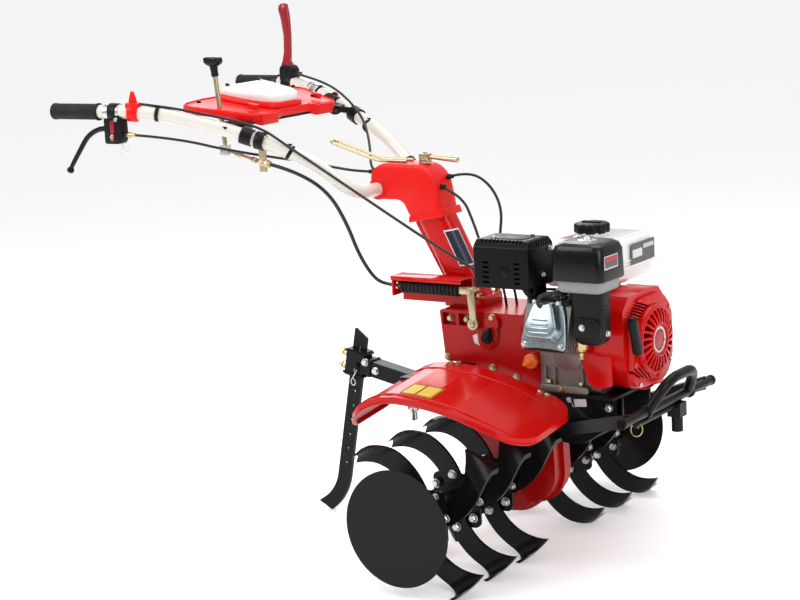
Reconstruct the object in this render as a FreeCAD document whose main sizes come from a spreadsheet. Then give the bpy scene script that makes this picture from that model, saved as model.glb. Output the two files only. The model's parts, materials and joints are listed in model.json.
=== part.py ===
import FreeCAD, Part
import math
import os

import Sketcher
from FreeCAD import Placement, Rotation, Vector

# Garden tiller, walk-behind, petrol engine, power-take-off rotor under the gearbox.
# Machine frame while modelling: +X forward, +Y to the operator's left, +Z up, origin on the tine axle in
# the middle of the machine. At the end every piece gets one Placement that sets the machine down as it
# parks, on its tines and its depth stake, with the origin on the floor under the middle of the machine.

DIMENSIONS = [
    # rotor
    ("tine_radius", 178, "axle to the tip circle of the tines"),
    ("tine_thick", 7, "thickness of a tine"),
    ("tine_root", 36, "axle to the inner end of a tine"),
    ("tine_reach", 57, "how far a tine's tip is bent sideways"),
    ("tine_bend", 34, "inside radius of that sideways bend"),
    ("sweep_forward", 105, "centre of a tine's curve, ahead of the axle"),
    ("sweep_drop", 60, "centre of a tine's curve, toward the tip"),
    ("sweep_radius", 126, "middle radius of a tine's curve"),
    ("tine_width", 44, "width of a tine"),
    ("plate_first", 108, "middle of the machine to the first tine plate"),
    ("plate_pitch", 128.5, "spacing of the tine plates"),
    ("plate_size", 112, "side of a square tine plate"),
    ("plate_thick", 6, "thickness of a tine plate"),
    ("plate_corner", 14, "corner radius of a tine plate"),
    ("rotor_tube", 23, "radius of a rotor tube"),
    ("disc_radius", 121, "radius of a guard disc"),
    ("disc_thick", 3, "thickness of a guard disc"),
    ("disc_span", 465, "middle of the machine to the outer face of a guard disc"),
    ("disc_flange", 34, "radius of the flange that a guard disc is bolted to"),
    ("axle_radius", 15, "radius of the tine axle in its bearings"),
    ("bearing_gap", 0.05, "running clearance round the axle"),
    ("rotor_gap", 6, "rotor tube to the drive case"),
    # drive case and gearbox
    ("case_half", 34, "half width of the lower drive case"),
    ("case_round", 80, "radius of the drive case round the axle"),
    ("case_wall", 9, "wall of the drive case"),
    ("case_boss", 38, "radius of the bearing boss"),
    ("case_boss_out", 8, "bearing boss beyond the case side"),
    ("case_nose_x", 50, "centre of the case's front bulge, ahead of the axle"),
    ("case_nose_z", 14, "centre of the case's front bulge, above the axle"),
    ("case_nose_r", 68, "radius of the case's front bulge"),
    ("case_rim", 8, "flange round the case, beyond its sides"),
    ("case_rim_thick", 12, "thickness of that flange"),
    ("gear_rear", -127, "rear face of the gearbox"),
    ("gear_step_x", -38, "where the gearbox steps down"),
    ("gear_step_z", 252, "underside of the rear of the gearbox"),
    ("gear_low", 200, "underside of the gearbox over the drive case"),
    ("gear_top", 365, "top of the gearbox"),
    ("gear_half", 78, "half width of the gearbox"),
    ("gear_rear_low", -116, "rear face of the gearbox at its underside"),
    ("gear_wall", 12, "wall of the gearbox"),
    ("gear_room_x", 8, "rear end of the gearbox's empty front room"),
    ("gear_round", 7, "edge radius of the gearbox"),
    ("bell_radius", 82, "radius of the bell between gearbox and engine"),
    ("bell_long", 46, "length of that bell"),
    ("pocket_deep", 14, "depth of the pockets in the gearbox side"),
    ("pocket_long", 34, "length of a pocket"),
    ("pocket_tall", 26, "height of a pocket"),
    ("pocket_wall", 7, "web between and round the pockets"),
    ("plug_radius", 14, "radius of the rear plug"),
    ("plug_long", 16, "length of the rear plug"),
    ("plug_z", 338, "height of the rear plug"),
    # engine
    ("engine_face", 121, "mounting face of the engine"),
    ("crank_z", 319, "height of the crankshaft"),
    ("base_z", 212, "underside of the engine's feet"),
    ("base_thick", 15, "thickness of the feet"),
    ("base_half", 95, "half width of the feet"),
    ("base_rear", 127, "rear end of the feet"),
    ("base_long", 106, "length of the feet"),
    ("crank_half", 80, "half width of the crankcase"),
    ("crank_top", 404, "top of the crankcase"),
    ("crank_slope", 44, "slope of the crankcase's shoulders"),
    ("crank_front", 262, "front face of the crankcase"),
    ("cylinder_tilt", 17, "rise of the cylinder above level, in degrees"),
    ("cylinder_x", 193, "cylinder axis along the machine"),
    ("barrel_start", 70, "crankshaft to the foot of the cylinder"),
    ("barrel_end", 182, "crankshaft to the valve cover's seat"),
    ("barrel_core", 78, "side of the cylinder's core"),
    ("fin_size", 104, "side of a cooling fin"),
    ("fin_thick", 4, "thickness of a cooling fin"),
    ("fin_pitch", 10, "spacing of the cooling fins"),
    ("cover_wide", 106, "width of the valve cover's flange"),
    ("cover_tall", 108, "height of the valve cover's flange"),
    ("cover_flange", 8, "thickness of the valve cover's flange"),
    ("cover_deep", 32, "depth of the valve cover"),
    ("cover_top", 46, "width of the valve cover at its top"),
    ("cover_low", 78, "width of the valve cover at its bottom"),
    ("muffler_x", 44, "rear end of the muffler"),
    ("muffler_long", 130, "length of the muffler"),
    ("muffler_y", -206, "outer side of the muffler"),
    ("muffler_wide", 104, "width of the muffler"),
    ("muffler_z", 446, "underside of the muffler"),
    ("muffler_tall", 98, "height of the muffler"),
    ("muffler_bevel", 14, "bevel along the muffler's top"),
    ("muffler_wall", 3, "thickness of the muffler's shell"),
    ("pipe_radius", 14, "radius of the exhaust pipe"),
    ("pipe_y", -126, "exhaust pipe across the machine"),
    ("cleaner_x", 223, "rear side of the air cleaner"),
    ("cleaner_long", 116, "length of the air cleaner"),
    ("cleaner_y", -206, "outer side of the air cleaner"),
    ("cleaner_wide", 106, "width of the air cleaner"),
    ("cleaner_z", 470, "lower edge of the air cleaner's cover"),
    ("cleaner_tall", 76, "height of the air cleaner's cover"),
    ("cleaner_bevel", 13, "bevel on the air cleaner's cover"),
    ("tray_tall", 26, "height of the air cleaner's tray"),
    ("tray_inset", 8, "air cleaner's tray inside its cover"),
    ("elbow_x", 254, "rear side of the intake elbow"),
    ("elbow_long", 68, "length of the intake elbow"),
    ("elbow_y", -178, "outer side of the intake elbow"),
    ("elbow_wide", 43, "width of the intake elbow"),
    ("elbow_z", 336, "lower end of the intake elbow"),
    ("carb_radius", 14, "radius of the float bowl"),
    ("carb_x", 262, "float bowl along the machine"),
    ("carb_low", 310, "underside of the float bowl"),
    ("tank_x", 118, "rear side of the fuel tank"),
    ("tank_long", 156, "length of the fuel tank"),
    ("tank_y", -62, "right side of the fuel tank"),
    ("tank_wide", 214, "width of the fuel tank"),
    ("tank_z", 424, "underside of the fuel tank"),
    ("tank_tall", 94, "height of the fuel tank"),
    ("tank_round", 20, "edge radius of the fuel tank"),
    ("tank_wall", 3, "wall of the fuel tank"),
    ("tank_rim", 5, "seam flange beyond the tank's sides"),
    ("rim_thick", 4, "thickness of the seam flange"),
    ("neck_radius", 31, "radius of the filler neck"),
    ("neck_tall", 12, "height of the filler neck"),
    ("neck_x", 196, "filler neck along the machine"),
    ("neck_y", 22, "filler neck across the machine"),
    ("cap_radius", 37, "radius of the fuel cap"),
    ("cap_tall", 21, "height of the fuel cap"),
    ("blower_radius", 106, "radius of the blower housing"),
    ("blower_front", 330, "front face of the blower housing"),
    ("blower_top", 420, "top of the blower housing"),
    ("blower_left", 70, "left side of the blower housing's upper part"),
    ("blower_wall", 4, "wall of the blower housing"),
    ("recoil_radius", 92, "radius of the starter cover at its foot"),
    ("recoil_wall", 5, "wall of the starter cover"),
    ("recoil_front", 352, "face of the starter cover"),
    ("recoil_face", 74, "radius of the starter cover's face"),
    ("ring_radius", 64, "radius of the slotted ring"),
    ("ring_out", 9, "slotted ring beyond the starter cover's face"),
    ("hub_radius", 36, "radius of the plain middle of the ring"),
    ("slot_deep", 7, "depth of the ring's slots"),
    ("pull_long", 86, "length of the starter handle"),
    ("pull_radius", 10, "radius of the starter handle"),
    ("pull_y", -98, "starter handle across the machine"),
    ("pull_z", 330, "middle of the starter handle"),
    ("pull_lean", 14, "lean of the starter handle, in degrees"),
    ("oil_cap_radius", 13, "radius of the oil filler cap"),
    ("oil_cap_z", 272, "height of the oil filler cap"),
    ("oil_cap_x", 104, "oil filler cap along the machine"),
    # frame under the engine, bumper
    ("deck_thick", 6, "plate under the engine's feet"),
    ("deck_half", 102, "half width of that plate"),
    ("deck_front", 300, "front edge of that plate"),
    ("side_half", 64, "half width over the frame's side plates"),
    ("side_thick", 6, "thickness of a side plate"),
    ("side_rear_z", 96, "underside of the side plates at the rear"),
    ("side_front_z", 158, "underside of the side plates at the front"),
    ("side_rear_x", 124, "rear edge of the side plates"),
    ("swing_gap", 8, "clearance of the frame round the tines' tip circle"),
    ("rod_radius", 10, "radius of the bumper's cross rod"),
    ("rod_x", 372, "cross rod ahead of the axle"),
    ("rod_z", 190, "height of the cross rod"),
    ("rod_half", 205, "half length of the cross rod"),
    ("arm_size", 28, "height of a bumper arm"),
    ("arm_thick", 12, "thickness of a bumper arm"),
    ("arm_half", 70, "half width over the bumper arms at the frame"),
    ("arm_spread", 178, "half width over the bumper arms at the rod"),
    ("arm_rear_x", 176, "rear end of a bumper arm"),
    ("arm_rear_z", 128, "height of a bumper arm's rear end"),
    ("hoop_radius", 11, "radius of the hoop's tube"),
    ("hoop_half", 92, "half width of the hoop at the rod"),
    ("hoop_top_half", 58, "half width of the hoop's top corners"),
    ("hoop_top_z", 252, "height of the hoop's top"),
    ("hoop_lean", 34, "hoop's top ahead of the rod"),
    ("socket_size", 30, "side of the front socket"),
    ("socket_tall", 30, "height of the front socket"),
    ("socket_y", 40, "front socket across the machine"),
    ("post_radius", 12, "radius of the post in the socket"),
    ("post_low", 118, "lower end of that post"),
    ("keeper_radius", 5.5, "radius of the long pin that holds the post"),
    ("keeper_reach", 147, "middle of the machine to the pin's right end"),
    # fenders
    ("fender_rear", -222, "rear edge of a fender"),
    ("fender_front", 222, "front edge of a fender"),
    ("fender_inner", 104, "middle of the machine to a fender's inner edge"),
    ("fender_outer", 326, "middle of the machine to a fender's outer edge"),
    ("fender_crown_x", -83, "highest place of a fender"),
    ("fender_crown_z", 261, "height of a fender there, at its inner edge"),
    ("fender_back_radius", 157, "radius of a fender behind its highest place"),
    ("fender_fore_radius", 560, "radius of a fender ahead of its highest place"),
    ("fender_straight_x", 120, "where a fender runs on straight to its front edge"),
    ("fender_front_z", 188, "height of a fender's front edge, at its inner edge"),
    ("fender_rear_z", 177, "height of a fender's rear edge, at its inner edge"),
    ("fender_wall", 2.5, "thickness of a fender"),
    ("fender_lip", 13, "depth of a fender's rolled edge"),
    ("fender_slope", 7, "fall of a fender to the outside, in degrees"),
    ("fender_corner", 62, "corner radius of a fender"),
    ("bracket_x", -79, "rear fender bracket along the machine"),
    ("bracket_out", 116, "middle of the machine to a bracket's outer end"),
    ("stay_x", 132, "front fender bracket along the machine"),
    ("stay_z", 197, "underside of the front fender bracket"),
    ("bracket_wide", 30, "width of a fender bracket"),
    ("bracket_thick", 8, "thickness of a fender bracket"),
    # drawbar and depth stake
    ("hitch_lean", 11.5, "fall of the drawbar to the front, in degrees"),
    ("hitch_x", -404, "stake axis behind the axle"),
    ("hitch_z", 208, "drawbar's height at the stake"),
    ("bar_size", 35, "side of the drawbar"),
    ("bar_long", 345, "length of the drawbar"),
    ("holder_tall", 62, "height of the stake holder"),
    ("holder_wall", 6, "wall of the stake holder"),
    ("stake_wide", 34, "width of the depth stake"),
    ("stake_thick", 9, "thickness of the depth stake"),
    ("stake_gap", 0.5, "clearance round the depth stake"),
    ("stake_above", 77, "depth stake above the drawbar's middle"),
    ("stake_below", 275, "straight part of the stake below the drawbar's middle"),
    ("stake_sweep", 132, "radius of the stake's curved foot, outer side"),
    ("stake_turn", 46, "turn of the stake's curved foot, in degrees"),
    ("stake_hole", 4.2, "radius of a hole in the stake"),
    ("stake_pitch", 35, "spacing of the stake's holes"),
    ("bolt_radius", 5, "radius of a bolt that holds the stake"),
    ("bolt_out", 20, "bolt beyond the stake holder"),
    # column and head
    ("column_lean_x", -88, "middle of the column at its foot"),
    ("column_long", 84, "length of the column's section along the machine"),
    ("column_half", 29, "half width of the column"),
    ("column_foot_tall", 22, "height of the column's foot"),
    ("column_foot_wide", 46, "half width of the column's foot"),
    ("head_rear", -322, "rear end of the head"),
    ("head_pivot_x", -300, "handlebar tube's axis in the head"),
    ("head_pivot_z", 612, "height of that axis"),
    ("head_top", 668, "top of the head"),
    ("head_half", 38, "half width of the head"),
    ("head_low_rear_x", -215, "rear corner of the head's lower end"),
    ("head_low_rear_z", 541, "height of that corner"),
    ("head_low_front_x", -138, "front corner of the head's lower end"),
    ("head_low_front_z", 558, "height of that corner"),
    ("head_round", 12, "edge radius of the head"),
    ("head_jaw", 8, "wall of the head round the handlebar tube"),
    ("tube_gap", 0.1, "running clearance round the handlebar tube"),
    ("clamp_x", -196, "clamp bolt along the machine"),
    ("hairpin_radius", 3.5, "radius of the hairpin rod on the head"),
    ("hairpin_half", 13, "half width of the hairpin rod"),
    ("hairpin_x", -236, "front ends of the hairpin rod"),
    ("hairpin_end", -440, "rear end of the hairpin rod"),
    ("hairpin_rise", 38, "rise of the hairpin rod"),
    # handlebar
    ("tube_radius", 15, "radius of the handlebar tube"),
    ("tube_corner", 128, "half width of the handlebar at its lower corners"),
    ("grip_half", 332, "half width of the handlebar at its ends"),
    ("grip_z", 806, "height of the grips"),
    ("grip_end", -957, "rear end of the grips"),
    ("grip_start", -828, "front end of the grips"),
    ("grip_radius", 18.5, "radius of a grip"),
    ("console_rear", -717, "rear edge of the console"),
    ("console_front", -531, "front edge of the console"),
    ("console_rear_half", 214, "half width of the console at its rear"),
    ("console_front_half", 160, "half width of the console at its front"),
    ("console_rear_z", 808, "height of the console at its rear"),
    ("console_front_z", 778, "height of the console at its front"),
    ("console_thick", 5, "thickness of the console"),
    ("console_lip", 15, "depth of the console's edge"),
    ("dome_rear_half", 98, "half width of the console's raised middle at its rear"),
    ("dome_front_half", 54, "half width of the console's raised middle at its front"),
    ("dome_tall", 34, "height of the console's raised middle"),
    ("dome_inset", 18, "raised middle inside the console's front and rear edges"),
    ("panel_thick", 3, "thickness of the white panel"),
    ("strap_thick", 5, "thickness of the strap that carries the console"),
    ("panel_inset", 17, "white panel inside the raised middle's edge"),
    ("slot_x", 90, "slot in the console, from its rear edge"),
    ("slot_y", 148, "slot in the console across the machine"),
    ("slot_long", 74, "length of a console slot"),
    ("slot_wide", 26, "width of a console slot"),
    ("strap_x", 142, "strap from the console's rear edge"),
    ("strap_wide", 28, "width of the strap"),
    ("strap_half", 236, "half length of the strap"),
    ("clamp_radius", 19, "radius of the clamps on the handlebar"),
    ("hanger_x", -490, "shift cable's bracket along the machine"),
    ("throttle_x", -749, "throttle control along the machine"),
    ("switch_x", -605, "kill switch along the machine"),
    ("switch_radius", 22, "radius of the kill switch"),
    ("lever_x", -628, "shift lever along the machine"),
    ("lever_y", -148, "shift lever across the machine"),
    ("lever_radius", 5, "radius of the shift lever's rod"),
    ("lever_top", 868, "top of the shift lever's rod"),
    ("lever_low", 716, "lower end of the shift lever"),
    ("knob_radius", 13, "radius of the shift knob"),
    ("knob_tall", 44, "height of the shift knob"),
    # shift linkage and cables
    ("bellows_rear", -226, "rear end of the bellows"),
    ("bellows_front", -71, "front end of the bellows"),
    ("bellows_y", -75, "bellows across the machine"),
    ("bellows_z", 409, "height of the bellows"),
    ("bellows_radius", 15, "radius of the bellows' folds"),
    ("arm_y", -93, "outer face of the shift arm"),
    ("arm_low", 341, "height of the shift arm's shaft"),
    ("cable_radius", 3, "radius of a control cable"),
    ("sleeve_radius", 4, "radius of the shift cable"),
]

CLEAR = 0.3  # gap between curved faces that only rest on each other
RIGHT, LEFT = -1, 1

doc = FreeCAD.newDocument("garden_tiller")
sheet = doc.addObject("Spreadsheet::Sheet", "dim")
for row, (alias, value, note) in enumerate(DIMENSIONS, start=1):
    sheet.set("A%d" % row, str(value))
    sheet.setAlias("A%d" % row, alias)
    sheet.set("B%d" % row, note)
doc.recompute()


def dim(alias):
    return float(sheet.get(alias))


# ---------------------------------------------------------------- small building helpers

TURN = {
    "X": Rotation(Vector(0, 1, 0), 90),
    "Y": Rotation(Vector(1, 0, 0), -90),
    "Z": Rotation(),
}


def place(piece, position, rotation=None):
    """Position by three expressions, with a fixed rotation if one is given."""
    if rotation is not None:
        piece.Placement = Placement(Vector(), rotation)
    for axis, expression in zip("xyz", position):
        piece.setExpression("Placement.Base." + axis, str(expression))
    return piece


def block(name, low, size):
    """Box from its low corner and its size along X, Y and Z."""
    piece = doc.addObject("Part::Box", name)
    for side, expression in zip(("Length", "Width", "Height"), size):
        piece.setExpression(side, str(expression))
    return place(piece, low)


def rod(name, axis, foot, radius, length):
    """Round bar from its foot along one axis."""
    piece = doc.addObject("Part::Cylinder", name)
    piece.setExpression("Radius", str(radius))
    piece.setExpression("Height", str(length))
    return place(piece, foot, TURN[axis])


def origin_plane(body, role):
    return [feature for feature in body.Origin.OriginFeatures if feature.Role == role][0]


def outline(body, plane, corners):
    """Closed sketch on an origin plane of the body. Two expressions hold each corner."""
    sketch = body.newObject("Sketcher::SketchObject", body.Name + "_outline")
    sketch.AttachmentSupport = [(origin_plane(body, plane), "")]
    sketch.MapMode = "FlatFace"
    count = len(corners)
    start = [Vector(math.cos(2 * math.pi * i / count),
                    math.sin(2 * math.pi * i / count)) for i in range(count)]
    for i in range(count):
        sketch.addGeometry(Part.LineSegment(start[i] * 100, start[(i + 1) % count] * 100), False)
    for i in range(count):
        sketch.addConstraint(Sketcher.Constraint("Coincident", i, 2, (i + 1) % count, 1))
    for i, corner in enumerate(corners):
        for kind, expression in zip(("DistanceX", "DistanceY"), corner):
            index = sketch.addConstraint(Sketcher.Constraint(kind, -1, 1, i, 1, 1.0))
            sketch.setExpression("Constraints[%d]" % index, str(expression))
    return sketch


def slab(name, plane, corners, thick, middle=("0", "0", "0"), rounding=None, bevel=None, along=None):
    """Body padded to both sides of an outline. Rounded or bevelled along one direction, or all round."""
    body = doc.addObject("PartDesign::Body", name)
    sketch = outline(body, plane, corners)
    pad = body.newObject("PartDesign::Pad", name + "_pad")
    pad.Profile = sketch
    pad.Midplane = True
    pad.setExpression("Length", str(thick))
    place(body, middle)
    size = rounding or bevel
    if size:
        doc.recompute()
        kind = "Fillet" if rounding else "Chamfer"
        edge = body.newObject("PartDesign::" + kind, name + "_" + kind.lower())
        edge.Base = (pad, edges_along(pad.Shape, along))
        edge.setExpression("Radius" if rounding else "Size", str(size))
    return body


def edges_along(shape, direction):
    """Names of the straight edges along a direction, or of all edges."""
    names = []
    for number, edge in enumerate(shape.Edges, start=1):
        run = edge.Vertexes[-1].Point - edge.Vertexes[0].Point
        if direction is None or run.normalize().cross(direction).Length < 0.01:
            names.append("Edge%d" % number)
    return names


def join(name, pieces):
    fused = doc.addObject("Part::MultiFuse", name)
    fused.Shapes = pieces
    fused.Refine = True
    return fused


def cut(name, base, tool):
    piece = doc.addObject("Part::Cut", name)
    piece.Base = base
    piece.Tool = tool
    return piece


def overlap(name, pieces):
    piece = doc.addObject("Part::MultiCommon", name)
    piece.Shapes = pieces
    return piece


def pair(name, pieces):
    """Like pieces of one sub-part that don't touch."""
    group = doc.addObject("Part::Compound", name)
    group.Links = pieces
    return group


def shaped(name, shape):
    """Piece that Part's own functions make."""
    piece = doc.addObject("Part::Feature", name)
    piece.Shape = shape
    return piece


def bend_radii(route, share=0.45):
    """Radius of each bend of a route: a share of the shorter run beside it over the half turn's tangent."""
    radii = []
    for before, here, after in zip(route, route[1:], route[2:]):
        turn = (here - before).getAngle(after - here)
        shorter = min((here - before).Length, (after - here).Length)
        radii.append(share * shorter / math.tan(turn / 2))
    return radii


def path(route):
    """Wire of straight runs joined by tangent arcs."""
    edges = []
    start = route[0]
    for (before, here, after), radius in zip(zip(route, route[1:], route[2:]), bend_radii(route)):
        along_in = (here - before).normalize()
        along_out = (after - here).normalize()
        turn = along_in.getAngle(along_out)
        tangent = radius * math.tan(turn / 2)
        first = here - along_in * tangent
        last = here + along_out * tangent
        inward = (along_out - along_in).normalize()
        middle = here + inward * (radius / math.cos(turn / 2) - radius)
        edges.append(Part.LineSegment(start, first).toShape())
        edges.append(Part.Arc(first, middle, last).toShape())
        start = last
    edges.append(Part.LineSegment(start, route[-1]).toShape())
    return Part.Wire(edges)


def tube(route, radius):
    """Round solid along a route."""
    spine = path(route)
    ring = Part.Wire([Part.Circle(route[0], route[1] - route[0], radius).toShape()])
    return spine.makePipeShell([ring], True, False)


nodes = {}


def node(label, piece, moves_with):
    """Named sub-part of the machine, which moves with one body."""
    group = doc.addObject("Part::Compound", label)
    group.Label = label
    group.Links = [piece]
    nodes[label] = (group, moves_with)
    return group


# ---------------------------------------------------------------- rotor

def tine_profile(name, side):
    """Blank of a tine that hangs down: a plate bent sideways at its lower end."""
    out = "%d * " % side
    corners = [
        (out + "0", "-dim.tine_root"),
        (out + "0", "-dim.tine_radius"),
        (out + "dim.tine_reach", "-dim.tine_radius"),
        (out + "dim.tine_reach", "-dim.tine_radius + dim.tine_thick"),
        (out + "dim.tine_thick", "-dim.tine_radius + dim.tine_thick"),
        (out + "dim.tine_thick", "-dim.tine_root"),
    ]
    body = doc.addObject("PartDesign::Body", name)
    sketch = outline(body, "YZ_Plane", corners)
    pad = body.newObject("PartDesign::Pad", name + "_pad")
    pad.Profile = sketch
    pad.Midplane = True
    pad.setExpression("Length", "2 * dim.tine_radius")
    doc.recompute()
    bends = {"outer": (0.0, -dim("tine_radius")),
             "inner": (dim("tine_thick"), dim("tine_thick") - dim("tine_radius"))}
    base = pad
    for kind, (y, z) in bends.items():
        fillet = body.newObject("PartDesign::Fillet", name + "_" + kind)
        found = [
            "Edge%d" % number
            for number, edge in enumerate(base.Shape.Edges, start=1)
            if all(abs(v.Y - side * y) < 0.01 and abs(v.Z - z) < 0.01 for v in edge.Vertexes)
        ]
        fillet.Base = (base, found)
        grown = "dim.tine_bend + dim.tine_thick" if kind == "outer" else "dim.tine_bend"
        fillet.setExpression("Radius", grown)
        doc.recompute()
        base = fillet
    return body


def tine(name, side):
    """One tine, hanging down, bent to the given side and swept back to its tip."""
    sweep = ("dim.sweep_forward", "-dim.tine_radius", "-dim.sweep_drop")
    outer = rod(name + "_outer_edge", "Y", sweep, "dim.sweep_radius + dim.tine_width / 2",
                "2 * dim.tine_radius")
    inner = rod(name + "_inner_edge", "Y", sweep, "dim.sweep_radius - dim.tine_width / 2",
                "2 * dim.tine_radius")
    tip = rod(name + "_tip_circle", "Y", ("0", "-dim.tine_radius", "0"), "dim.tine_radius",
              "2 * dim.tine_radius")
    band = cut(name + "_band", outer, inner)
    return overlap(name, [tine_profile(name + "_blank", side), band, tip])


def tip_angle(blade):
    """Direction of the blade's farthest point from the axle, from straight down, in degrees."""
    far = max((Vector(v.X, 0, v.Z) for v in blade.Shape.Vertexes), key=lambda p: p.Length)
    return math.degrees(math.atan2(far.x, -far.z))


def plate_places():
    return [dim("plate_first") + number * dim("plate_pitch") for number in range(3)]


def tines(side, blades, phase):
    """All tines of one side: four on each plate, bent in turn outward and inward."""
    copies = []
    half = dim("plate_thick") / 2
    for plate in plate_places():
        for quarter in range(4):
            bend = 1 if quarter % 2 == 0 else -1
            blade = blades[side * bend].Shape.copy()
            turn = Rotation(Vector(0, 1, 0), phase + 90 * quarter)
            blade.Placement = Placement(Vector(0, side * (plate + bend * half), 0), turn)
            copies.append(blade)
    return Part.makeCompound(copies)


def rotor_side(side):
    """Tube of one side with its three square tine plates and the flange for its guard disc."""
    name = "Rotor_%s" % ("left" if side == LEFT else "right")
    start = "dim.case_half + dim.case_boss_out + dim.rotor_gap"
    end = "dim.disc_span - dim.disc_thick"
    foot = start if side == LEFT else "-(%s)" % end
    pieces = [rod(name + "_tube", "Y", ("0", foot, "0"), "dim.rotor_tube", "%s - (%s)" % (end, start))]
    pieces.append(rod(
        name + "_flange", "Y",
        ("0", "%d * (%s) - (%d) * 4" % (side, end, side) if side == LEFT else "-(%s)" % end, "0"),
        "dim.disc_flange", "4",
    ))
    for number in range(3):
        half = "dim.plate_size / 2"
        corners = [("-" + half, "-" + half), (half, "-" + half), (half, half), ("-" + half, half)]
        middle = ("0", "%d * (dim.plate_first + %d * dim.plate_pitch)" % (side, number), "0")
        plate = slab(name + "_plate_%d" % number, "XZ_Plane", corners, "dim.plate_thick", middle,
                     rounding="dim.plate_corner", along=Vector(0, 1, 0))
        pieces.append(plate)
    return join(name, pieces)


def disc(side):
    name = "Disc_%s" % ("left" if side == LEFT else "right")
    foot = "dim.disc_span - dim.disc_thick" if side == LEFT else "-dim.disc_span"
    return rod(name, "Y", ("0", foot, "0"), "dim.disc_radius", "dim.disc_thick")


def build_rotor():
    reach = "dim.case_half + dim.case_boss_out + dim.rotor_gap"
    axle = rod("Axle", "Y", ("0", "-(%s)" % reach, "0"), "dim.axle_radius", "2 * (%s)" % reach)
    node("tine_axle", axle, "rotor")
    blades = {side: tine("Tine_left" if side == LEFT else "Tine_right", side) for side in (RIGHT, LEFT)}
    node("rotor_tubes", pair("Rotor_tubes", [rotor_side(side) for side in (RIGHT, LEFT)]), "rotor")
    node("guard_discs", pair("Guard_discs", [disc(side) for side in (RIGHT, LEFT)]), "rotor")
    return blades


# ---------------------------------------------------------------- drive case and gearbox

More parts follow.
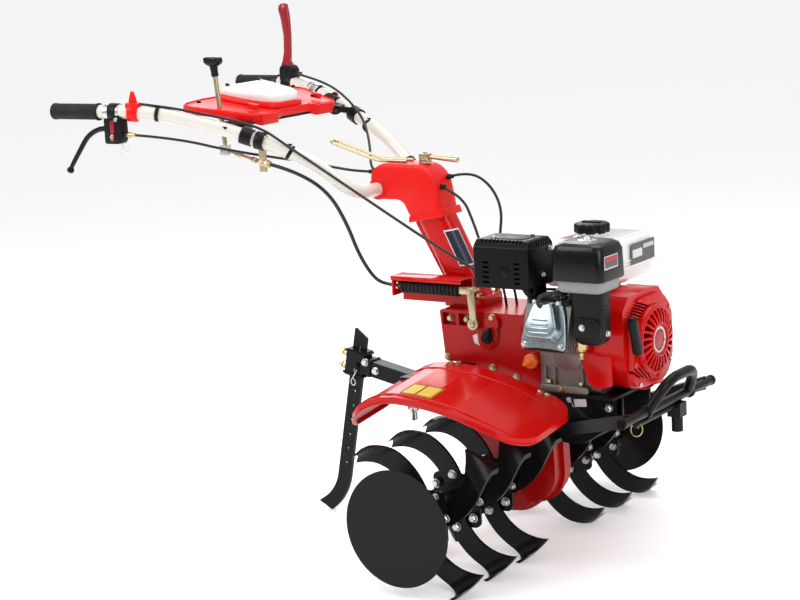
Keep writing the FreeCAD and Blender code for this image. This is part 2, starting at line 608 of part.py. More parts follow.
def build_gearbox():
    round_part = rod("Case_round", "Y", ("0", "-dim.case_half", "0"), "dim.case_round", "2 * dim.case_half")
    nose = rod("Case_nose", "Y", ("dim.case_nose_x", "-dim.case_half", "dim.case_nose_z"),
               "dim.case_nose_r",
               "2 * dim.case_half")
    corners = [
        ("-dim.case_round", "0"),
        ("0", "-dim.case_round"),
        ("dim.case_nose_x", "dim.case_nose_z - dim.case_nose_r"),
        ("dim.case_nose_x + dim.case_nose_r", "dim.case_nose_z"),
        ("dim.case_nose_x + dim.case_nose_r - 6", "dim.gear_low"),
        ("-dim.case_round", "dim.gear_low"),
    ]
    web = slab("Case_web", "XZ_Plane", corners, "2 * dim.case_half")
    rim_corners = [
        ("-dim.case_round - dim.case_rim", "0"),
        ("0", "-dim.case_round - dim.case_rim"),
        ("dim.case_nose_x + dim.case_rim / 2", "dim.case_nose_z - dim.case_nose_r - dim.case_rim"),
        ("dim.case_nose_x + dim.case_nose_r + dim.case_rim", "dim.case_nose_z"),
        ("dim.case_nose_x + dim.case_nose_r + dim.case_rim - 6", "dim.gear_low"),
        ("-dim.case_round - dim.case_rim", "dim.gear_low"),
    ]
    rim_web = slab("Case_rim_web", "XZ_Plane", rim_corners, "dim.case_rim_thick")
    rim_round = rod("Case_rim_round", "Y", ("0", "-dim.case_rim_thick / 2", "0"),
                    "dim.case_round + dim.case_rim", "dim.case_rim_thick")
    rim_nose = rod("Case_rim_nose", "Y", ("dim.case_nose_x", "-dim.case_rim_thick / 2", "dim.case_nose_z"),
                   "dim.case_nose_r + dim.case_rim", "dim.case_rim_thick")
    boss = rod("Case_boss", "Y", ("0", "-(dim.case_half + dim.case_boss_out)", "0"), "dim.case_boss",
               "2 * (dim.case_half + dim.case_boss_out)")
    bore = rod("Case_bore", "Y", ("0", "-100", "0"), "dim.axle_radius + dim.bearing_gap", "200")
    solid = join("Case_solid", [round_part, nose, web, rim_web, rim_round, rim_nose, boss])
    half = "(dim.case_half - dim.case_wall)"
    low_room = rod("Case_low_room", "Y", ("dim.case_nose_x", "-" + half, "dim.case_nose_z"),
                   "dim.case_nose_r - dim.case_wall", "2 * " + half)
    high_room = block("Case_high_room", ("dim.case_nose_x - 30", "-" + half, "dim.case_nose_z"),
                      ("dim.case_nose_r + 14", "2 * " + half,
                       "dim.gear_low - dim.case_nose_z - dim.case_wall"))
    bearing = rod("Case_bearing", "Y", ("0", "-100", "0"), "dim.case_boss", "200")
    room = cut("Case_room", join("Case_rooms", [low_room, high_room]), bearing)
    node("final_drive_case", cut("Final_drive", solid, join("Case_hollow", [bore, room])), "chassis")

    corners = [
        ("dim.gear_rear", "dim.gear_top"),
        ("dim.engine_face - dim.bell_long", "dim.gear_top"),
        ("dim.engine_face", "dim.crank_z + 10"),
        ("dim.engine_face", "dim.gear_low"),
        ("dim.gear_step_x", "dim.gear_low"),
        ("dim.gear_step_x", "dim.gear_step_z"),
        ("dim.gear_rear_low", "dim.gear_step_z"),
    ]
    case = slab("Gear_case", "XZ_Plane", corners, "2 * dim.gear_half", rounding="dim.gear_round",
                along=Vector(0, 1, 0))
    bell = rod("Gear_bell", "X", ("dim.engine_face - dim.bell_long", "0", "dim.crank_z"), "dim.bell_radius",
               "dim.bell_long")
    boss = rod("Gear_boss", "Y", ("8", "-dim.gear_half - 10", "344"), "17", "dim.gear_half")
    solid = join("Gear_solid", [case, bell, boss])
    pockets = []
    for number in range(2):
        for side, word in ((RIGHT, "right"), (LEFT, "left")):
            low = "-dim.gear_half" if side == RIGHT else "dim.gear_half - dim.pocket_deep"
            start = "dim.gear_rear + dim.pocket_wall + %d * (dim.pocket_long + dim.pocket_wall)" % number
            pockets.append(block(
                "Pocket_%s_%d" % (word, number),
                (start, low, "dim.gear_top - dim.pocket_wall - dim.pocket_tall"),
                ("dim.pocket_long", "dim.pocket_deep", "dim.pocket_tall"),
            ))
    pockets.append(block("Gear_room", ("dim.gear_room_x", "-dim.gear_half + dim.gear_wall",
                                       "dim.gear_low + dim.gear_wall"),
                         ("dim.engine_face - dim.gear_wall - dim.gear_room_x",
                          "2 * (dim.gear_half - dim.gear_wall)",
                          "dim.crank_z - dim.gear_low - 2 * dim.gear_wall")))
    hollow = cut("Gear_hollow", solid, join("Pockets", pockets))
    node("gearbox_housing", hollow, "chassis")

    plug = rod("Plug_blank", "X", ("dim.gear_rear - dim.plug_long", "-dim.gear_half / 3", "dim.plug_z"),
               "dim.plug_radius", "2 * dim.plug_long")
    node("detent_plug", cut("Rear_plug", plug, case), "chassis")
    stem = rod("Selector_stem", "Y", ("-4", "-dim.gear_half - 22", "312"), "6", "22")
    knob = doc.addObject("Part::Sphere", "Selector_knob")
    knob.Radius = 11
    place(knob, ("-4", "-dim.gear_half - 24", "312"))
    node("selector_knob", join("Selector", [stem, knob]), "chassis")

    cap = rod("Oil_cap_disc", "Y", ("dim.oil_cap_x", "-dim.gear_half - 12", "dim.oil_cap_z"),
              "dim.oil_cap_radius",
              "12")
    grip = block("Oil_cap_grip", ("dim.oil_cap_x - 12", "-dim.gear_half - 23", "dim.oil_cap_z - 3"),
                 ("24", "12", "6"))
    node("oil_filler_cap", join("Oil_cap", [cap, grip]), "chassis")


# ---------------------------------------------------------------- engine

def build_crankcase():
    corners = [
        ("-dim.crank_half", "dim.base_z"),
        ("dim.crank_half", "dim.base_z"),
        ("dim.crank_half", "dim.crank_top - dim.crank_slope"),
        ("dim.crank_half - dim.crank_slope", "dim.crank_top"),
        ("-dim.crank_half + dim.crank_slope", "dim.crank_top"),
        ("-dim.crank_half", "dim.crank_top - dim.crank_slope"),
    ]
    case = slab("Crank_case", "YZ_Plane", corners, "dim.crank_front - dim.engine_face",
                ("(dim.crank_front + dim.engine_face) / 2", "0", "0"), rounding="8", along=Vector(1, 0, 0))
    feet = block("Crank_feet", ("dim.base_rear", "-dim.base_half", "dim.base_z"),
                 ("dim.base_long", "2 * dim.base_half", "dim.base_thick"))
    seat = block("Tank_seat", ("dim.tank_x + 30", "-dim.crank_half + dim.crank_slope", "dim.crank_top - 1"),
                 ("dim.crank_front - dim.tank_x - 40", "2 * (dim.crank_half - dim.crank_slope)",
                  "dim.tank_z - dim.crank_top + 1"))
    node("crankcase", join("Crankcase", [case, feet, seat]), "chassis")


def tilt_on_crank(piece):
    """Turn a piece whose +Z leaves the crankshaft so that it points to the right and up."""
    piece.Placement = Placement(Vector(), Rotation(Vector(1, 0, 0), 90 - dim("cylinder_tilt")))
    piece.setExpression("Placement.Base.x", "dim.cylinder_x")
    piece.setExpression("Placement.Base.z", "dim.crank_z")
    piece.setExpression("Placement.Rotation.Angle", "90 - dim.cylinder_tilt")
    return piece


def build_cylinder():
    core = block("Barrel_core", ("-dim.barrel_core / 2", "-dim.barrel_core / 2", "dim.barrel_start"),
                 ("dim.barrel_core", "dim.barrel_core", "dim.barrel_end - dim.barrel_start"))
    pieces = [core]
    count = int((dim("barrel_end") - dim("barrel_start") - 24) // dim("fin_pitch"))
    for number in range(count):
        pieces.append(block(
            "Fin_%d" % number,
            ("-dim.fin_size / 2", "-dim.fin_size / 2",
             "dim.barrel_end - dim.fin_thick - %d * dim.fin_pitch" % number),
            ("dim.fin_size", "dim.fin_size", "dim.fin_thick"),
        ))
    barrel = tilt_on_crank(join("Barrel", pieces))
    room = slab("Barrel_room", "YZ_Plane", [
        ("-dim.crank_half", "dim.base_z"),
        ("dim.crank_half", "dim.base_z"),
        ("dim.crank_half", "dim.crank_top"),
        ("-dim.crank_half + dim.crank_slope", "dim.crank_top"),
        ("-dim.crank_half", "dim.crank_top - dim.crank_slope"),
    ], "dim.crank_front - dim.engine_face", ("(dim.crank_front + dim.engine_face) / 2", "0", "0"))
    node("cylinder", cut("Cylinder", barrel, room), "chassis")

    flange_corners = [
        ("-dim.cover_wide / 2", "-dim.cover_tall / 2"),
        ("dim.cover_wide / 2", "-dim.cover_tall / 2"),
        ("dim.cover_wide / 2 - 10", "dim.cover_tall / 2"),
        ("-dim.cover_wide / 2 + 10", "dim.cover_tall / 2"),
    ]
    flange = slab("Cover_flange", "XY_Plane", flange_corners, "dim.cover_flange",
                  ("0", "0", "dim.barrel_end + dim.cover_flange / 2"), rounding="12", along=Vector(0, 0, 1))
    cap_corners = [
        ("-dim.cover_low / 2", "-dim.cover_tall / 2 + 12"),
        ("dim.cover_low / 2", "-dim.cover_tall / 2 + 12"),
        ("dim.cover_top / 2", "dim.cover_tall / 2 - 6"),
        ("-dim.cover_top / 2", "dim.cover_tall / 2 - 6"),
    ]
    cap = slab("Cover_cap", "XY_Plane", cap_corners, "dim.cover_deep",
               ("0", "0", "dim.barrel_end + dim.cover_flange + dim.cover_deep / 2"), rounding="9")
    node("valve_cover", tilt_on_crank(join("Cover", [flange, cap])), "chassis")


def build_muffler():
    corners = [
        ("dim.muffler_y", "dim.muffler_z"),
        ("dim.muffler_y + dim.muffler_wide", "dim.muffler_z"),
        ("dim.muffler_y + dim.muffler_wide", "dim.muffler_z + dim.muffler_tall - dim.muffler_bevel"),
        ("dim.muffler_y + dim.muffler_wide - dim.muffler_bevel", "dim.muffler_z + dim.muffler_tall"),
        ("dim.muffler_y + dim.muffler_bevel", "dim.muffler_z + dim.muffler_tall"),
        ("dim.muffler_y", "dim.muffler_z + dim.muffler_tall - dim.muffler_bevel"),
    ]
    middle = ("dim.muffler_x + dim.muffler_long / 2", "0", "0")
    shell = slab("Muffler_shell", "YZ_Plane", corners, "dim.muffler_long", middle, rounding="5")
    inside = block("Muffler_inside",
                   ("dim.muffler_x + dim.muffler_wall", "dim.muffler_y + dim.muffler_wall",
                    "dim.muffler_z + dim.muffler_wall"),
                   ("dim.muffler_long - 2 * dim.muffler_wall", "dim.muffler_wide - 2 * dim.muffler_wall",
                    "dim.muffler_tall - dim.muffler_bevel - 2 * dim.muffler_wall"))
    blank = rod("Pipe_blank", "Z", ("dim.muffler_x + dim.muffler_long - 22", "dim.pipe_y",
                                    "dim.crank_top - 10"),
                "dim.pipe_radius", "dim.muffler_z - dim.crank_top + 11")
    fins = tilt_on_crank(pair("Fin_room",
            [block("Fin_box", ("-dim.fin_size / 2", "-dim.fin_size / 2", "dim.barrel_start"),
                               ("dim.fin_size", "dim.fin_size", "dim.barrel_end - dim.barrel_start"))]))
    pipe = cut("Muffler_pipe", blank, fins)
    node("muffler", join("Muffler", [cut("Muffler_hollow", shell, inside), pipe]), "chassis")


def build_intake():
    x_end = "dim.cleaner_x + dim.cleaner_long"
    corners = [
        ("dim.cleaner_x", "dim.cleaner_z"),
        (x_end, "dim.cleaner_z"),
        (x_end, "dim.cleaner_z + dim.cleaner_tall - dim.cleaner_bevel"),
        (x_end + " - dim.cleaner_bevel", "dim.cleaner_z + dim.cleaner_tall"),
        ("dim.cleaner_x", "dim.cleaner_z + dim.cleaner_tall"),
    ]
    cover = slab("Cleaner_cover", "XZ_Plane", corners, "dim.cleaner_wide",
                 ("0", "dim.cleaner_y + dim.cleaner_wide / 2", "0"), rounding="7")
    node("air_cleaner", cover, "chassis")
    tray = block("Cleaner_tray",
                 ("dim.cleaner_x + dim.tray_inset", "dim.cleaner_y + dim.tray_inset",
                  "dim.cleaner_z - dim.tray_tall"),
                 ("dim.cleaner_long - 2 * dim.tray_inset", "dim.cleaner_wide - 2 * dim.tray_inset",
                  "dim.tray_tall"))
    low, tall = "dim.elbow_z", "dim.cleaner_z - dim.tray_tall - dim.elbow_z"
    elbow = slab("Elbow", "XY_Plane", [
        ("dim.elbow_x", "dim.elbow_y"),
        ("dim.elbow_x + dim.elbow_long", "dim.elbow_y"),
        ("dim.elbow_x + dim.elbow_long", "dim.elbow_y + dim.elbow_wide"),
        ("dim.elbow_x", "dim.elbow_y + dim.elbow_wide"),
    ], tall, ("0", "0", "%s + (%s) / 2" % (low, tall)), rounding="6", along=Vector(0, 0, 1))
    node("intake_elbow", join("Intake", [elbow, tray]), "chassis")
    carb_y = "dim.elbow_y + dim.elbow_wide"
    flank = "dim.cylinder_x + dim.fin_size / 2"
    body = block("Carb_body", (flank, carb_y, "dim.elbow_z"),
                 ("dim.elbow_x + dim.elbow_long - (%s)" % flank, "2 * dim.carb_radius - 2", "46"))
    bowl = rod("Carb_bowl", "Z", ("dim.carb_x", carb_y + " + dim.carb_radius", "dim.carb_low"),
               "dim.carb_radius",
               "dim.elbow_z - dim.carb_low")
    drain = rod("Carb_drain", "Z", ("dim.carb_x", carb_y + " + dim.carb_radius", "dim.carb_low - 7"), "6",
                "8")
    node("carburettor", join("Carburettor", [body, bowl, drain]), "chassis")


def build_tank():
    def shell(name, inset):
        corners = [
            ("dim.tank_x + %s" % inset, "dim.tank_y + %s" % inset),
            ("dim.tank_x + dim.tank_long - %s" % inset, "dim.tank_y + %s" % inset),
            ("dim.tank_x + dim.tank_long - %s" % inset, "dim.tank_y + dim.tank_wide - %s" % inset),
            ("dim.tank_x + %s" % inset, "dim.tank_y + dim.tank_wide - %s" % inset),
        ]
        return slab(name, "XY_Plane", corners, "dim.tank_tall - 2 * %s" % inset,
                    ("0", "0", "dim.tank_z + dim.tank_tall / 2"), rounding="dim.tank_round - %s" % inset)

    outer = shell("Tank_outer", "0")
    inner = shell("Tank_inner", "dim.tank_wall")
    rim = block("Tank_rim", ("dim.tank_x - dim.tank_rim", "dim.tank_y - dim.tank_rim",
                             "dim.tank_z + dim.tank_tall * 0.36"),
                ("dim.tank_long + 2 * dim.tank_rim", "dim.tank_wide + 2 * dim.tank_rim", "dim.rim_thick"))
    neck = rod("Tank_neck", "Z", ("dim.neck_x", "dim.neck_y", "dim.tank_z + dim.tank_tall - dim.tank_wall"),
               "dim.neck_radius", "dim.neck_tall + dim.tank_wall")
    tank = join("Tank", [cut("Tank_hollow", join("Tank_solid", [outer, rim]), inner), neck])
    node("fuel_tank", tank, "chassis")
    top = "dim.tank_z + dim.tank_tall + dim.neck_tall"
    node("fuel_cap", rod("Fuel_cap", "Z", ("dim.neck_x", "dim.neck_y", top), "dim.cap_radius",
                         "dim.cap_tall"),
         "chassis")


def build_blower():
    drum = rod("Blower_drum", "X", ("dim.crank_front", "0", "dim.crank_z"), "dim.blower_radius",
               "dim.blower_front - dim.crank_front")
    corners = [
        ("-dim.blower_radius", "dim.crank_z"),
        ("dim.blower_left", "dim.crank_z"),
        ("dim.blower_left", "dim.blower_top - 18"),
        ("dim.blower_left - 18", "dim.blower_top"),
        ("-dim.blower_radius + 26", "dim.blower_top"),
        ("-dim.blower_radius", "dim.blower_top - 26"),
    ]
    top = slab("Blower_top", "YZ_Plane", corners, "dim.blower_front - dim.crank_front",
               ("(dim.blower_front + dim.crank_front) / 2", "0", "0"))
    room = rod("Blower_room", "X", ("dim.crank_front", "0", "dim.crank_z"),
               "dim.blower_radius - dim.blower_wall",
               "dim.blower_front - dim.crank_front - dim.blower_wall")
    mouth = rod("Blower_mouth", "X", ("dim.crank_front", "0", "dim.crank_z"), "dim.recoil_face", "100")
    hollow = cut("Blower", join("Blower_solid", [drum, top]), join("Blower_space", [room, mouth]))
    node("blower_housing", hollow, "chassis")

    foot = doc.addObject("Part::Cone", "Recoil_foot")
    foot.setExpression("Radius1", "dim.recoil_radius")
    foot.setExpression("Radius2", "dim.recoil_face")
    foot.setExpression("Height", "dim.recoil_front - dim.blower_front")
    place(foot, ("dim.blower_front", "0", "dim.crank_z"), TURN["X"])
    ring = rod("Recoil_ring", "X", ("dim.blower_front", "0", "dim.crank_z"), "dim.ring_radius",
               "dim.recoil_front - dim.blower_front + dim.ring_out")
    face = "dim.recoil_front + dim.ring_out"
    groove = cut("Recoil_groove",
                 rod("Groove_outer", "X", (face + " - dim.slot_deep", "0", "dim.crank_z"),
                     "dim.ring_radius - 5", "50"),
                 rod("Groove_inner", "X", (face + " - dim.slot_deep", "0", "dim.crank_z"),
                     "dim.hub_radius", "50"))
    room = rod("Recoil_room", "X", ("dim.blower_front - 1", "0", "dim.crank_z"),
               "dim.recoil_face - dim.recoil_wall",
               "dim.recoil_front - dim.blower_front - dim.recoil_wall + 1")
    solid = join("Recoil_solid", [foot, ring])
    node("recoil_starter", cut("Recoil", solid, join("Recoil_spaces", [groove, room])), "chassis")

    pull = rod("Pull", "Z", ("0", "0", "-dim.pull_long / 2"), "dim.pull_radius", "dim.pull_long")
    ends = [doc.addObject("Part::Sphere", "Pull_end_%d" % i) for i in range(2)]
    for end, z in zip(ends, ("-dim.pull_long / 2", "dim.pull_long / 2")):
        end.setExpression("Radius", "dim.pull_radius")
        place(end, ("0", "0", z))
    cord = rod("Pull_boss", "X", ("-12 - dim.pull_radius / 2", "0", "0"), "5", "12")
    handle = join("Starter_pull", [pull, cord] + ends)
    handle.Placement = Placement(Vector(), Rotation(Vector(1, 0, 0), dim("pull_lean")))
    place(handle, ("dim.blower_front + 12 + dim.pull_radius / 2", "dim.pull_y", "dim.pull_z"))
    node("starter_handle", handle, "chassis")


# ---------------------------------------------------------------- engine frame, bumper

def build_frame():
    deck = block("Deck", ("dim.engine_face", "-dim.deck_half", "dim.base_z - dim.deck_thick"),
                 ("dim.deck_front - dim.engine_face", "2 * dim.deck_half", "dim.deck_thick"))
    pieces = [deck]
    for side, word in ((RIGHT, "right"), (LEFT, "left")):
        corners = [
            ("dim.side_rear_x", "dim.base_z - dim.deck_thick"),
            ("dim.side_rear_x", "dim.side_rear_z"),
            ("dim.side_rear_x + 80", "dim.side_rear_z"),
            ("dim.deck_front", "dim.side_front_z"),
            ("dim.deck_front", "dim.base_z - dim.deck_thick"),
        ]
        middle = ("0", "%d * (dim.side_half - dim.side_thick / 2)" % side, "0")
        pieces.append(slab("Side_" + word, "XZ_Plane", corners, "dim.side_thick", middle))
    tie = block("Frame_tie", ("dim.side_rear_x + 40", "-dim.side_half", "dim.side_rear_z"),
                ("40", "2 * dim.side_half", "dim.side_thick"))
    swing = rod("Frame_relief", "Y", ("0", "-dim.deck_half", "0"), "dim.tine_radius + dim.swing_gap",
                "2 * dim.deck_half")
    node("engine_frame", cut("Engine_frame", join("Frame", pieces + [tie]), swing), "chassis")


def build_bumper():
    cross = rod("Cross_rod", "Y", ("dim.rod_x", "-dim.rod_half", "dim.rod_z"), "dim.rod_radius",
                "2 * dim.rod_half")
    route = [
        Vector(dim("rod_x"), -dim("hoop_half"), dim("rod_z")),
        Vector(dim("rod_x") + dim("hoop_lean"), -dim("hoop_top_half"), dim("hoop_top_z")),
        Vector(dim("rod_x") + dim("hoop_lean"), dim("hoop_top_half"), dim("hoop_top_z")),
        Vector(dim("rod_x"), dim("hoop_half"), dim("rod_z")),
    ]
    hoop = shaped("Hoop", tube(route, dim("hoop_radius")))
    arms = []
    for side, word in ((RIGHT, "right"), (LEFT, "left")):
        inner = Vector(dim("arm_rear_x"), side * dim("arm_half"), dim("arm_rear_z"))
        outer = Vector(dim("rod_x"), side * dim("arm_spread"), dim("rod_z"))
        arms.append(shaped("Arm_" + word, flat_bar(inner, outer, dim("arm_thick"), dim("arm_size"))))
    node("front_bumper", join("Bumper", [cross, hoop] + arms), "chassis")

    socket = block("Socket", ("dim.rod_x - dim.socket_size / 2", "dim.socket_y - dim.socket_size / 2",
                              "dim.rod_z - dim.rod_radius - dim.socket_tall"),
                   ("dim.socket_size", "dim.socket_size", "dim.socket_tall"))
    post = rod("Post", "Z", ("dim.rod_x", "dim.socket_y", "dim.post_low"), "dim.post_radius",
               "dim.rod_z - dim.rod_radius - dim.post_low - 8")
    keeper = rod("Keeper_pin", "Y",
                 ("dim.rod_x", "-dim.keeper_reach", "dim.rod_z - dim.rod_radius - dim.keeper_radius - 1"),
                 "dim.keeper_radius", "dim.keeper_reach + dim.socket_y")
    node("front_socket", join("Front_socket", [socket, post, keeper]), "chassis")


def flat_bar(start, end, thick, tall):
    """Upright bar between two points."""
    along = end - start
    flat = Vector(along.x, along.y, 0).normalize()
    side = Vector(-flat.y, flat.x, 0) * (thick / 2)
    up = Vector(0, 0, tall / 2)
    ring = [start - side - up, start + side - up, start + side + up, start - side + up]
    return Part.Face(Part.makePolygon(ring + ring[:1])).extrude(along)


# ---------------------------------------------------------------- fenders

def fender_line(drop):
    """Side view of a fender's sheet from the rear edge to the front edge, some way below its top face."""
    points = [("dim.fender_rear", "dim.fender_rear_z - %s" % drop)]
    reach = dim("fender_crown_x") - dim("fender_rear")
    for share in (0.85, 0.68, 0.48, 0.24, 0):
        points.append(fender_place("dim.fender_crown_x - %.4f" % (share * reach), "dim.fender_back_radius", drop))
    reach = dim("fender_straight_x") - dim("fender_crown_x")
    for share in (0.33, 0.67, 1):
        points.append(fender_place("dim.fender_crown_x + %.4f" % (share * reach), "dim.fender_fore_radius", drop))
    points.append(("dim.fender_front", "dim.fender_front_z - %s" % drop))
    return points


def fender_place(x, radius, drop):
    """Point of an arc that is level at the fender's highest place."""
    fall = "%s - sqrt(%s ^ 2 - (%s - dim.fender_crown_x) ^ 2)" % (radius, radius, x)
    return x, "dim.fender_crown_z - (%s) - %s" % (fall, drop)


def fender(side):
    """Pressed sheet with a rolled edge, and the room that it fills with its edge."""
    word = "left" if side == LEFT else "right"

    def skin(name, drop, deep):
        top = fender_line(drop)
        low = [(x, "%s - %s" % (z, deep)) for x, z in reversed(top)]
        corners = top + low
        return slab(name + "_" + word, "XZ_Plane", corners, "700")

    def plan(name, inset):
        corners = [
            ("dim.fender_rear + %s" % inset, "%d * (dim.fender_inner + %s)" % (side, inset)),
            ("dim.fender_front - %s" % inset, "%d * (dim.fender_inner + %s)" % (side, inset)),
            ("dim.fender_front - %s" % inset, "%d * (dim.fender_outer - %s)" % (side, inset)),
            ("dim.fender_rear + %s" % inset, "%d * (dim.fender_outer - %s)" % (side, inset)),
        ]
        return slab(name + "_" + word, "XY_Plane", corners, "1200",
                    rounding="dim.fender_corner - %s" % inset,
                    along=Vector(0, 0, 1))

    outer = overlap("Fender_outer_" + word,
                    [skin("Skin_outer", "0", "dim.fender_lip"), plan("Plan_outer", "0")])
    inner = overlap("Fender_inner_" + word, [
        skin("Skin_inner", "dim.fender_wall", "(dim.fender_lip + 20)"),
        plan("Plan_inner", "dim.fender_wall")])
    shell = cut("Fender_shell_" + word, outer, inner)
    shell.Placement = fender_slope(side)
    room = pair("Fender_room_" + word, [outer])
    room.Placement = fender_slope(side)
    return shell, room


def fender_slope(side):
    """Turn about the fender's inner edge, so that the sheet falls to the outside."""
    hinge = Vector(0, side * dim("fender_inner"), dim("fender_rear_z"))
    return Placement(Vector(), Rotation(Vector(1, 0, 0), -side * dim("fender_slope")), hinge)


def build_fenders():
    brackets = []
    for side, word in ((RIGHT, "right"), (LEFT, "left")):
        shell, room = fender(side)
        node("fender_" + word, shell, "chassis")
        inner = "dim.gear_half / 2" if side == LEFT else "-dim.bracket_out"
        rear = block("Bracket_rear_" + word,
                     ("dim.bracket_x", inner, "dim.gear_step_z - dim.bracket_thick"),
                     ("dim.bracket_wide", "dim.bracket_out - dim.gear_half / 2", "dim.bracket_thick"))
        inner = "dim.side_half" if side == LEFT else "-dim.bracket_out"
        front = block("Bracket_front_" + word, ("dim.stay_x", inner, "dim.stay_z"),
                      ("dim.bracket_wide", "dim.bracket_out - dim.side_half", "dim.bracket_thick"))
        brackets += [cut("Bracket_%s_%s" % (end, word), piece, room) for end,
                     piece in (("a", rear), ("b", front))]
    node("fender_brackets", pair("Fender_brackets", brackets), "chassis")


# ---------------------------------------------------------------- drawbar and stake

def hitch_placement():
    """Frame of the drawbar: its +X runs forward and down along the bar, its origin is on the stake."""
    return Placement(Vector(dim("hitch_x"), 0, dim("hitch_z")),
                     Rotation(Vector(0, 1, 0), dim("hitch_lean")))


def build_hitch():
    start = "dim.stake_wide / 2 + dim.stake_gap + dim.holder_wall"
    bar = block("Draw_bar", (start, "-dim.bar_size / 2", "-dim.bar_size / 2"),
                ("dim.bar_long - (%s)" % start, "dim.bar_size", "dim.bar_size"))
    bar.Placement = hitch_placement().multiply(Placement(Vector(dim("stake_wide") / 2 + dim("stake_gap")
                                                                 + dim("holder_wall"), -dim("bar_size") / 2,
                                                                 -dim("bar_size") / 2), Rotation()))
    for axis in "xyz":
        bar.setExpression("Placement.Base." + axis, None)
    node("hitch_bar", cut("Hitch_bar", bar, doc.getObject("Case_solid")), "chassis")

    half_x = "dim.stake_wide / 2 + dim.stake_gap"
    half_y = "dim.stake_thick / 2 + dim.stake_gap"
    outer = block("Holder_outer", ("-(%s) - dim.holder_wall" % half_x, "-dim.bar_size / 2",
                                   "-dim.holder_tall / 2"),
                  ("2 * (%s) + 2 * dim.holder_wall" % half_x, "dim.bar_size", "dim.holder_tall"))
    slot = block("Holder_slot", ("-(%s)" % half_x, "-(%s)" % half_y, "-100"),
                 ("2 * (%s)" % half_x, "2 * (%s)" % half_y, "200"))
    holder = cut("Holder", outer, slot)
    holder.Placement = hitch_placement()
    node("stake_holder", holder, "chassis")

    bolts = []
    for number, height in enumerate(("-dim.holder_tall / 4", "dim.holder_tall / 4")):
        foot = "-(%s) - dim.holder_wall - dim.bolt_out" % half_x
        shank = rod("Stake_bolt_%d" % number, "X", (foot, "0", height), "dim.bolt_radius",
                    "dim.bolt_out + dim.holder_wall")
        head = rod("Stake_bolt_head_%d" % number, "X", (foot + " - 6", "0", height),
                   "2 * dim.bolt_radius", "7")
        bolts.append(cut("Stake_bolt_end_%d" % number, join("Bolt_%d" % number, [shank, head]),
                         block("Bolt_room_%d" % number,
                               ("-(%s) - dim.holder_wall" % half_x, "-100", "-100"),
                               ("200", "200", "200"))))
    bolts = pair("Stake_bolts", bolts)
    bolts.Placement = hitch_placement()
    node("stake_bolts", bolts, "chassis")

    node("depth_stake", shaped("Stake", stake_shape()), "stake")


def stake_shape():
    """Flat bar with a row of holes and a foot that curves to the rear, as an upright sheet cut."""
    half = dim("stake_wide") / 2
    low = -dim("stake_below")
    outer = dim("stake_sweep")
    inner = outer - dim("stake_wide")
    centre = Vector(half - outer, 0, low)
    turn = math.radians(dim("stake_turn"))

    def on_arc(radius, angle):
        return centre + Vector(radius * math.cos(angle), 0, -radius * math.sin(angle))

    top = dim("stake_above")
    tip = on_arc(inner, turn) + Vector(-math.sin(turn), 0, -math.cos(turn)) * dim("stake_wide") * 0.55
    edges = [
        Part.LineSegment(Vector(-half, 0, top), Vector(half, 0, top - half)).toShape(),
        Part.LineSegment(Vector(half, 0, top - half), on_arc(outer, 0)).toShape(),
        Part.Arc(on_arc(outer, 0), on_arc(outer, turn / 2), on_arc(outer, turn)).toShape(),
        Part.LineSegment(on_arc(outer, turn), tip).toShape(),
        Part.LineSegment(tip, on_arc(inner, turn)).toShape(),
        Part.Arc(on_arc(inner, turn), on_arc(inner, turn / 2), on_arc(inner, 0)).toShape(),
        Part.LineSegment(on_arc(inner, 0), Vector(-half, 0, top)).toShape(),
    ]
    thick = dim("stake_thick")
    plate = Part.Face(Part.Wire(edges)).extrude(Vector(0, thick, 0))
    plate.translate(Vector(0, -thick / 2, 0))
    pitch = dim("stake_pitch")
    highest = int((top - 2 * half) // pitch)
    lowest = -int((dim("stake_below") - half) // pitch)
    for number in range(lowest, highest + 1):
        hole = Part.makeCylinder(dim("stake_hole"), thick * 2, Vector(0, -thick, number * pitch),
                                 Vector(0, 1, 0))
        plate = plate.cut(hole)
    plate.Placement = hitch_placement()
    return plate


# ---------------------------------------------------------------- column and head

def build_column():
    half = "dim.column_long / 2"
    foot_top = "dim.gear_top + dim.column_foot_tall"
    corners = [
        ("dim.column_lean_x - %s" % half, foot_top),
        ("dim.column_lean_x + %s" % half, foot_top),
        ("dim.head_low_front_x - 5", "dim.head_low_front_z"),
        ("dim.head_low_rear_x + 5", "dim.head_low_rear_z"),
    ]
    pillar = slab("Pillar", "XZ_Plane", corners, "2 * dim.column_half")
    head_room = slab("Head_room", "XZ_Plane", [
        ("dim.head_low_rear_x - 40", "dim.head_low_rear_z - (dim.head_low_front_z - dim.head_low_rear_z)"
         " / (dim.head_low_front_x - dim.head_low_rear_x) * 40"),
        ("dim.head_low_front_x + 40", "dim.head_low_front_z + (dim.head_low_front_z - dim.head_low_rear_z)"
         " / (dim.head_low_front_x - dim.head_low_rear_x) * 40"),
        ("dim.head_low_front_x + 40", "dim.head_top"),
        ("dim.head_low_rear_x - 40", "dim.head_top"),
    ], "400")
    foot = block("Column_foot", ("dim.column_lean_x - %s - 6" % half, "-dim.column_foot_wide",
                                 "dim.gear_top"),
                 ("dim.column_long + 12", "2 * dim.column_foot_wide", "dim.column_foot_tall"))
    rib = slab("Column_rib", "XZ_Plane", [
        ("dim.column_lean_x - %s - 6" % half, foot_top),
        ("dim.column_lean_x", foot_top),
        ("dim.head_low_rear_x + 20", "dim.head_low_rear_z + 10"),
        ("dim.head_low_rear_x - 9", "dim.head_low_rear_z - 4"),
    ], "24")
    node("column", cut("Column", join("Column_solid", [pillar, foot, rib]), head_room), "chassis")


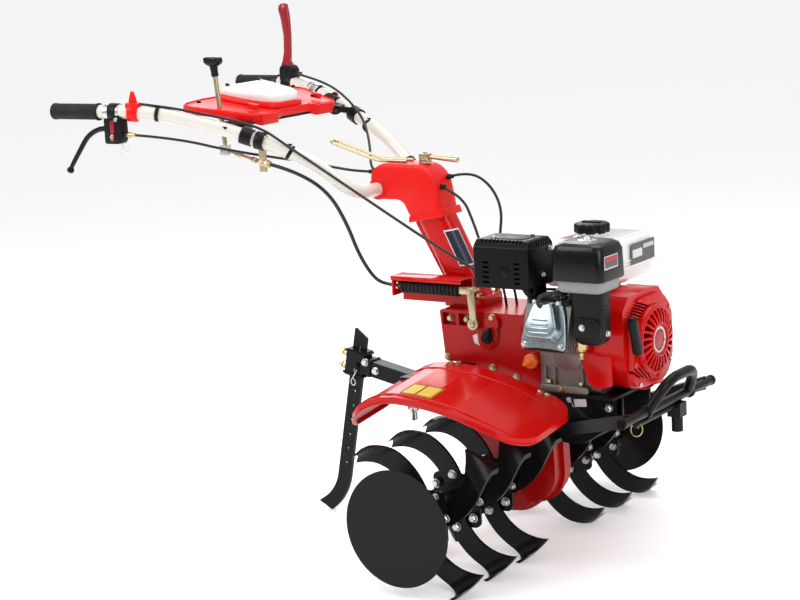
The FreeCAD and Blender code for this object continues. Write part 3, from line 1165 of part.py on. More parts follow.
def build_head():
    corners = [
        ("dim.head_rear", "dim.head_pivot_z - dim.tube_radius - dim.head_jaw"),
        ("dim.head_rear", "dim.head_top - 16"),
        ("dim.head_rear + 26", "dim.head_top"),
        ("dim.head_low_front_x - 40", "dim.head_top"),
        ("dim.head_low_front_x - 14", "dim.head_top - 26"),
        ("dim.head_low_front_x", "dim.head_low_front_z"),
        ("dim.head_low_rear_x", "dim.head_low_rear_z"),
        ("dim.head_low_rear_x - 20", "dim.head_pivot_z - dim.tube_radius - dim.head_jaw"),
    ]
    shell = slab("Head_shell", "XZ_Plane", corners, "2 * dim.head_half", rounding="dim.head_round",
                 along=Vector(0, 1, 0))
    bore = rod("Head_bore", "Y", ("dim.head_pivot_x", "-200", "dim.head_pivot_z"),
               "dim.tube_radius + dim.tube_gap",
               "400")
    node("handlebar_head", cut("Head", shell, bore), "chassis")
    stud = rod("Clamp_stud", "Z", ("dim.clamp_x", "0", "dim.head_top"), "9", "16")
    lever = rod("Clamp_lever", "X", ("dim.clamp_x", "0", "dim.head_top + 12"), "5", "84")
    node("head_clamp", join("Head_clamp", [stud, lever]), "chassis")
    low = dim("head_top") + dim("hairpin_radius") + CLEAR
    half = dim("hairpin_half")
    right = [
        Vector(dim("hairpin_x"), -half, low),
        Vector(dim("head_rear") + 8, -half, low),
        Vector(dim("hairpin_end"), -half, low + dim("hairpin_rise")),
    ]
    left = [Vector(p.x, -p.y, p.z) for p in reversed(right)]
    node("head_rod", shaped("Hairpin", tube(right + left, dim("hairpin_radius"))), "chassis")


# ---------------------------------------------------------------- handlebar

def handle_corners():
    """Corners of the handlebar on the left side, from the head to the grip's end."""
    corner, grip = dim("tube_corner"), dim("grip_half")
    pivot_x, pivot_z = dim("head_pivot_x"), dim("head_pivot_z")
    rise = dim("grip_z") - pivot_z
    return [
        Vector(pivot_x, 0, pivot_z),
        Vector(pivot_x, corner, pivot_z),
        Vector(pivot_x - 75, corner + 24, pivot_z + 0.35 * rise),
        Vector(pivot_x - 220, corner + 77, pivot_z + 0.69 * rise),
        Vector(pivot_x - 390, corner + 147, pivot_z + 0.95 * rise),
        Vector(dim("grip_start") + 56, grip - 10, dim("grip_z")),
        Vector(dim("grip_end"), grip, dim("grip_z")),
    ]


def on_tube(x, side):
    """Point on the handlebar's axis at a place along the machine, and the tube's rearward direction."""
    points = path(handle_corners()[1:]).discretize(600)
    for first, last in zip(points, points[1:]):
        if last.x <= x <= first.x:
            share = (x - first.x) / (last.x - first.x)
            here = first + (last - first) * share
            along = (last - first).normalize()
            return Vector(here.x, side * here.y, here.z), Vector(along.x, side * along.y, along.z)
    raise ValueError("no tube at %s" % x)


def ring_on_tube(name, x, side, radius, length):
    """Round clamp or sleeve round the handlebar's tube, cut to the tube."""
    here, along = on_tube(x, side)
    blank = shaped(name + "_blank", Part.makeCylinder(radius, length, here - along * (length / 2), along))
    return cut(name, blank, doc.getObject("Handle_tube"))


def build_handlebar():
    left = handle_corners()
    right = [Vector(p.x, -p.y, p.z) for p in left]
    node("handlebar_tube", shaped("Handle_tube", tube(right[:0:-1] + left[1:], dim("tube_radius"))),
         "handlebar")
    sleeves = []
    for side in (RIGHT, LEFT):
        run = [Vector(p.x, side * p.y, p.z) for p in left[-2:]]
        along = (run[1] - run[0]).normalize()
        start = run[1] - along * (dim("grip_start") - dim("grip_end"))
        length = (run[1] - start).Length + 4
        sleeve = Part.makeCylinder(dim("grip_radius"), length, start, along)
        hole = Part.makeCylinder(dim("tube_radius"), length - 4, start, along)
        sleeves.append(sleeve.cut(hole))
    node("grips", shaped("Grips", Part.makeCompound(sleeves)), "handlebar")


def console_placement():
    """Frame of the console: +X runs forward and down along it, and the origin is at its rear edge."""
    fall = math.atan2(dim("console_rear_z") - dim("console_front_z"),
                      dim("console_front") - dim("console_rear"))
    return Placement(Vector(dim("console_rear"), 0, dim("console_rear_z")),
                     Rotation(Vector(0, 1, 0), math.degrees(fall)))


def build_console():
    length = "sqrt((dim.console_front - dim.console_rear)^2 + (dim.console_rear_z - dim.console_front_z)^2)"
    plate = slab("Console_plate", "XY_Plane", [
        ("0", "-dim.console_rear_half"),
        (length, "-dim.console_front_half"),
        (length, "dim.console_front_half"),
        ("0", "dim.console_rear_half"),
    ], "dim.console_lip", ("0", "0", "-dim.console_lip / 2"))
    space = slab("Console_space", "XY_Plane", [
        ("dim.console_thick", "-dim.console_rear_half + dim.console_thick"),
        (length + " - dim.console_thick", "-dim.console_front_half + dim.console_thick"),
        (length + " - dim.console_thick", "dim.console_front_half - dim.console_thick"),
        ("dim.console_thick", "dim.console_rear_half - dim.console_thick"),
    ], "dim.console_lip", ("0", "0", "-dim.console_lip / 2 - dim.console_thick"))
    dome = slab("Console_dome", "XY_Plane", [
        ("dim.dome_inset", "-dim.dome_rear_half"),
        (length + " - dim.dome_inset", "-dim.dome_front_half"),
        (length + " - dim.dome_inset", "dim.dome_front_half"),
        ("dim.dome_inset", "dim.dome_rear_half"),
    ], "dim.dome_tall", ("0", "0", "dim.dome_tall / 2"), bevel="14", along=None)
    slots = []
    for side, word in ((RIGHT, "right"), (LEFT, "left")):
        middle = "%d * dim.slot_y" % side
        corners = [
            ("dim.slot_x - dim.slot_long / 2", middle + " - dim.slot_wide / 2"),
            ("dim.slot_x + dim.slot_long / 2", middle + " - dim.slot_wide / 2"),
            ("dim.slot_x + dim.slot_long / 2", middle + " + dim.slot_wide / 2"),
            ("dim.slot_x - dim.slot_long / 2", middle + " + dim.slot_wide / 2"),
        ]
        slots.append(slab("Console_slot_" + word, "XY_Plane", corners, "60",
                          rounding="dim.slot_wide / 2 - 0.1",
                          along=Vector(0, 0, 1)))
    shell = cut("Console_shell", plate, join("Console_cuts", [space] + slots))
    console = join("Console", [shell, dome])
    console.Placement = console_placement()
    node("console_base", console, "handlebar")

    inset = "dim.dome_inset + dim.panel_inset"
    cover = slab("Console_cover", "XY_Plane", [
        (inset, "-dim.dome_rear_half + dim.panel_inset"),
        (length + " - (%s)" % inset, "-dim.dome_front_half + dim.panel_inset"),
        (length + " - (%s)" % inset, "dim.dome_front_half - dim.panel_inset"),
        (inset, "dim.dome_rear_half - dim.panel_inset"),
    ], "dim.panel_thick", ("0", "0", "dim.dome_tall + dim.panel_thick / 2"), rounding="8",
    along=Vector(0, 0, 1))
    cover.Placement = console_placement().multiply(cover.Placement)
    lift = console_placement().Rotation.multVec(Vector(0, 0, dim("dome_tall") + dim("panel_thick") / 2))
    place(cover, (
        "dim.console_rear + %r" % lift.x,
        "0",
        "dim.console_rear_z + %r" % lift.z,
    ))
    node("console_cover", cover, "handlebar")


def build_console_mounts():
    """Strap under the console from tube to tube, two clamps with arms at its front corners."""
    strap = block("Strap", ("dim.strap_x", "-dim.strap_half", "-dim.console_lip - dim.strap_thick"),
                  ("dim.strap_wide", "2 * dim.strap_half", "dim.strap_thick"))
    strap = pair("Strap_lean", [strap])
    strap.Placement = console_placement()
    pivot = rod("Lever_pivot", "X", ("dim.lever_x - 13", "dim.lever_y", "dim.console_front_z - 19"), "9",
                "dim.console_rear + dim.strap_x - dim.lever_x + 20")
    lever = shaped("Lever_room", lever_shape())
    pieces = [cut("Strap_cut", join("Strap_solid", [strap, pivot]), join("Strap_room", [
        doc.getObject("Handle_tube"), lever]))]
    for side, word in ((RIGHT, "right"), (LEFT, "left")):
        x = dim("console_front") + 12
        here, _ = on_tube(x, side)
        corner = Vector(dim("console_front") - 14, side * (dim("console_front_half") + 2),
                        dim("console_front_z") - dim("console_lip") - 1)
        arm = shaped("Arm_to_console_" + word, flat_bar(here + Vector(0, 0, 10), corner, 14, 14))
        ring = ring_on_tube("Console_ring_" + word, x, side, dim("clamp_radius"), 26)
        clamp = join("Console_clamp_" + word, [ring, arm])
        pieces.append(cut("Console_mount_" + word, clamp, join("Console_room_" + word, [
            doc.getObject("Handle_tube"), doc.getObject("Console")])))
    pieces.append(ring_on_tube("Cable_clamp", dim("head_pivot_x") - 34, LEFT, dim("clamp_radius"), 14))
    node("console_mounts", pair("Console_mounts", pieces), "handlebar")


def lever_shape():
    """Bent rod of the gear lever, from the knob down to its ball joint."""
    x, y = dim("lever_x"), dim("lever_y")
    top = Vector(x - 14, y - 2, dim("lever_top"))
    low = Vector(x, y, dim("lever_low"))
    return Part.makeCylinder(dim("lever_radius"), (top - low).Length, low, top - low)


def gear_cable_start():
    """Middle of the nut under the hanger, and the way in which the gear cable leaves it."""
    here, _ = on_tube(dim("hanger_x"), RIGHT)
    return Vector(dim("hanger_x") + 4, here.y + 2, here.z - 47), Vector(1, 0.2, -0.25).normalize()


def build_levers():
    x, y = dim("lever_x"), dim("lever_y")
    radius = dim("lever_radius")
    here, _ = on_tube(dim("hanger_x"), RIGHT)
    nut, along = gear_cable_start()
    ring = ring_on_tube("Hanger_ring", dim("hanger_x"), RIGHT, dim("clamp_radius"), 18)
    plate = shaped("Hanger_plate", Part.makeBox(18, 4, 56, Vector(here.x - 9, here.y, here.z - 66)))
    grip = shaped("Hanger_nut", Part.makeCylinder(8, 24, nut - along * 10, along))
    hanger = join("Hanger_solid", [ring, plate, grip])
    node("shift_bracket", cut("Hanger", hanger, doc.getObject("Handle_tube")), "handlebar")

    ball = block("Lever_ball", ("dim.lever_x - 9", "dim.lever_y - 9", "dim.lever_low - 22"),
                 ("18", "18", "22"))
    joint = Vector(x, y, dim("lever_low") - 12)
    link = shaped("Lever_link_rod", Part.makeCylinder(radius - 1, (nut - joint).Length, joint, nut - joint))
    link = cut("Lever_link", link, hanger)
    node("shift_lever", join("Shift_lever", [shaped("Lever_rod", lever_shape()), ball, link]), "handlebar")
    top = Vector(x - 14, y - 2, dim("lever_top"))
    lean = (top - Vector(x, y, dim("lever_low"))).normalize()
    knob = Part.makeCylinder(dim("knob_radius") * 0.7, dim("knob_tall"), top, lean)
    cap = Part.makeCylinder(dim("knob_radius"), dim("knob_tall") * 0.4,
                            top + lean * dim("knob_tall") * 0.6, lean)
    node("shift_knob", shaped("Shift_knob", knob.fuse(cap)), "handlebar")

    pieces = []
    low = Vector(dim("grip_start") + 38, 0, 0)
    here, _ = on_tube(low.x, RIGHT)
    pieces.append(shaped("Right_lever_body",
                         Part.makeBox(48, 26, 62, Vector(here.x - 24, here.y - 14, here.z - 70))))
    pieces.append(ring_on_tube("Right_lever_ring", low.x, RIGHT, dim("clamp_radius"), 26))
    right = cut("Right_lever_bracket", join("Right_lever_solid", pieces), doc.getObject("Handle_tube"))
    here, _ = on_tube(low.x, LEFT)
    body = shaped("Left_lever_body", Part.makeBox(44, 24, 42, Vector(here.x - 26, here.y - 12, here.z)))
    ring = ring_on_tube("Left_lever_ring", low.x, LEFT, dim("clamp_radius"), 30)
    left = cut("Left_lever_bracket", join("Left_lever_solid", [body, ring]), doc.getObject("Handle_tube"))
    node("lever_brackets", pair("Lever_brackets", [right, left]), "handlebar")

    here, _ = on_tube(low.x, RIGHT)
    start = Vector(here.x - 24, here.y - 2, here.z - 44)
    route = [start, start + Vector(-36, 0, 0), start + Vector(-72, -8, -32), start + Vector(-104, -13, -80)]
    bent = tube(route, 6)
    end = Part.makeSphere(9, route[-1])
    node("brake_lever", shaped("Brake_lever", bent.fuse(end)), "handlebar")

    here, _ = on_tube(low.x, LEFT)
    foot = Vector(here.x - 4, here.y, here.z + 42)
    side_view = [
        foot + Vector(-17, 0, 0),
        foot + Vector(19, 0, 0),
        foot + Vector(10, 0, 150),
        foot + Vector(-26, 0, 142),
    ]
    blade = Part.Face(Part.makePolygon(side_view + side_view[:1])).extrude(Vector(0, 20, 0))
    blade.translate(Vector(0, -10, 0))
    edges = [edge for edge in blade.Edges if abs((edge.Vertexes[0].Point - edge.Vertexes[1].Point).y) < 1]
    node("clutch_lever", shaped("Clutch_lever", blade.makeFillet(5, edges)), "handlebar")

    ring = ring_on_tube("Throttle_ring", dim("throttle_x"), RIGHT, dim("clamp_radius") + 2, 24)
    here, _ = on_tube(dim("throttle_x"), RIGHT)
    point = shaped("Throttle_point", Part.makeCone(11, 4, 38, here + Vector(0, 0, 12), Vector(0, -0.1, 1)))
    throttle = cut("Throttle", join("Throttle_solid", [ring, point]), doc.getObject("Handle_tube"))
    node("throttle_control", throttle, "handlebar")

    body = ring_on_tube("Switch_body", dim("switch_x"), LEFT, dim("switch_radius"), 44)
    node("kill_switch", body, "handlebar")


# ---------------------------------------------------------------- shift linkage beside the column

def build_shift():
    side = "-dim.column_foot_wide"
    plate = block("Tray_plate", ("dim.bellows_rear - 12", side + " - 4", "dim.gear_top + 8"),
                  ("dim.bellows_front - dim.bellows_rear + 24", "4", "58"))
    end = block("Tray_end", ("dim.bellows_rear - 12", "dim.bellows_y - 17", "dim.bellows_z - 20"),
                ("4", "%s - dim.bellows_y + 17" % side, "42"))
    hole = rod("Tray_hole", "X", ("dim.bellows_rear - 100", "dim.bellows_y", "dim.bellows_z"),
               "dim.bellows_radius / 2", "150")
    node("shift_tray", cut("Tray", join("Tray_solid", [plate, end]), hole), "chassis")

    core = rod("Bellows_core", "X", ("dim.bellows_rear - 8", "dim.bellows_y", "dim.bellows_z"),
               "0.7 * dim.bellows_radius", "dim.bellows_front - dim.bellows_rear + 8")
    folds = []
    count = 13
    for number in range(count):
        start = "dim.bellows_rear + %d * (dim.bellows_front - dim.bellows_rear) / %d" % (number, count)
        wide = "0.6 * (dim.bellows_front - dim.bellows_rear) / %d" % count
        folds.append(rod("Fold_%d" % number, "X", (start, "dim.bellows_y", "dim.bellows_z"),
                         "dim.bellows_radius", wide))
    node("bellows", join("Bellows", [core] + folds), "chassis")

    clevis = block("Clevis", ("dim.bellows_front", "dim.bellows_y - 8", "dim.bellows_z - 8"),
                   ("42", "16", "16"))
    pin = rod("Clevis_pin", "Y", ("dim.bellows_front + 34", "dim.arm_y - 4", "dim.bellows_z"), "4",
              "dim.bellows_y - dim.arm_y + 16")
    shaft = rod("Arm_shaft", "Y", ("dim.bellows_front + 38", "dim.arm_y - 4", "dim.arm_low"), "9",
                "-dim.gear_half - dim.arm_y + 4")
    arm = block("Shift_arm", ("dim.bellows_front + 26", "dim.arm_y", "dim.arm_low - 12"),
                ("18", "5", "dim.bellows_z + 26 - dim.arm_low"))
    node("shift_linkage", join("Shift_linkage", [clevis, pin, shaft, arm]), "chassis")


# ---------------------------------------------------------------- cables

def cable(name, route, radius):
    """Round cable held along its whole route. Prints its length and its smallest bend."""
    solid = tube(route, radius)
    length = path(route).Length
    filled = solid.Volume / (math.pi * radius ** 2 * length)
    print("%s: %.0f mm long, bends from %.0f mm, volume %.4f of section times length"
          % (name, length, min(bend_radii(route)), filled))
    return solid


def build_cables():
    thin = dim("cable_radius")
    thick = dim("sleeve_radius")
    above = dim("tube_radius") + thin + 1.5

    def over(x, side, shift=0.0):
        here, _ = on_tube(x, side)
        return here + Vector(0, -side * shift, above)

    throttle_x = dim("throttle_x") + 13
    carb = Vector(dim("carb_x"), dim("elbow_y") + dim("elbow_wide") + dim("carb_radius"),
                  dim("elbow_z") + 46 + CLEAR)
    route = [
        over(throttle_x, RIGHT),
        over(throttle_x + 64, RIGHT),
        over(throttle_x + 148, RIGHT) + Vector(0, 0, 4),
        over(-492, RIGHT) + Vector(0, 0, 12),
        Vector(-430, -186, 724),
        Vector(4, -119, 452),
        Vector(92, -100, 424),
        Vector(172, -94, 430),
        carb + Vector(-36, 8, 48),
        carb + Vector(0, 0, 38),
        carb,
    ]
    node("throttle_cable", shaped("Throttle_cable", cable("throttle cable", route, thin)), "chassis")

    nut, along = gear_cable_start()
    nut += along * (14 + CLEAR)
    ferrule = Vector(dim("bellows_rear") - 8 - CLEAR, dim("bellows_y"), dim("bellows_z"))
    route = [
        nut,
        nut + along * 60,
        Vector(-345, -158, 622),
        Vector(-316, -136, 550),
        Vector(-306, -112, 478),
        Vector(-286, -86, 421),
        ferrule + Vector(-24, 0, 0),
        ferrule,
    ]
    node("shift_cable", shaped("Shift_cable", cable("shift cable", route, thick)), "chassis")

    left_x = dim("grip_start") + 38
    head = Vector(dim("head_rear") - CLEAR, 0, dim("head_top") - 22)
    route = [
        over(left_x + 22, LEFT, 2) + Vector(0, 0, 4),
        over(left_x + 90, LEFT) + Vector(0, 0, 6),
        over(dim("switch_x"), LEFT) + Vector(0, 0, 14),
        over(dim("switch_x") + 84, LEFT, 20) + Vector(0, 0, 14),
        Vector(-452, 140, 742),
        Vector(-392, 74, 696),
        head + Vector(-32, 18, 2),
        head + Vector(-9, 14, 0),
        head + Vector(0, 14, 0),
    ]
    node("clutch_cable", shaped("Clutch_cable", cable("clutch cable", route, thin)), "chassis")

    here, _ = on_tube(left_x, RIGHT)
    route = [
        Vector(here.x + 24 + CLEAR, here.y, here.z - 50),
        Vector(here.x + 68, here.y, here.z - 50),
        Vector(-650, -250, 736),
        Vector(-590, -214, 716),
        Vector(-520, -170, 698),
        Vector(-436, -104, 676),
        Vector(-376, -40, 652),
        head + Vector(-22, -14, 0),
        head + Vector(0, -14, 0),
    ]
    node("brake_cable", shaped("Brake_cable", cable("brake cable", route, thin)), "chassis")

    gear = dim("gear_top") + CLEAR
    front = Vector(dim("head_low_front_x") - 12 + CLEAR, 0, dim("head_top") - 32)
    routes = [
        [front + Vector(0, 18, 0), Vector(-104, 27, 648), Vector(-56, 34, 622), Vector(-28, 36, 568),
         Vector(-36, 30, 500), Vector(-22, 24, 446), Vector(4, 20, 406), Vector(8, 20, gear)],
        [front + Vector(3, -14, -18), Vector(-98, -12, 600), Vector(-74, -10, 544), Vector(-56, -8, 488),
         Vector(-22, -6, 436), Vector(-6, -6, 402), Vector(-2, -6, gear)],
    ]
    runs = [cable("head cable %d" % number, route, thin) for number, route in enumerate(routes, start=1)]
    node("head_cables", shaped("Head_cables", Part.makeCompound(runs)), "chassis")


doc.recompute()
blades = build_rotor()
build_gearbox()
build_crankcase()
build_cylinder()
build_muffler()
build_intake()
build_tank()
build_blower()
build_frame()
build_bumper()
build_fenders()
build_hitch()
build_column()
build_head()
build_handlebar()
build_console()
doc.recompute()
build_console_mounts()
build_levers()
build_shift()
build_cables()
doc.recompute()


# ---------------------------------------------------------------- how the machine stands

def corner_points(shape):
    return shape.tessellate(0.1)[0]


def turned_about_axle(points, angle):
    turn = Rotation(Vector(0, 1, 0), angle)
    return [turn.multVec(point) for point in points]


def solve(wanted, low, high):
    """Angle in degrees between two others at which a rising function of it reaches zero."""
    for _ in range(40):
        middle = (low + high) / 2
        if wanted(middle) < 0:
            low = middle
        else:
            high = middle
    return (low + high) / 2


def rest():
    """Turn of the rotor at which two tines of each plate stand on the floor, the machine's turn at which its
    stake does too, and the axle's height."""
    ring = []
    for quarter in range(4):
        ring += turned_about_axle(corner_points(blades[RIGHT].Shape), 90 * quarter)
    start = tip_angle(blades[RIGHT]) - 45

    def lean(angle):
        points = turned_about_axle(ring, start + angle)
        return min(p.z for p in points if p.x < 0) - min(p.z for p in points if p.x > 0)

    phase = start + solve(lean, -20, 20)
    height = -min(p.z for p in turned_about_axle(ring, phase))
    stake = corner_points(nodes["depth_stake"][0].Shape)
    pitch = -solve(lambda angle: -height - min(p.z for p in turned_about_axle(stake, -angle)), -12, 12)
    return phase, pitch, height


phase, pitch, axle_height = rest()
for side, word in ((RIGHT, "right"), (LEFT, "left")):
    node("tines_" + word, shaped("Tines_" + word, tines(side, blades, phase - pitch)), "rotor")
doc.recompute()

stance = Placement(Vector(0, 0, axle_height), Rotation(Vector(0, 1, 0), pitch))
reach = []
for group, _ in nodes.values():
    reach += [stance.multVec(point).x for point in corner_points(group.Shape)]
stance.Base.x = -(min(reach) + max(reach)) / 2
for group, _ in nodes.values():
    group.Placement = stance
doc.recompute()


def check(pieces):
    """Stop if any feature failed, or a sub-part's shape is empty or not valid."""
    for piece in doc.Objects:
        if "Invalid" in piece.State or "Error" in piece.State:
            raise RuntimeError("%s did not build: %s" % (piece.Name, piece.State))
    for label, (piece, _) in pieces.items():
        if piece.Shape.isNull() or not piece.Shape.isValid() or not piece.Shape.Solids:
            raise RuntimeError("%s has no valid solid" % label)


check(nodes)
os.makedirs("parts", exist_ok=True)
for label, (piece, _) in nodes.items():
    piece.Shape.exportStep("parts/%s.step" % label)
print(len(nodes), "nodes")

machine_points = {
    "tine axle": Vector(),
    "handlebar pivot": Vector(dim("head_pivot_x"), 0, dim("head_pivot_z")),
    "stake at the drawbar": Vector(dim("hitch_x"), 0, dim("hitch_z")),
    "cross rod": Vector(dim("rod_x"), 0, dim("rod_z")),
    "front post's lower end": Vector(dim("rod_x"), dim("socket_y"), dim("post_low")),
}
print("machine turned %.3f degrees about +Y" % pitch)
for name, point in machine_points.items():
    print("%-24s (%.2f, %.2f, %.2f)" % ((name,) + tuple(stance.multVec(point))))
along = (stance.Rotation * hitch_placement().Rotation).multVec(Vector(0, 0, 1))
print("stake runs along (%.5f, %.5f, %.5f)" % tuple(along))
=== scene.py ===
import json
import math

import bmesh
import bpy
from bpy.props import FloatProperty, FloatVectorProperty, IntProperty, PointerProperty
from mathutils import Matrix, Vector


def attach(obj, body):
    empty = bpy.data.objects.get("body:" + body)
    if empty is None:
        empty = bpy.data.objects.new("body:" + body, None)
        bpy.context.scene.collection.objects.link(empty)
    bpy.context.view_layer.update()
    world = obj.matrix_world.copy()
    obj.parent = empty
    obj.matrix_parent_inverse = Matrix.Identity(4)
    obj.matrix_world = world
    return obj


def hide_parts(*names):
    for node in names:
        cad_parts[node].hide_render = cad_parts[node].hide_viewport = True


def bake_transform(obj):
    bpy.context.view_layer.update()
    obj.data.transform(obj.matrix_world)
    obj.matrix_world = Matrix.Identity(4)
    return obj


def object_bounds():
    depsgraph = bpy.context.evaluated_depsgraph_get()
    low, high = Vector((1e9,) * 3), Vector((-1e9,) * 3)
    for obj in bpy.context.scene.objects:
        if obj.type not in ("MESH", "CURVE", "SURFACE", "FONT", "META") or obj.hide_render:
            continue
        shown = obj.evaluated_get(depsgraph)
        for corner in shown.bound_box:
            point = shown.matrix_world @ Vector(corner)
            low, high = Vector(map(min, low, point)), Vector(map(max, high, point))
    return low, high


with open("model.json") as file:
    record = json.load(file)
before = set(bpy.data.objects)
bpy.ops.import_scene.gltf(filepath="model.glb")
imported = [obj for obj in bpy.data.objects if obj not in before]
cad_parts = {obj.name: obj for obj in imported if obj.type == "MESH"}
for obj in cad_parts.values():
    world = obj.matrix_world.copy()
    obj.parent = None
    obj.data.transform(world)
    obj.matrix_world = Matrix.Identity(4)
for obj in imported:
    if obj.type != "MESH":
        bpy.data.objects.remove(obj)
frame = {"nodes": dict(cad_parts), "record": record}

bl_info = {"name": "Garden tiller looks", "version": (1, 0, 0), "blender": (4, 5, 0),
    "location": "3D View > Sidebar > Tiller",
    "description": "Finishes, cables and small parts of a walk-behind garden tiller", "category": "Object",}

CAD_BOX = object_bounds()
RECORD = frame["record"]
JOINTS = {joint["name"]: joint for joint in RECORD["behaviour"]["joints"]}
SLOT_OF = {part["node"]: part["material_slot"] for part in RECORD["subparts"]}

# ---------------------------------------------------------------- where the machine stands

DRAWBAR_LEAN = math.radians(11.5)
AXLE = Vector(JOINTS["rotor_spin"]["pos_m"])
STAKE_WAY = Vector(JOINTS["stake_slide"]["axis"])
STANCE = math.atan2(STAKE_WAY.x, STAKE_WAY.z) - DRAWBAR_LEAN
MACHINE = Matrix.Translation(AXLE) @ Matrix.Rotation(STANCE, 4, "Y") @ Matrix.Scale(0.001, 4)
RIGHT, LEFT = -1, 1


def at(x, y, z):
    """Place in the scene of a point given in millimetres from the middle of the tine axle."""
    return MACHINE @ Vector((x, y, z))


# ---------------------------------------------------------------- sizes and colours a user may change

class TillerFinish(bpy.types.PropertyGroup):
    """Colours of the machine."""
    red: FloatVectorProperty(name="Red paint", description="Fenders, gearbox, column and console", size=4,
        subtype="COLOR", min=0, max=1, default=(0.57, 0.003, 0.002, 1))
    cream: FloatVectorProperty(name="Cream paint", description="Handlebar tube", size=4, subtype="COLOR", min=0,
        max=1, default=(0.72, 0.69, 0.62, 1))
    white: FloatVectorProperty(name="White", description="Fuel tank and console cover", size=4, subtype="COLOR",
        min=0, max=1, default=(0.83, 0.83, 0.81, 1))
    black: FloatVectorProperty(name="Black paint", description="Rotor, frame and bumper", size=4, subtype="COLOR",
        min=0, max=1, default=(0.006, 0.006, 0.0065, 1))
    wear: FloatProperty(name="Wear", description="How much dust and rubbing the finishes show", default=0.5, min=0,
        max=1, subtype="FACTOR")


class TillerCables(bpy.types.PropertyGroup):
    """Cables between the handlebar and the machine."""
    thin: FloatProperty(name="Thin sheath", description="Radius of the throttle, clutch and brake cables",
        default=0.003, unit="LENGTH", min=0.001)
    thick: FloatProperty(name="Thick sheath", description="Radius of the gear cable", default=0.004, unit="LENGTH",
        min=0.001)


class TillerDetail(bpy.types.PropertyGroup):
    """Small parts."""
    bolt_across: FloatProperty(name="Bolt across flats", description="Width of a common bolt's head", default=0.013,
        unit="LENGTH", min=0.002)
    bolt_tall: FloatProperty(name="Bolt head height", description="Height of a common bolt's head", default=0.006,
        unit="LENGTH", min=0.001)
    starter_slots: IntProperty(name="Starter slots", description="Openings in the starter cover's outer ring",
        default=24, min=6)
    grip_ribs: IntProperty(name="Grip ribs", description="Ribs on one rubber grip", default=26, min=4)


class TillerView(bpy.types.PropertyGroup):
    """Camera and light."""
    azimuth: FloatProperty(name="Azimuth", description="Camera's turn from straight off the right side",
        default=math.radians(34.517), subtype="ANGLE")
    elevation: FloatProperty(name="Elevation", description="How far the camera looks down",
        default=math.radians(10.931), subtype="ANGLE")
    roll: FloatProperty(name="Roll", description="Camera's turn about its own line of sight",
        default=math.radians(-2.973), subtype="ANGLE")
    lens: FloatProperty(name="Lens", description="Focal length on a 36 mm sensor", default=92.18, min=10)
    key: FloatProperty(name="Key light", description="Power of the main softbox in watts", default=72, min=0)
    sky: FloatProperty(name="Sky", description="Strength of the sky's light", default=0.5, min=0)
    floor_glow: FloatProperty(name="Floor glow", description="Light given off by the white floor", default=0.30,
        min=0)


# ---------------------------------------------------------------- shader groups

def shader_group(name, inputs, outputs):
    """Empty shader node group with named sockets: (name, kind, default) in and (name, kind) out."""
    tree = bpy.data.node_groups.new(name, "ShaderNodeTree")
    for label, kind, value in inputs:
        socket = tree.interface.new_socket(label, in_out="INPUT", socket_type="NodeSocket" + kind)
        if value is not None:
            socket.default_value = value
    for label, kind in outputs:
        tree.interface.new_socket(label, in_out="OUTPUT", socket_type="NodeSocket" + kind)
    return tree, tree.nodes.new("NodeGroupInput"), tree.nodes.new("NodeGroupOutput")


def maths(tree, operation, first, second=None, clamp=False):
    """Maths node; each operand is a socket or a number."""
    made = tree.nodes.new("ShaderNodeMath")
    made.operation = operation
    made.use_clamp = clamp
    for socket, value in zip(made.inputs, (first, second)):
        if isinstance(value, (int, float)):
            socket.default_value = value
        elif value is not None:
            tree.links.new(value, socket)
    return made.outputs[0]


def noise(tree, place, scale, detail=3.0, rough=0.55):
    """Fractal noise at a place."""
    made = tree.nodes.new("ShaderNodeTexNoise")
    made.inputs["Detail"].default_value = detail
    made.inputs["Roughness"].default_value = rough
    tree.links.new(place, made.inputs["Vector"])
    if isinstance(scale, (int, float)):
        made.inputs["Scale"].default_value = scale
    else:
        tree.links.new(scale, made.inputs["Scale"])
    return made.outputs["Fac"]


def spread(tree, value, low, high, to_low=0.0, to_high=1.0):
    """Value stretched from one range to another, held inside it."""
    made = tree.nodes.new("ShaderNodeMapRange")
    made.clamp = True
    tree.links.new(value, made.inputs["Value"])
    for label, number in (("From Min", low), ("From Max", high), ("To Min", to_low), ("To Max", to_high)):
        made.inputs[label].default_value = number
    return made.outputs["Result"]


def blended(tree, factor, first, second):
    """Colour between two colours."""
    made = tree.nodes.new("ShaderNodeMix")
    made.data_type = "RGBA"
    tree.links.new(factor, made.inputs[0])
    for socket, value in ((made.inputs[6], first), (made.inputs[7], second)):
        if isinstance(value, (tuple, list)):
            socket.default_value = value
        else:
            tree.links.new(value, socket)
    return made.outputs[2]


def grain_group():
    """Fine unevenness of a surface: Height for bump and Mask for roughness."""
    tree, into, out = shader_group("Grain", [("Scale", "Float", 400.0), ("Coarse", "Float", 0.3)],
        [("Height", "Float"), ("Mask", "Float")])
    place = tree.nodes.new("ShaderNodeTexCoord").outputs["Object"]
    fine = noise(tree, place, into.outputs["Scale"], 4.0, 0.6)
    wide = noise(tree, place, maths(tree, "MULTIPLY", into.outputs["Scale"], 0.12), 2.0)
    coarse = maths(tree, "MULTIPLY", wide, into.outputs["Coarse"])
    tree.links.new(maths(tree, "ADD", fine, coarse), out.inputs["Height"])
    tree.links.new(spread(tree, fine, 0.35, 0.65), out.inputs["Mask"])
    return tree


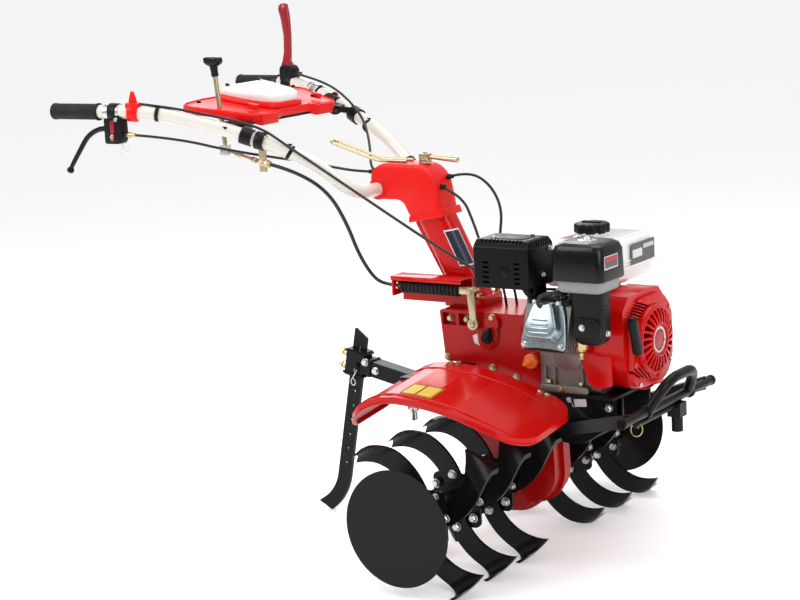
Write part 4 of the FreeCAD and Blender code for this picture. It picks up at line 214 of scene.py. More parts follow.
def dust_group():
    """Thin settled dust: strongest on faces that look up, broken by noise."""
    tree, into, out = shader_group("Settled dust", [("Amount", "Float", 0.5)], [("Mask", "Float")])
    place = tree.nodes.new("ShaderNodeTexCoord").outputs["Object"]
    facing = tree.nodes.new("ShaderNodeSeparateXYZ")
    tree.links.new(tree.nodes.new("ShaderNodeNewGeometry").outputs["Normal"], facing.inputs[0])
    up = spread(tree, facing.outputs["Z"], 0.1, 1.0)
    patches = spread(tree, noise(tree, place, 9.0, 5.0, 0.65), 0.42, 0.72)
    specks = spread(tree, noise(tree, place, 260.0, 2.0, 0.5), 0.55, 0.75, 0.35, 1.0)
    mask = maths(tree, "MULTIPLY", maths(tree, "MULTIPLY", up, patches), specks)
    tree.links.new(maths(tree, "MULTIPLY", mask, into.outputs["Amount"], clamp=True), out.inputs["Mask"])
    return tree


def shade_group():
    """Slow drift of a colour over a large surface."""
    tree, into, out = shader_group("Shade", [("Colour", "Color", (1, 1, 1, 1)), ("Depth", "Float", 0.2)],
        [("Colour", "Color")])
    place = tree.nodes.new("ShaderNodeTexCoord").outputs["Object"]
    drift = spread(tree, noise(tree, place, 6.0, 3.0), 0.35, 0.65)
    dark = tree.nodes.new("ShaderNodeMix")
    dark.data_type = "RGBA"
    dark.blend_type = "MULTIPLY"
    dark.inputs[0].default_value = 1.0
    tree.links.new(into.outputs["Colour"], dark.inputs[6])
    dark.inputs[7].default_value = (0.72, 0.72, 0.74, 1)
    factor = maths(tree, "MULTIPLY", drift, into.outputs["Depth"])
    tree.links.new(blended(tree, factor, into.outputs["Colour"], dark.outputs[2]), out.inputs["Colour"])
    return tree


def scuff_group():
    """Long thin rubbing marks: a mask of bare or polished lines."""
    tree, into, out = shader_group("Scuffs", [("Amount", "Float", 0.3)], [("Mask", "Float")])
    place = tree.nodes.new("ShaderNodeTexCoord").outputs["Object"]
    turned = tree.nodes.new("ShaderNodeMapping")
    turned.inputs["Rotation"].default_value = (0.4, 0.2, 0.9)
    turned.inputs["Scale"].default_value = (14.0, 160.0, 90.0)
    tree.links.new(place, turned.inputs["Vector"])
    lines = spread(tree, noise(tree, turned.outputs["Vector"], 1.0, 4.0, 0.7), 0.64, 0.70)
    where = spread(tree, noise(tree, place, 16.0, 2.0), 0.5, 0.62)
    mask = maths(tree, "MULTIPLY", lines, where)
    tree.links.new(maths(tree, "MULTIPLY", mask, into.outputs["Amount"], clamp=True), out.inputs["Mask"])
    return tree


GROUPS = {}


def group(tree, name, **values):
    """One of the shared groups placed in a material with its own values."""
    if name not in GROUPS:
        GROUPS[name] = {"grain": grain_group, "dust": dust_group, "shade": shade_group,
            "scuff": scuff_group}[name]()
    made = tree.nodes.new("ShaderNodeGroup")
    made.node_tree = GROUPS[name]
    for label, value in values.items():
        made.inputs[label.replace("_", " ")].default_value = value
    return made.outputs


DUST = (0.42, 0.36, 0.29, 1)


def finish(name, colour, rough=0.35, metal=0.0, coat=0.0, grain=500.0, coarse=0.3, bump=0.1, bump_deep=0.0004,
        spread_rough=0.08, dust=0.25, depth=0.25, scuff=0.0, under=(0.35, 0.34, 0.33, 1), specular=0.5):
    """Procedural material: a colour that drifts, dust, rubbing marks, grain in roughness and bump."""
    made = bpy.data.materials.new(name)
    made.use_nodes = True
    made.diffuse_color = colour
    tree = made.node_tree
    shader = tree.nodes["Principled BSDF"]
    wear = bpy.context.scene.tiller_finish.wear
    base = group(tree, "shade", Colour=colour, Depth=depth)["Colour"]
    if scuff:
        base = blended(tree, group(tree, "scuff", Amount=scuff * wear * 2)["Mask"], base, under)
    settled = group(tree, "dust", Amount=dust * wear * 2)["Mask"]
    base = blended(tree, settled, base, DUST)
    tree.links.new(base, shader.inputs["Base Color"])
    surface = group(tree, "grain", Scale=grain, Coarse=coarse)
    polish = spread(tree, surface["Mask"], 0.0, 1.0, max(rough - spread_rough, 0.02), rough + spread_rough)
    polish = maths(tree, "ADD", polish, maths(tree, "MULTIPLY", settled, 0.5), clamp=True)
    tree.links.new(polish, shader.inputs["Roughness"])
    relief = tree.nodes.new("ShaderNodeBump")
    relief.inputs["Strength"].default_value = bump
    relief.inputs["Distance"].default_value = bump_deep
    tree.links.new(surface["Height"], relief.inputs["Height"])
    tree.links.new(relief.outputs["Normal"], shader.inputs["Normal"])
    shader.inputs["Metallic"].default_value = metal
    shader.inputs["Coat Weight"].default_value = coat
    shader.inputs["Coat Roughness"].default_value = 0.08
    shader.inputs["Specular IOR Level"].default_value = specular
    return made


def make_labels():
    """Plain colours of the blank labels and of small plastic parts."""
    return {"label_yellow": finish("label_yellow", (0.72, 0.46, 0.015, 1), 0.4, grain=700, bump=0.04, dust=0.03),
        # shadow_black: painted shade, a near-black with almost no shine for sheets set in openings where only shade
        # would be
        "shadow_black": finish("shadow_black", (0.0012, 0.0012, 0.0012, 1), 0.9, grain=300, bump=0.02, dust=0.0,
        specular=0.02), "label_dark": finish("label_dark", (0.05, 0.04, 0.02, 1), 0.4, grain=700, bump=0.04,
        dust=0.1), "label_silver": finish("label_silver", (0.60, 0.60, 0.60, 1), 0.32, metal=0.4, grain=700,
        bump=0.04, dust=0.1), "label_white": finish("label_white", (0.75, 0.74, 0.72, 1), 0.35, grain=700,
        bump=0.04, dust=0.1), "label_grey": finish("label_grey", (0.085, 0.080, 0.085, 1), 0.35, grain=700,
        bump=0.04, dust=0.1), "label_red": finish("label_red", (0.42, 0.03, 0.03, 1), 0.35, grain=700, bump=0.04,
        dust=0.1), "label_blue": finish("label_blue", (0.010, 0.014, 0.035, 1), 0.35, grain=700, bump=0.04,
        dust=0.1), "label_pink": finish("label_pink", (0.72, 0.30, 0.30, 1), 0.35, grain=700, bump=0.04, dust=0.1),
        "grey_plastic": finish("grey_plastic", (0.26, 0.26, 0.27, 1), 0.45, grain=900, bump=0.2, dust=0.12),
        "orange_cap": finish("orange_cap", (0.85, 0.16, 0.015, 1), 0.35, coat=0.1, grain=700, bump=0.08, dust=0.08),
        "cover_alloy": finish("cover_alloy", (0.36, 0.43, 0.45, 1), 0.30, metal=0.95, grain=500, coarse=0.6,
        bump=0.06, dust=0.03, depth=0.2), "heat_brown": finish("heat_brown", (0.10, 0.035, 0.025, 1), 0.55,
        metal=0.5, grain=300, coarse=1.0, bump=0.3, dust=0.05, depth=0.5),}


def make_finishes():
    """Every finish of the machine by its slot name."""
    colours = bpy.context.scene.tiller_finish
    red, cream, white, black = (tuple(c) for c in (colours.red, colours.cream, colours.white, colours.black))
    # Painted shade: the cast gearbox parts get a darker copy of the red paint.
    shaded_red = (red[0] * 0.72, red[1] * 0.9, red[2] * 0.9, 1)
    made = {"red_paint": finish("red_paint", red, 0.22, coat=0.12, grain=260, bump=0.015, spread_rough=0.03,
        dust=0.005, scuff=0.03, depth=0.15, specular=0.20),
        # red_cast_paint: the red paint darkened as painted shade, with a coarser cast grain and bump
        "red_cast_paint": finish("red_cast_paint", shaded_red, 0.28, coat=0.1, grain=420, coarse=0.9, bump=0.05,
        bump_deep=0.0006, spread_rough=0.04, dust=0.008, scuff=0.03, specular=0.20),
        "red_plastic": finish("red_plastic", (red[0] * 1.35, red[1] * 2, red[2] * 2, 1), 0.38, grain=700, bump=0.03,
        spread_rough=0.04, dust=0.01, depth=0.10, specular=0.25),
        "dark_red_lever": finish("dark_red_lever", (0.30, 0.006, 0.010, 1), 0.30, coat=0.2, grain=600, bump=0.08,
        dust=0.05), "black_paint": finish("black_paint", black, 0.33, coat=0.03, grain=380, coarse=0.6, bump=0.10,
        dust=0.004, scuff=0.08, under=(0.04, 0.04, 0.04, 1), specular=0.15),
        "black_blade": finish("black_blade", (0.004, 0.004, 0.0045, 1), 0.30, grain=300, coarse=1.2, bump=0.12,
        bump_deep=0.0006, dust=0.01, scuff=0.15, under=(0.04, 0.04, 0.04, 1), specular=0.18),
        "cream_paint": finish("cream_paint", cream, 0.22, coat=0.4, grain=240, bump=0.02, dust=0.06, scuff=0.05,
        depth=0.12), "black_plastic": finish("black_plastic", (0.005, 0.005, 0.0055, 1), 0.42, grain=900, bump=0.12,
        dust=0.006, specular=0.20), "gloss_black": finish("gloss_black", (0.005, 0.005, 0.0055, 1), 0.24, coat=0.05,
        grain=500, bump=0.03, dust=0.005, specular=0.25),
        "white_plastic": finish("white_plastic", white, 0.28, coat=0.2, grain=700, bump=0.05, dust=0.10,
        depth=0.08), "tank_white": finish("tank_white", white, 0.20, coat=0.5, grain=240, bump=0.05, dust=0.10,
        depth=0.08), "rubber_grip": finish("rubber_grip", (0.008, 0.008, 0.0085, 1), 0.60, grain=1100, bump=0.25,
        dust=0.04, specular=0.35), "cable_black": finish("cable_black", (0.007, 0.007, 0.0075, 1), 0.42, grain=900,
        bump=0.08, dust=0.02), "cast_aluminium": finish("cast_aluminium", (0.235, 0.225, 0.21, 1), 0.42, metal=0.7,
        grain=700, coarse=0.8, bump=0.3, bump_deep=0.0006, dust=0.08, depth=0.4),
        "bright_steel": finish("bright_steel", (0.62, 0.62, 0.61, 1), 0.28, metal=1.0, grain=600, bump=0.10,
        dust=0.05, depth=0.2), "zinc_yellow": finish("zinc_yellow", (0.55, 0.45, 0.28, 1), 0.34, metal=1.0,
        grain=90, coarse=1.0, bump=0.08, dust=0.06, depth=0.5),
        "brass": finish("brass", (0.58, 0.42, 0.21, 1), 0.30, metal=1.0, grain=300, bump=0.08, dust=0.05,
        depth=0.3), "muffler_black": finish("muffler_black", (0.0025, 0.0025, 0.003, 1), 0.34, grain=600, bump=0.1,
        dust=0.004, scuff=0.06, under=(0.03, 0.028, 0.025, 1), specular=0.16),}
    return made


FINISH = {}


def dress_nodes():
    """Gives every CAD part the finish of its slot."""
    for label, thing in frame["nodes"].items():
        if label in SLOT_OF:
            thing.data.materials.clear()
            thing.data.materials.append(FINISH[SLOT_OF[label]])


# ---------------------------------------------------------------- camera, light and floor

def view_turn(view):
    """Camera's turn in the machine's own frame."""
    back = Vector((math.sin(view.azimuth) * math.cos(view.elevation),
        -math.cos(view.azimuth) * math.cos(view.elevation), math.sin(view.elevation)))
    level = Vector((math.cos(view.azimuth), math.sin(view.azimuth), 0))
    upward = back.cross(level)
    right = level * math.cos(view.roll) + upward * math.sin(view.roll)
    return Matrix((right, back.cross(right), back)).transposed()


CAMERA_SPOT = (2243.0, -3671.0, 1219.4)


def light_sky(tree, strength):
    """Sky that is white to the eye, bright overhead and dim near the ground on the camera's side."""
    back = tree.nodes["Background"]
    place = tree.nodes.new("ShaderNodeTexCoord")
    split = tree.nodes.new("ShaderNodeSeparateXYZ")
    tree.links.new(place.outputs["Generated"], split.inputs[0])
    lift = maths(tree, "ADD", split.outputs["Z"], maths(tree, "MULTIPLY", split.outputs["Y"], 0.35))
    glow = spread(tree, lift, -0.2, 0.7, 0.25 * strength, 1.5 * strength)
    path = tree.nodes.new("ShaderNodeLightPath")
    seen = tree.nodes.new("ShaderNodeMix")
    seen.data_type = "FLOAT"
    tree.links.new(path.outputs["Is Camera Ray"], seen.inputs[0])
    tree.links.new(glow, seen.inputs[2])
    seen.inputs[3].default_value = 1.0
    back.inputs["Color"].default_value = (1.0, 1.0, 1.0, 1)
    tree.links.new(seen.outputs[0], back.inputs["Strength"])


def make_stage():
    """Camera, four softboxes, a pale sky and a plain pale floor."""
    view = bpy.context.scene.tiller_view
    lens = bpy.data.cameras.new("camera")
    lens.sensor_width = 36
    lens.lens = view.lens
    lens.clip_end = 60
    camera = bpy.data.objects.new("camera", lens)
    camera.matrix_world = (Matrix.Translation(at(*CAMERA_SPOT)) @ Matrix.Rotation(STANCE, 4, "Y")
        @ view_turn(view).to_4x4())
    bpy.context.collection.objects.link(camera)
    bpy.context.scene.camera = camera

    low, high = CAD_BOX
    middle = (Vector(low) + Vector(high)) / 2
    lamps = [("softbox_key", (-1.6, -2.6, 2.9), 2.4, view.key),
        ("softbox_side", (3.0, -1.4, 1.9), 1.8, view.key * 0.45),
        ("softbox_top", (0.3, 0.6, 3.2), 2.6, view.key * 0.55),
        ("softbox_back", (-2.0, 2.6, 2.0), 2.0, view.key * 0.35),]
    for label, spot, wide, power in lamps:
        lamp = bpy.data.lights.new(label, "AREA")
        lamp.shape = "DISK"
        lamp.size = wide
        lamp.energy = power
        thing = bpy.data.objects.new(label, lamp)
        thing.location = spot
        thing.rotation_euler = (middle - Vector(spot)).to_track_quat("-Z", "Y").to_euler()
        bpy.context.collection.objects.link(thing)
    sky = bpy.data.worlds.new("pale_sky")
    sky.use_nodes = True
    light_sky(sky.node_tree, view.sky)
    bpy.context.scene.world = sky
    bpy.context.scene.view_settings.view_transform = "Standard"

    floor = bpy.data.meshes.new("floor")
    reach = 30
    floor.from_pydata([(-reach, -reach, 0), (reach, -reach, 0), (reach, reach, 0), (-reach, reach, 0)], [],
        [(0, 1, 2, 3)])
    ground = bpy.data.objects.new("floor", floor)
    paper = finish("floor_paper", (0.92, 0.92, 0.92, 1), 0.7, grain=60, bump=0.03, dust=0.0, depth=0.03)
    paper.node_tree.nodes["Principled BSDF"].inputs["Emission Color"].default_value = (1, 1, 1, 1)
    paper.node_tree.nodes["Principled BSDF"].inputs["Emission Strength"].default_value = view.floor_glow
    floor.materials.append(paper)
    bpy.context.collection.objects.link(ground)


# ---------------------------------------------------------------- cables

CABLE_ROUTES = {"throttle_cable": ("thin",
    [(-736.0, -301.4, 821.2), (-672.0, -268.0, 810.0), (-588.0, -233.0, 789.5), (-492.0, -195.0, 763.8),
    (-430.0, -186.0, 724.0), (4.0, -119.0, 452.0), (92.0, -100.0, 424.0), (172.0, -94.0, 430.0),
    (226.0, -113.0, 430.3), (262.0, -121.0, 420.3), (262.0, -121.0, 382.3)]),
    "shift_cable": ("thick", [(-472.4, -189.5, 681.0), (-415.2, -178.1, 666.7), (-345.0, -158.0, 622.0),
    (-316.0, -136.0, 550.0), (-306.0, -112.0, 478.0), (-286.0, -86.0, 421.0), (-258.3, -75.0, 409.0),
    (-234.3, -75.0, 409.0)]),
    "clutch_cable": ("thin", [(-768.0, 313.5, 828.1), (-700.0, 281.5, 822.1), (-605.0, 240.0, 804.6),
    (-521.0, 186.2, 777.1), (-452.0, 140.0, 742.0), (-392.0, 74.0, 696.0), (-354.3, 18.0, 648.0),
    (-331.3, 14.0, 646.0), (-322.3, 14.0, 646.0)]),
    "brake_cable": ("thin", [(-765.7, -321.3, 755.6), (-722.0, -321.3, 755.6), (-650.0, -250.0, 736.0),
    (-590.0, -214.0, 716.0), (-520.0, -170.0, 698.0), (-436.0, -104.0, 676.0), (-376.0, -40.0, 652.0),
    (-344.3, -14.0, 646.0), (-322.3, -14.0, 646.0)]),
    "head_cable_left": ("thin", [(-149.7, 18.0, 636.0), (-104.0, 27.0, 648.0), (-56.0, 34.0, 622.0),
    (-28.0, 36.0, 568.0), (-36.0, 30.0, 500.0), (-22.0, 24.0, 446.0), (4.0, 20.0, 406.0), (8.0, 20.0, 365.3)]),
    "head_cable_right": ("thin", [(-146.7, -14.0, 618.0), (-98.0, -12.0, 600.0), (-74.0, -10.0, 544.0),
    (-56.0, -8.0, 488.0), (-22.0, -6.0, 436.0), (-6.0, -6.0, 402.0), (-2.0, -6.0, 365.3)]),}


def tube_curve(label, routes, radius):
    """Round sheath along smooth splines through routes in metres."""
    shape = bpy.data.curves.new(label, "CURVE")
    shape.dimensions = "3D"
    shape.bevel_depth = radius
    shape.bevel_resolution = 3
    shape.use_fill_caps = True
    shape.resolution_u = 10
    for route in routes:
        line = shape.splines.new("NURBS")
        line.points.add(len(route) - 1)
        for point, spot in zip(line.points, route):
            point.co = (*spot, 1)
        line.order_u = 3
        line.use_endpoint_u = True
    return baked(bpy.data.objects.new(label, shape))


def baked(thing):
    """Plain mesh object in place of one made by a curve or by modifiers."""
    bpy.context.collection.objects.link(thing)
    bpy.context.view_layer.update()
    solid = thing.evaluated_get(bpy.context.evaluated_depsgraph_get())
    mesh = bpy.data.meshes.new_from_object(solid)
    label = thing.name
    bpy.data.objects.remove(thing)
    mesh.name = label
    made = bpy.data.objects.new(label, mesh)
    bpy.context.collection.objects.link(made)
    for face in mesh.polygons:
        face.use_smooth = True
    return made


def make_cables():
    """Sheathed cables from the handlebar and the head to the machine."""
    sizes = bpy.context.scene.tiller_cables
    for label, (sort, route) in CABLE_ROUTES.items():
        if label.startswith("head_cable"):
            continue
        cable = tube_curve(label + "_sheath", [[at(*p) for p in route]], getattr(sizes, sort))
        cable.data.materials.append(FINISH["cable_black"])
        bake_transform(cable)
        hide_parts(label)
    routes = [[at(*p) for p in CABLE_ROUTES[name][1]] for name in ("head_cable_left", "head_cable_right")]
    cables = tube_curve("head_cables_sheath", routes, sizes.thin)
    cables.data.materials.append(FINISH["cable_black"])
    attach(cables, "chassis")
    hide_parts("head_cables")


# ---------------------------------------------------------------- shaping

def unit(way):
    """Direction of length one."""
    return Vector(way).normalized()


def frame_of(way):
    """Two directions square to a direction and to each other."""
    along = unit(way)
    side = along.cross(Vector((0, 0, 1)) if abs(along.z) < 0.9 else Vector((1, 0, 0))).normalized()
    return side, along.cross(side).normalized()


class Workpiece:
    """Mesh in the making, in millimetres from the middle of the tine axle."""

    def __init__(self):
        self.mesh = bmesh.new()
        self.paint = 0

    def rings(self, rings, closed=False, caps=True):
        """Skin over rings of points that all have as many points."""
        rows = [[self.mesh.verts.new(p) for p in ring] for ring in rings]
        count = len(rows[0])
        pairs = list(zip(rows, rows[1:] + rows[:1])) if closed else list(zip(rows, rows[1:]))
        for low, high in pairs:
            for i in range(count):
                j = (i + 1) % count
                self.face((low[i], low[j], high[j], high[i]))
        if caps and not closed:
            self.face(tuple(reversed(rows[0])))
            self.face(tuple(rows[-1]))
        return self

    def slab(self, axis, outline, levels):
        """Flat outline square to an axis, skinned from level to level along that axis."""
        spot = "xyz".index(axis)
        return self.rings([[(*p[:spot], level, *p[spot:]) for p in outline] for level in levels])

    def face(self, corners):
        """Face in the colour slot in hand."""
        made = self.mesh.faces.new(corners)
        made.material_index = self.paint

    def block(self, low, high, turn=None, about=(0, 0, 0)):
        """Box between two corners, turned about a point if asked."""
        (a, b, c), (d, e, f) = low, high
        ring = [(a, b), (d, b), (d, e), (a, e)]
        rows = [[Vector((x, y, z)) for x, y in ring] for z in (c, f)]
        if turn is not None:
            rows = [[turn @ (p - Vector(about)) + Vector(about) for p in row] for row in rows]
        return self.rings(rows)

    def prism(self, outline, origin, across, upward, thick):
        """Flat outline in a plane, given its thickness along the plane's normal."""
        u, v = unit(across), unit(upward)
        out = u.cross(v)
        foot = Vector(origin)
        return self.rings([[foot + u * x + v * y + out * depth for x, y in outline] for depth in (0, thick)])

    def turned(self, foot, way, profile, sides=32, start=0.0):
        """Turned shape: (radius, height) steps along a direction."""
        side, up = frame_of(way)
        along = unit(way)
        rows = []
        for radius, height in profile:
            radius = max(radius, 0.02)
            rows.append([Vector(foot) + along * height + (side * math.cos(a) + up * math.sin(a)) * radius
                for a in (start + 2 * math.pi * i / sides for i in range(sides))])
        return self.rings(rows)

    def wire(self, points, radius, sides=12, steps=6):
        """Round bar or wire along a smooth line through a few points."""
        return self.sweep(smooth_line(points, steps), radius, sides)

    def sweep(self, points, radius, sides=12, flat=1.0, closed=False):
        """Round bar or wire through points; radius may be one number or one for each point."""
        points = [Vector(p) for p in points]
        count = len(points)
        radii = radius if isinstance(radius, (list, tuple)) else [radius] * count
        side, _ = frame_of(points[1] - points[0])
        rows = []
        for i, point in enumerate(points):
            before, after = points[i - 1 if i or closed else 0], points[(i + 1) % count if closed
                else min(i + 1, count - 1)]
            along = (after - before).normalized()
            side = (side - along * side.dot(along)).normalized()
            up = along.cross(side)
            rows.append([point + (side * math.cos(a) + up * math.sin(a) * flat) * radii[i]
                for a in (2 * math.pi * k / sides for k in range(sides))])
        return self.rings(rows, closed=closed)


def rounded(wide, tall, radius, steps=5, middle=(0, 0)):
    """Outline of a rectangle with rounded corners."""
    radius = min(radius, wide / 2 - 0.01, tall / 2 - 0.01)
    points = []
    for sx, sy, first in ((1, 1, 0), (-1, 1, 90), (-1, -1, 180), (1, -1, 270)):
        for step in range(steps + 1):
            angle = math.radians(first + 90 * step / steps)
            points.append((middle[0] + sx * (wide / 2 - radius) + radius * math.cos(angle),
                middle[1] + sy * (tall / 2 - radius) + radius * math.sin(angle)))
    return points


def softened(corners, radius, steps=4):
    """Outline with each corner of a polygon rounded."""
    points = []
    count = len(corners)
    for i, corner in enumerate(corners):
        here = Vector(corner).to_3d()
        back = Vector(corners[i - 1]).to_3d() - here
        ahead = Vector(corners[(i + 1) % count]).to_3d() - here
        reach = min(radius, back.length / 2.2, ahead.length / 2.2)
        a, b = here + back.normalized() * reach, here + ahead.normalized() * reach
        for step in range(steps + 1):
            t = step / steps
            spot = a * (1 - t) ** 2 + here * 2 * t * (1 - t) + b * t ** 2
            points.append((spot.x, spot.y))
    return points


def smooth_line(points, steps=6):
    """Points of a smooth line through given points."""
    points = [Vector(p) for p in points]
    ends = [points[0] * 2 - points[1]] + points + [points[-1] * 2 - points[-2]]
    line = []
    for a, b, c, d in zip(ends, ends[1:], ends[2:], ends[3:]):
        for step in range(steps):
            t = step / steps
            line.append(0.5 * (2 * b + (c - a) * t + (2 * a - 5 * b + 4 * c - d) * t * t
                + (3 * b - a - 3 * c + d) * t ** 3))
    return line + [points[-1]]


def linked(thing):
    """Object put into the scene."""
    bpy.context.collection.objects.link(thing)
    return thing


def plain(thing):
    """Object whose modifiers are turned into a plain mesh."""
    bpy.context.view_layer.update()
    mesh = bpy.data.meshes.new_from_object(thing.evaluated_get(bpy.context.evaluated_depsgraph_get()))
    thing.modifiers.clear()
    thing.data = mesh
    return thing


def seated(thing, body, replaced=(), angle=40):
    """Shades a finished piece, and gives it its body, its slot and the CAD parts that it stands for."""
    for face in thing.data.polygons:
        face.use_smooth = True
    thing.data.set_sharp_from_angle(angle=math.radians(angle))
    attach(thing, body)
    if replaced:
        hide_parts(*replaced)
    return thing


def piece(name, work, body, slot, extra=(), edge=0.0, segments=2, replaced=(), angle=40, smooth=0, cuts=None):
    """Object from a workpiece, with bevelled edges."""
    mesh = bpy.data.meshes.new(name)
    bmesh.ops.remove_doubles(work.mesh, verts=work.mesh.verts, dist=0.01)
    bmesh.ops.recalc_face_normals(work.mesh, faces=work.mesh.faces)
    work.mesh.transform(MACHINE)
    work.mesh.to_mesh(mesh)
    work.mesh.free()
    for label in (slot, *extra):
        mesh.materials.append(FINISH[label])
    thing = linked(bpy.data.objects.new(name, mesh))
    if cuts:
        difference(thing, cuts)
    if edge:
        bevel = thing.modifiers.new("edges", "BEVEL")
        bevel.width = edge / 1000
        bevel.segments = segments
        bevel.limit_method = "ANGLE"
        bevel.angle_limit = math.radians(28)
    if smooth:
        soft = thing.modifiers.new("smooth", "SUBSURF")
        soft.levels = soft.render_levels = smooth
    if edge or smooth:
        plain(thing)
    return seated(thing, body, replaced, angle)


def difference(thing, cutter):
    """Cuts a workpiece's shape out of an object."""
    mesh = bpy.data.meshes.new("cutter")
    bmesh.ops.recalc_face_normals(cutter.mesh, faces=cutter.mesh.faces)
    cutter.mesh.transform(MACHINE)
    cutter.mesh.to_mesh(mesh)
    cutter.mesh.free()
    tool = linked(bpy.data.objects.new("cutter", mesh))
    carve = thing.modifiers.new("openings", "BOOLEAN")
    carve.operation = "DIFFERENCE"
    carve.solver = "EXACT"
    carve.object = tool
    plain(thing)
    bpy.data.objects.remove(tool)


# ---------------------------------------------------------------- repeated parts made by Geometry Nodes

def geometry_tree(name, inputs):
    """Empty geometry tree with named inputs: (name, kind, default)."""
    tree = bpy.data.node_groups.new(name, "GeometryNodeTree")
    tree.interface.new_socket("Geometry", in_out="INPUT", socket_type="NodeSocketGeometry")
    for label, kind, value in inputs:
        socket = tree.interface.new_socket(label, in_out="INPUT", socket_type="NodeSocket" + kind)
        if value is not None:
            socket.default_value = value
    tree.interface.new_socket("Geometry", in_out="OUTPUT", socket_type="NodeSocketGeometry")
    return tree, tree.nodes.new("NodeGroupInput").outputs, tree.nodes.new("NodeGroupOutput").inputs


def place_node(tree, kind, links=(), **values):
    """Node with some of its inputs linked or set."""
    made = tree.nodes.new(kind)
    for label, value in values.items():
        setattr(made, label, value)
    for label, source in links:
        socket = made.inputs[label]
        if isinstance(source, bpy.types.NodeSocket):
            tree.links.new(source, socket)
        else:
            socket.default_value = source
    return made


def figure(tree, operation, first, second):
    """Result of a maths node in a geometry tree."""
    made = place_node(tree, "ShaderNodeMath", [(0, first), (1, second)], operation=operation)
    return made.outputs[0]


def ending(tree, geometry, material, out):
    """Realised, with its finish set."""
    real = place_node(tree, "GeometryNodeRealizeInstances", [("Geometry", geometry)])
    dressed = place_node(tree, "GeometryNodeSetMaterial", [("Geometry", real.outputs[0]), ("Material", material)])
    tree.links.new(dressed.outputs[0], out["Geometry"])


def bolt_tree():
    """Hexagon bolt heads with washers on points, each along its point's own direction."""
    tree, into, out = geometry_tree("Bolt heads",
        [("Across", "Float", 0.013), ("Tall", "Float", 0.006), ("Washer", "Float", 0.009),
        ("Material", "Material", None), ("Seed", "Int", 7)])
    radius = figure(tree, "MULTIPLY", into["Across"], 0.5774)
    waist = figure(tree, "MULTIPLY", into["Tall"], 0.78)
    head = place_node(tree, "GeometryNodeMeshCylinder", [("Vertices", 6), ("Radius", radius), ("Depth", waist)])
    crown = place_node(tree, "GeometryNodeMeshCone",
        [("Vertices", 6), ("Radius Bottom", radius), ("Radius Top", figure(tree, "MULTIPLY", radius, 0.84)),
        ("Depth", figure(tree, "MULTIPLY", into["Tall"], 0.22))])
    disc = place_node(tree, "GeometryNodeMeshCone",
        [("Vertices", 20), ("Radius Bottom", into["Washer"]),
        ("Radius Top", figure(tree, "MULTIPLY", into["Washer"], 0.94)), ("Depth", 0.0016)])
    raise_head = place_node(tree, "ShaderNodeCombineXYZ",
        [("Z", figure(tree, "ADD", figure(tree, "MULTIPLY", waist, 0.5), 0.0016))])
    raise_crown = place_node(tree, "ShaderNodeCombineXYZ", [("Z", figure(tree, "ADD", waist, 0.0016))])
    parts = [disc.outputs["Mesh"]]
    for made, offset in ((head, raise_head), (crown, raise_crown)):
        parts.append(place_node(tree, "GeometryNodeTransform",
            [("Geometry", made.outputs["Mesh"]), ("Translation", offset.outputs[0])]).outputs[0])
    bolt = place_node(tree, "GeometryNodeJoinGeometry")
    for part in parts:
        tree.links.new(part, bolt.inputs[0])
    way = place_node(tree, "GeometryNodeInputNamedAttribute", [("Name", "way")], data_type="FLOAT_VECTOR")
    aim = place_node(tree, "FunctionNodeAlignRotationToVector", [("Vector", way.outputs[0])], axis="Z")
    spin = place_node(tree, "FunctionNodeRandomValue", [("Max", 1.0), ("Seed", into["Seed"])], data_type="FLOAT")
    own = place_node(tree, "FunctionNodeAxisAngleToRotation", [("Angle", spin.outputs[1])])
    both = place_node(tree, "FunctionNodeRotateRotation",
        [("Rotation", aim.outputs[0]), ("Rotate By", own.outputs[0])], rotation_space="LOCAL")
    copies = place_node(tree, "GeometryNodeInstanceOnPoints",
        [("Points", into["Geometry"]), ("Instance", bolt.outputs[0]), ("Rotation", both.outputs[0])])
    ending(tree, copies.outputs[0], into["Material"], out)
    return tree


def slat_tree():
    """Rounded slats on points, each along its own direction, all of one size."""
    tree, into, out = geometry_tree("Slats",
        [("Long", "Float", 0.02), ("Wide", "Float", 0.003), ("Deep", "Float", 0.003),
        ("Material", "Material", None)])
    size = place_node(tree, "ShaderNodeCombineXYZ", [("X", into["Wide"]), ("Y", into["Long"]), ("Z", into["Deep"])])
    bar = place_node(tree, "GeometryNodeMeshCube", [("Size", size.outputs[0])])
    way = place_node(tree, "GeometryNodeInputNamedAttribute", [("Name", "way")], data_type="FLOAT_VECTOR")
    run = place_node(tree, "GeometryNodeInputNamedAttribute", [("Name", "run")], data_type="FLOAT_VECTOR")
    aim = place_node(tree, "FunctionNodeAlignRotationToVector", [("Vector", way.outputs[0])], axis="Z")
    turn = place_node(tree, "FunctionNodeAlignRotationToVector",
        [("Rotation", aim.outputs[0]), ("Vector", run.outputs[0])], axis="Y", pivot_axis="Z")
    copies = place_node(tree, "GeometryNodeInstanceOnPoints",
        [("Points", into["Geometry"]), ("Instance", bar.outputs[0]), ("Rotation", turn.outputs[0])])
    ending(tree, copies.outputs[0], into["Material"], out)
    return tree


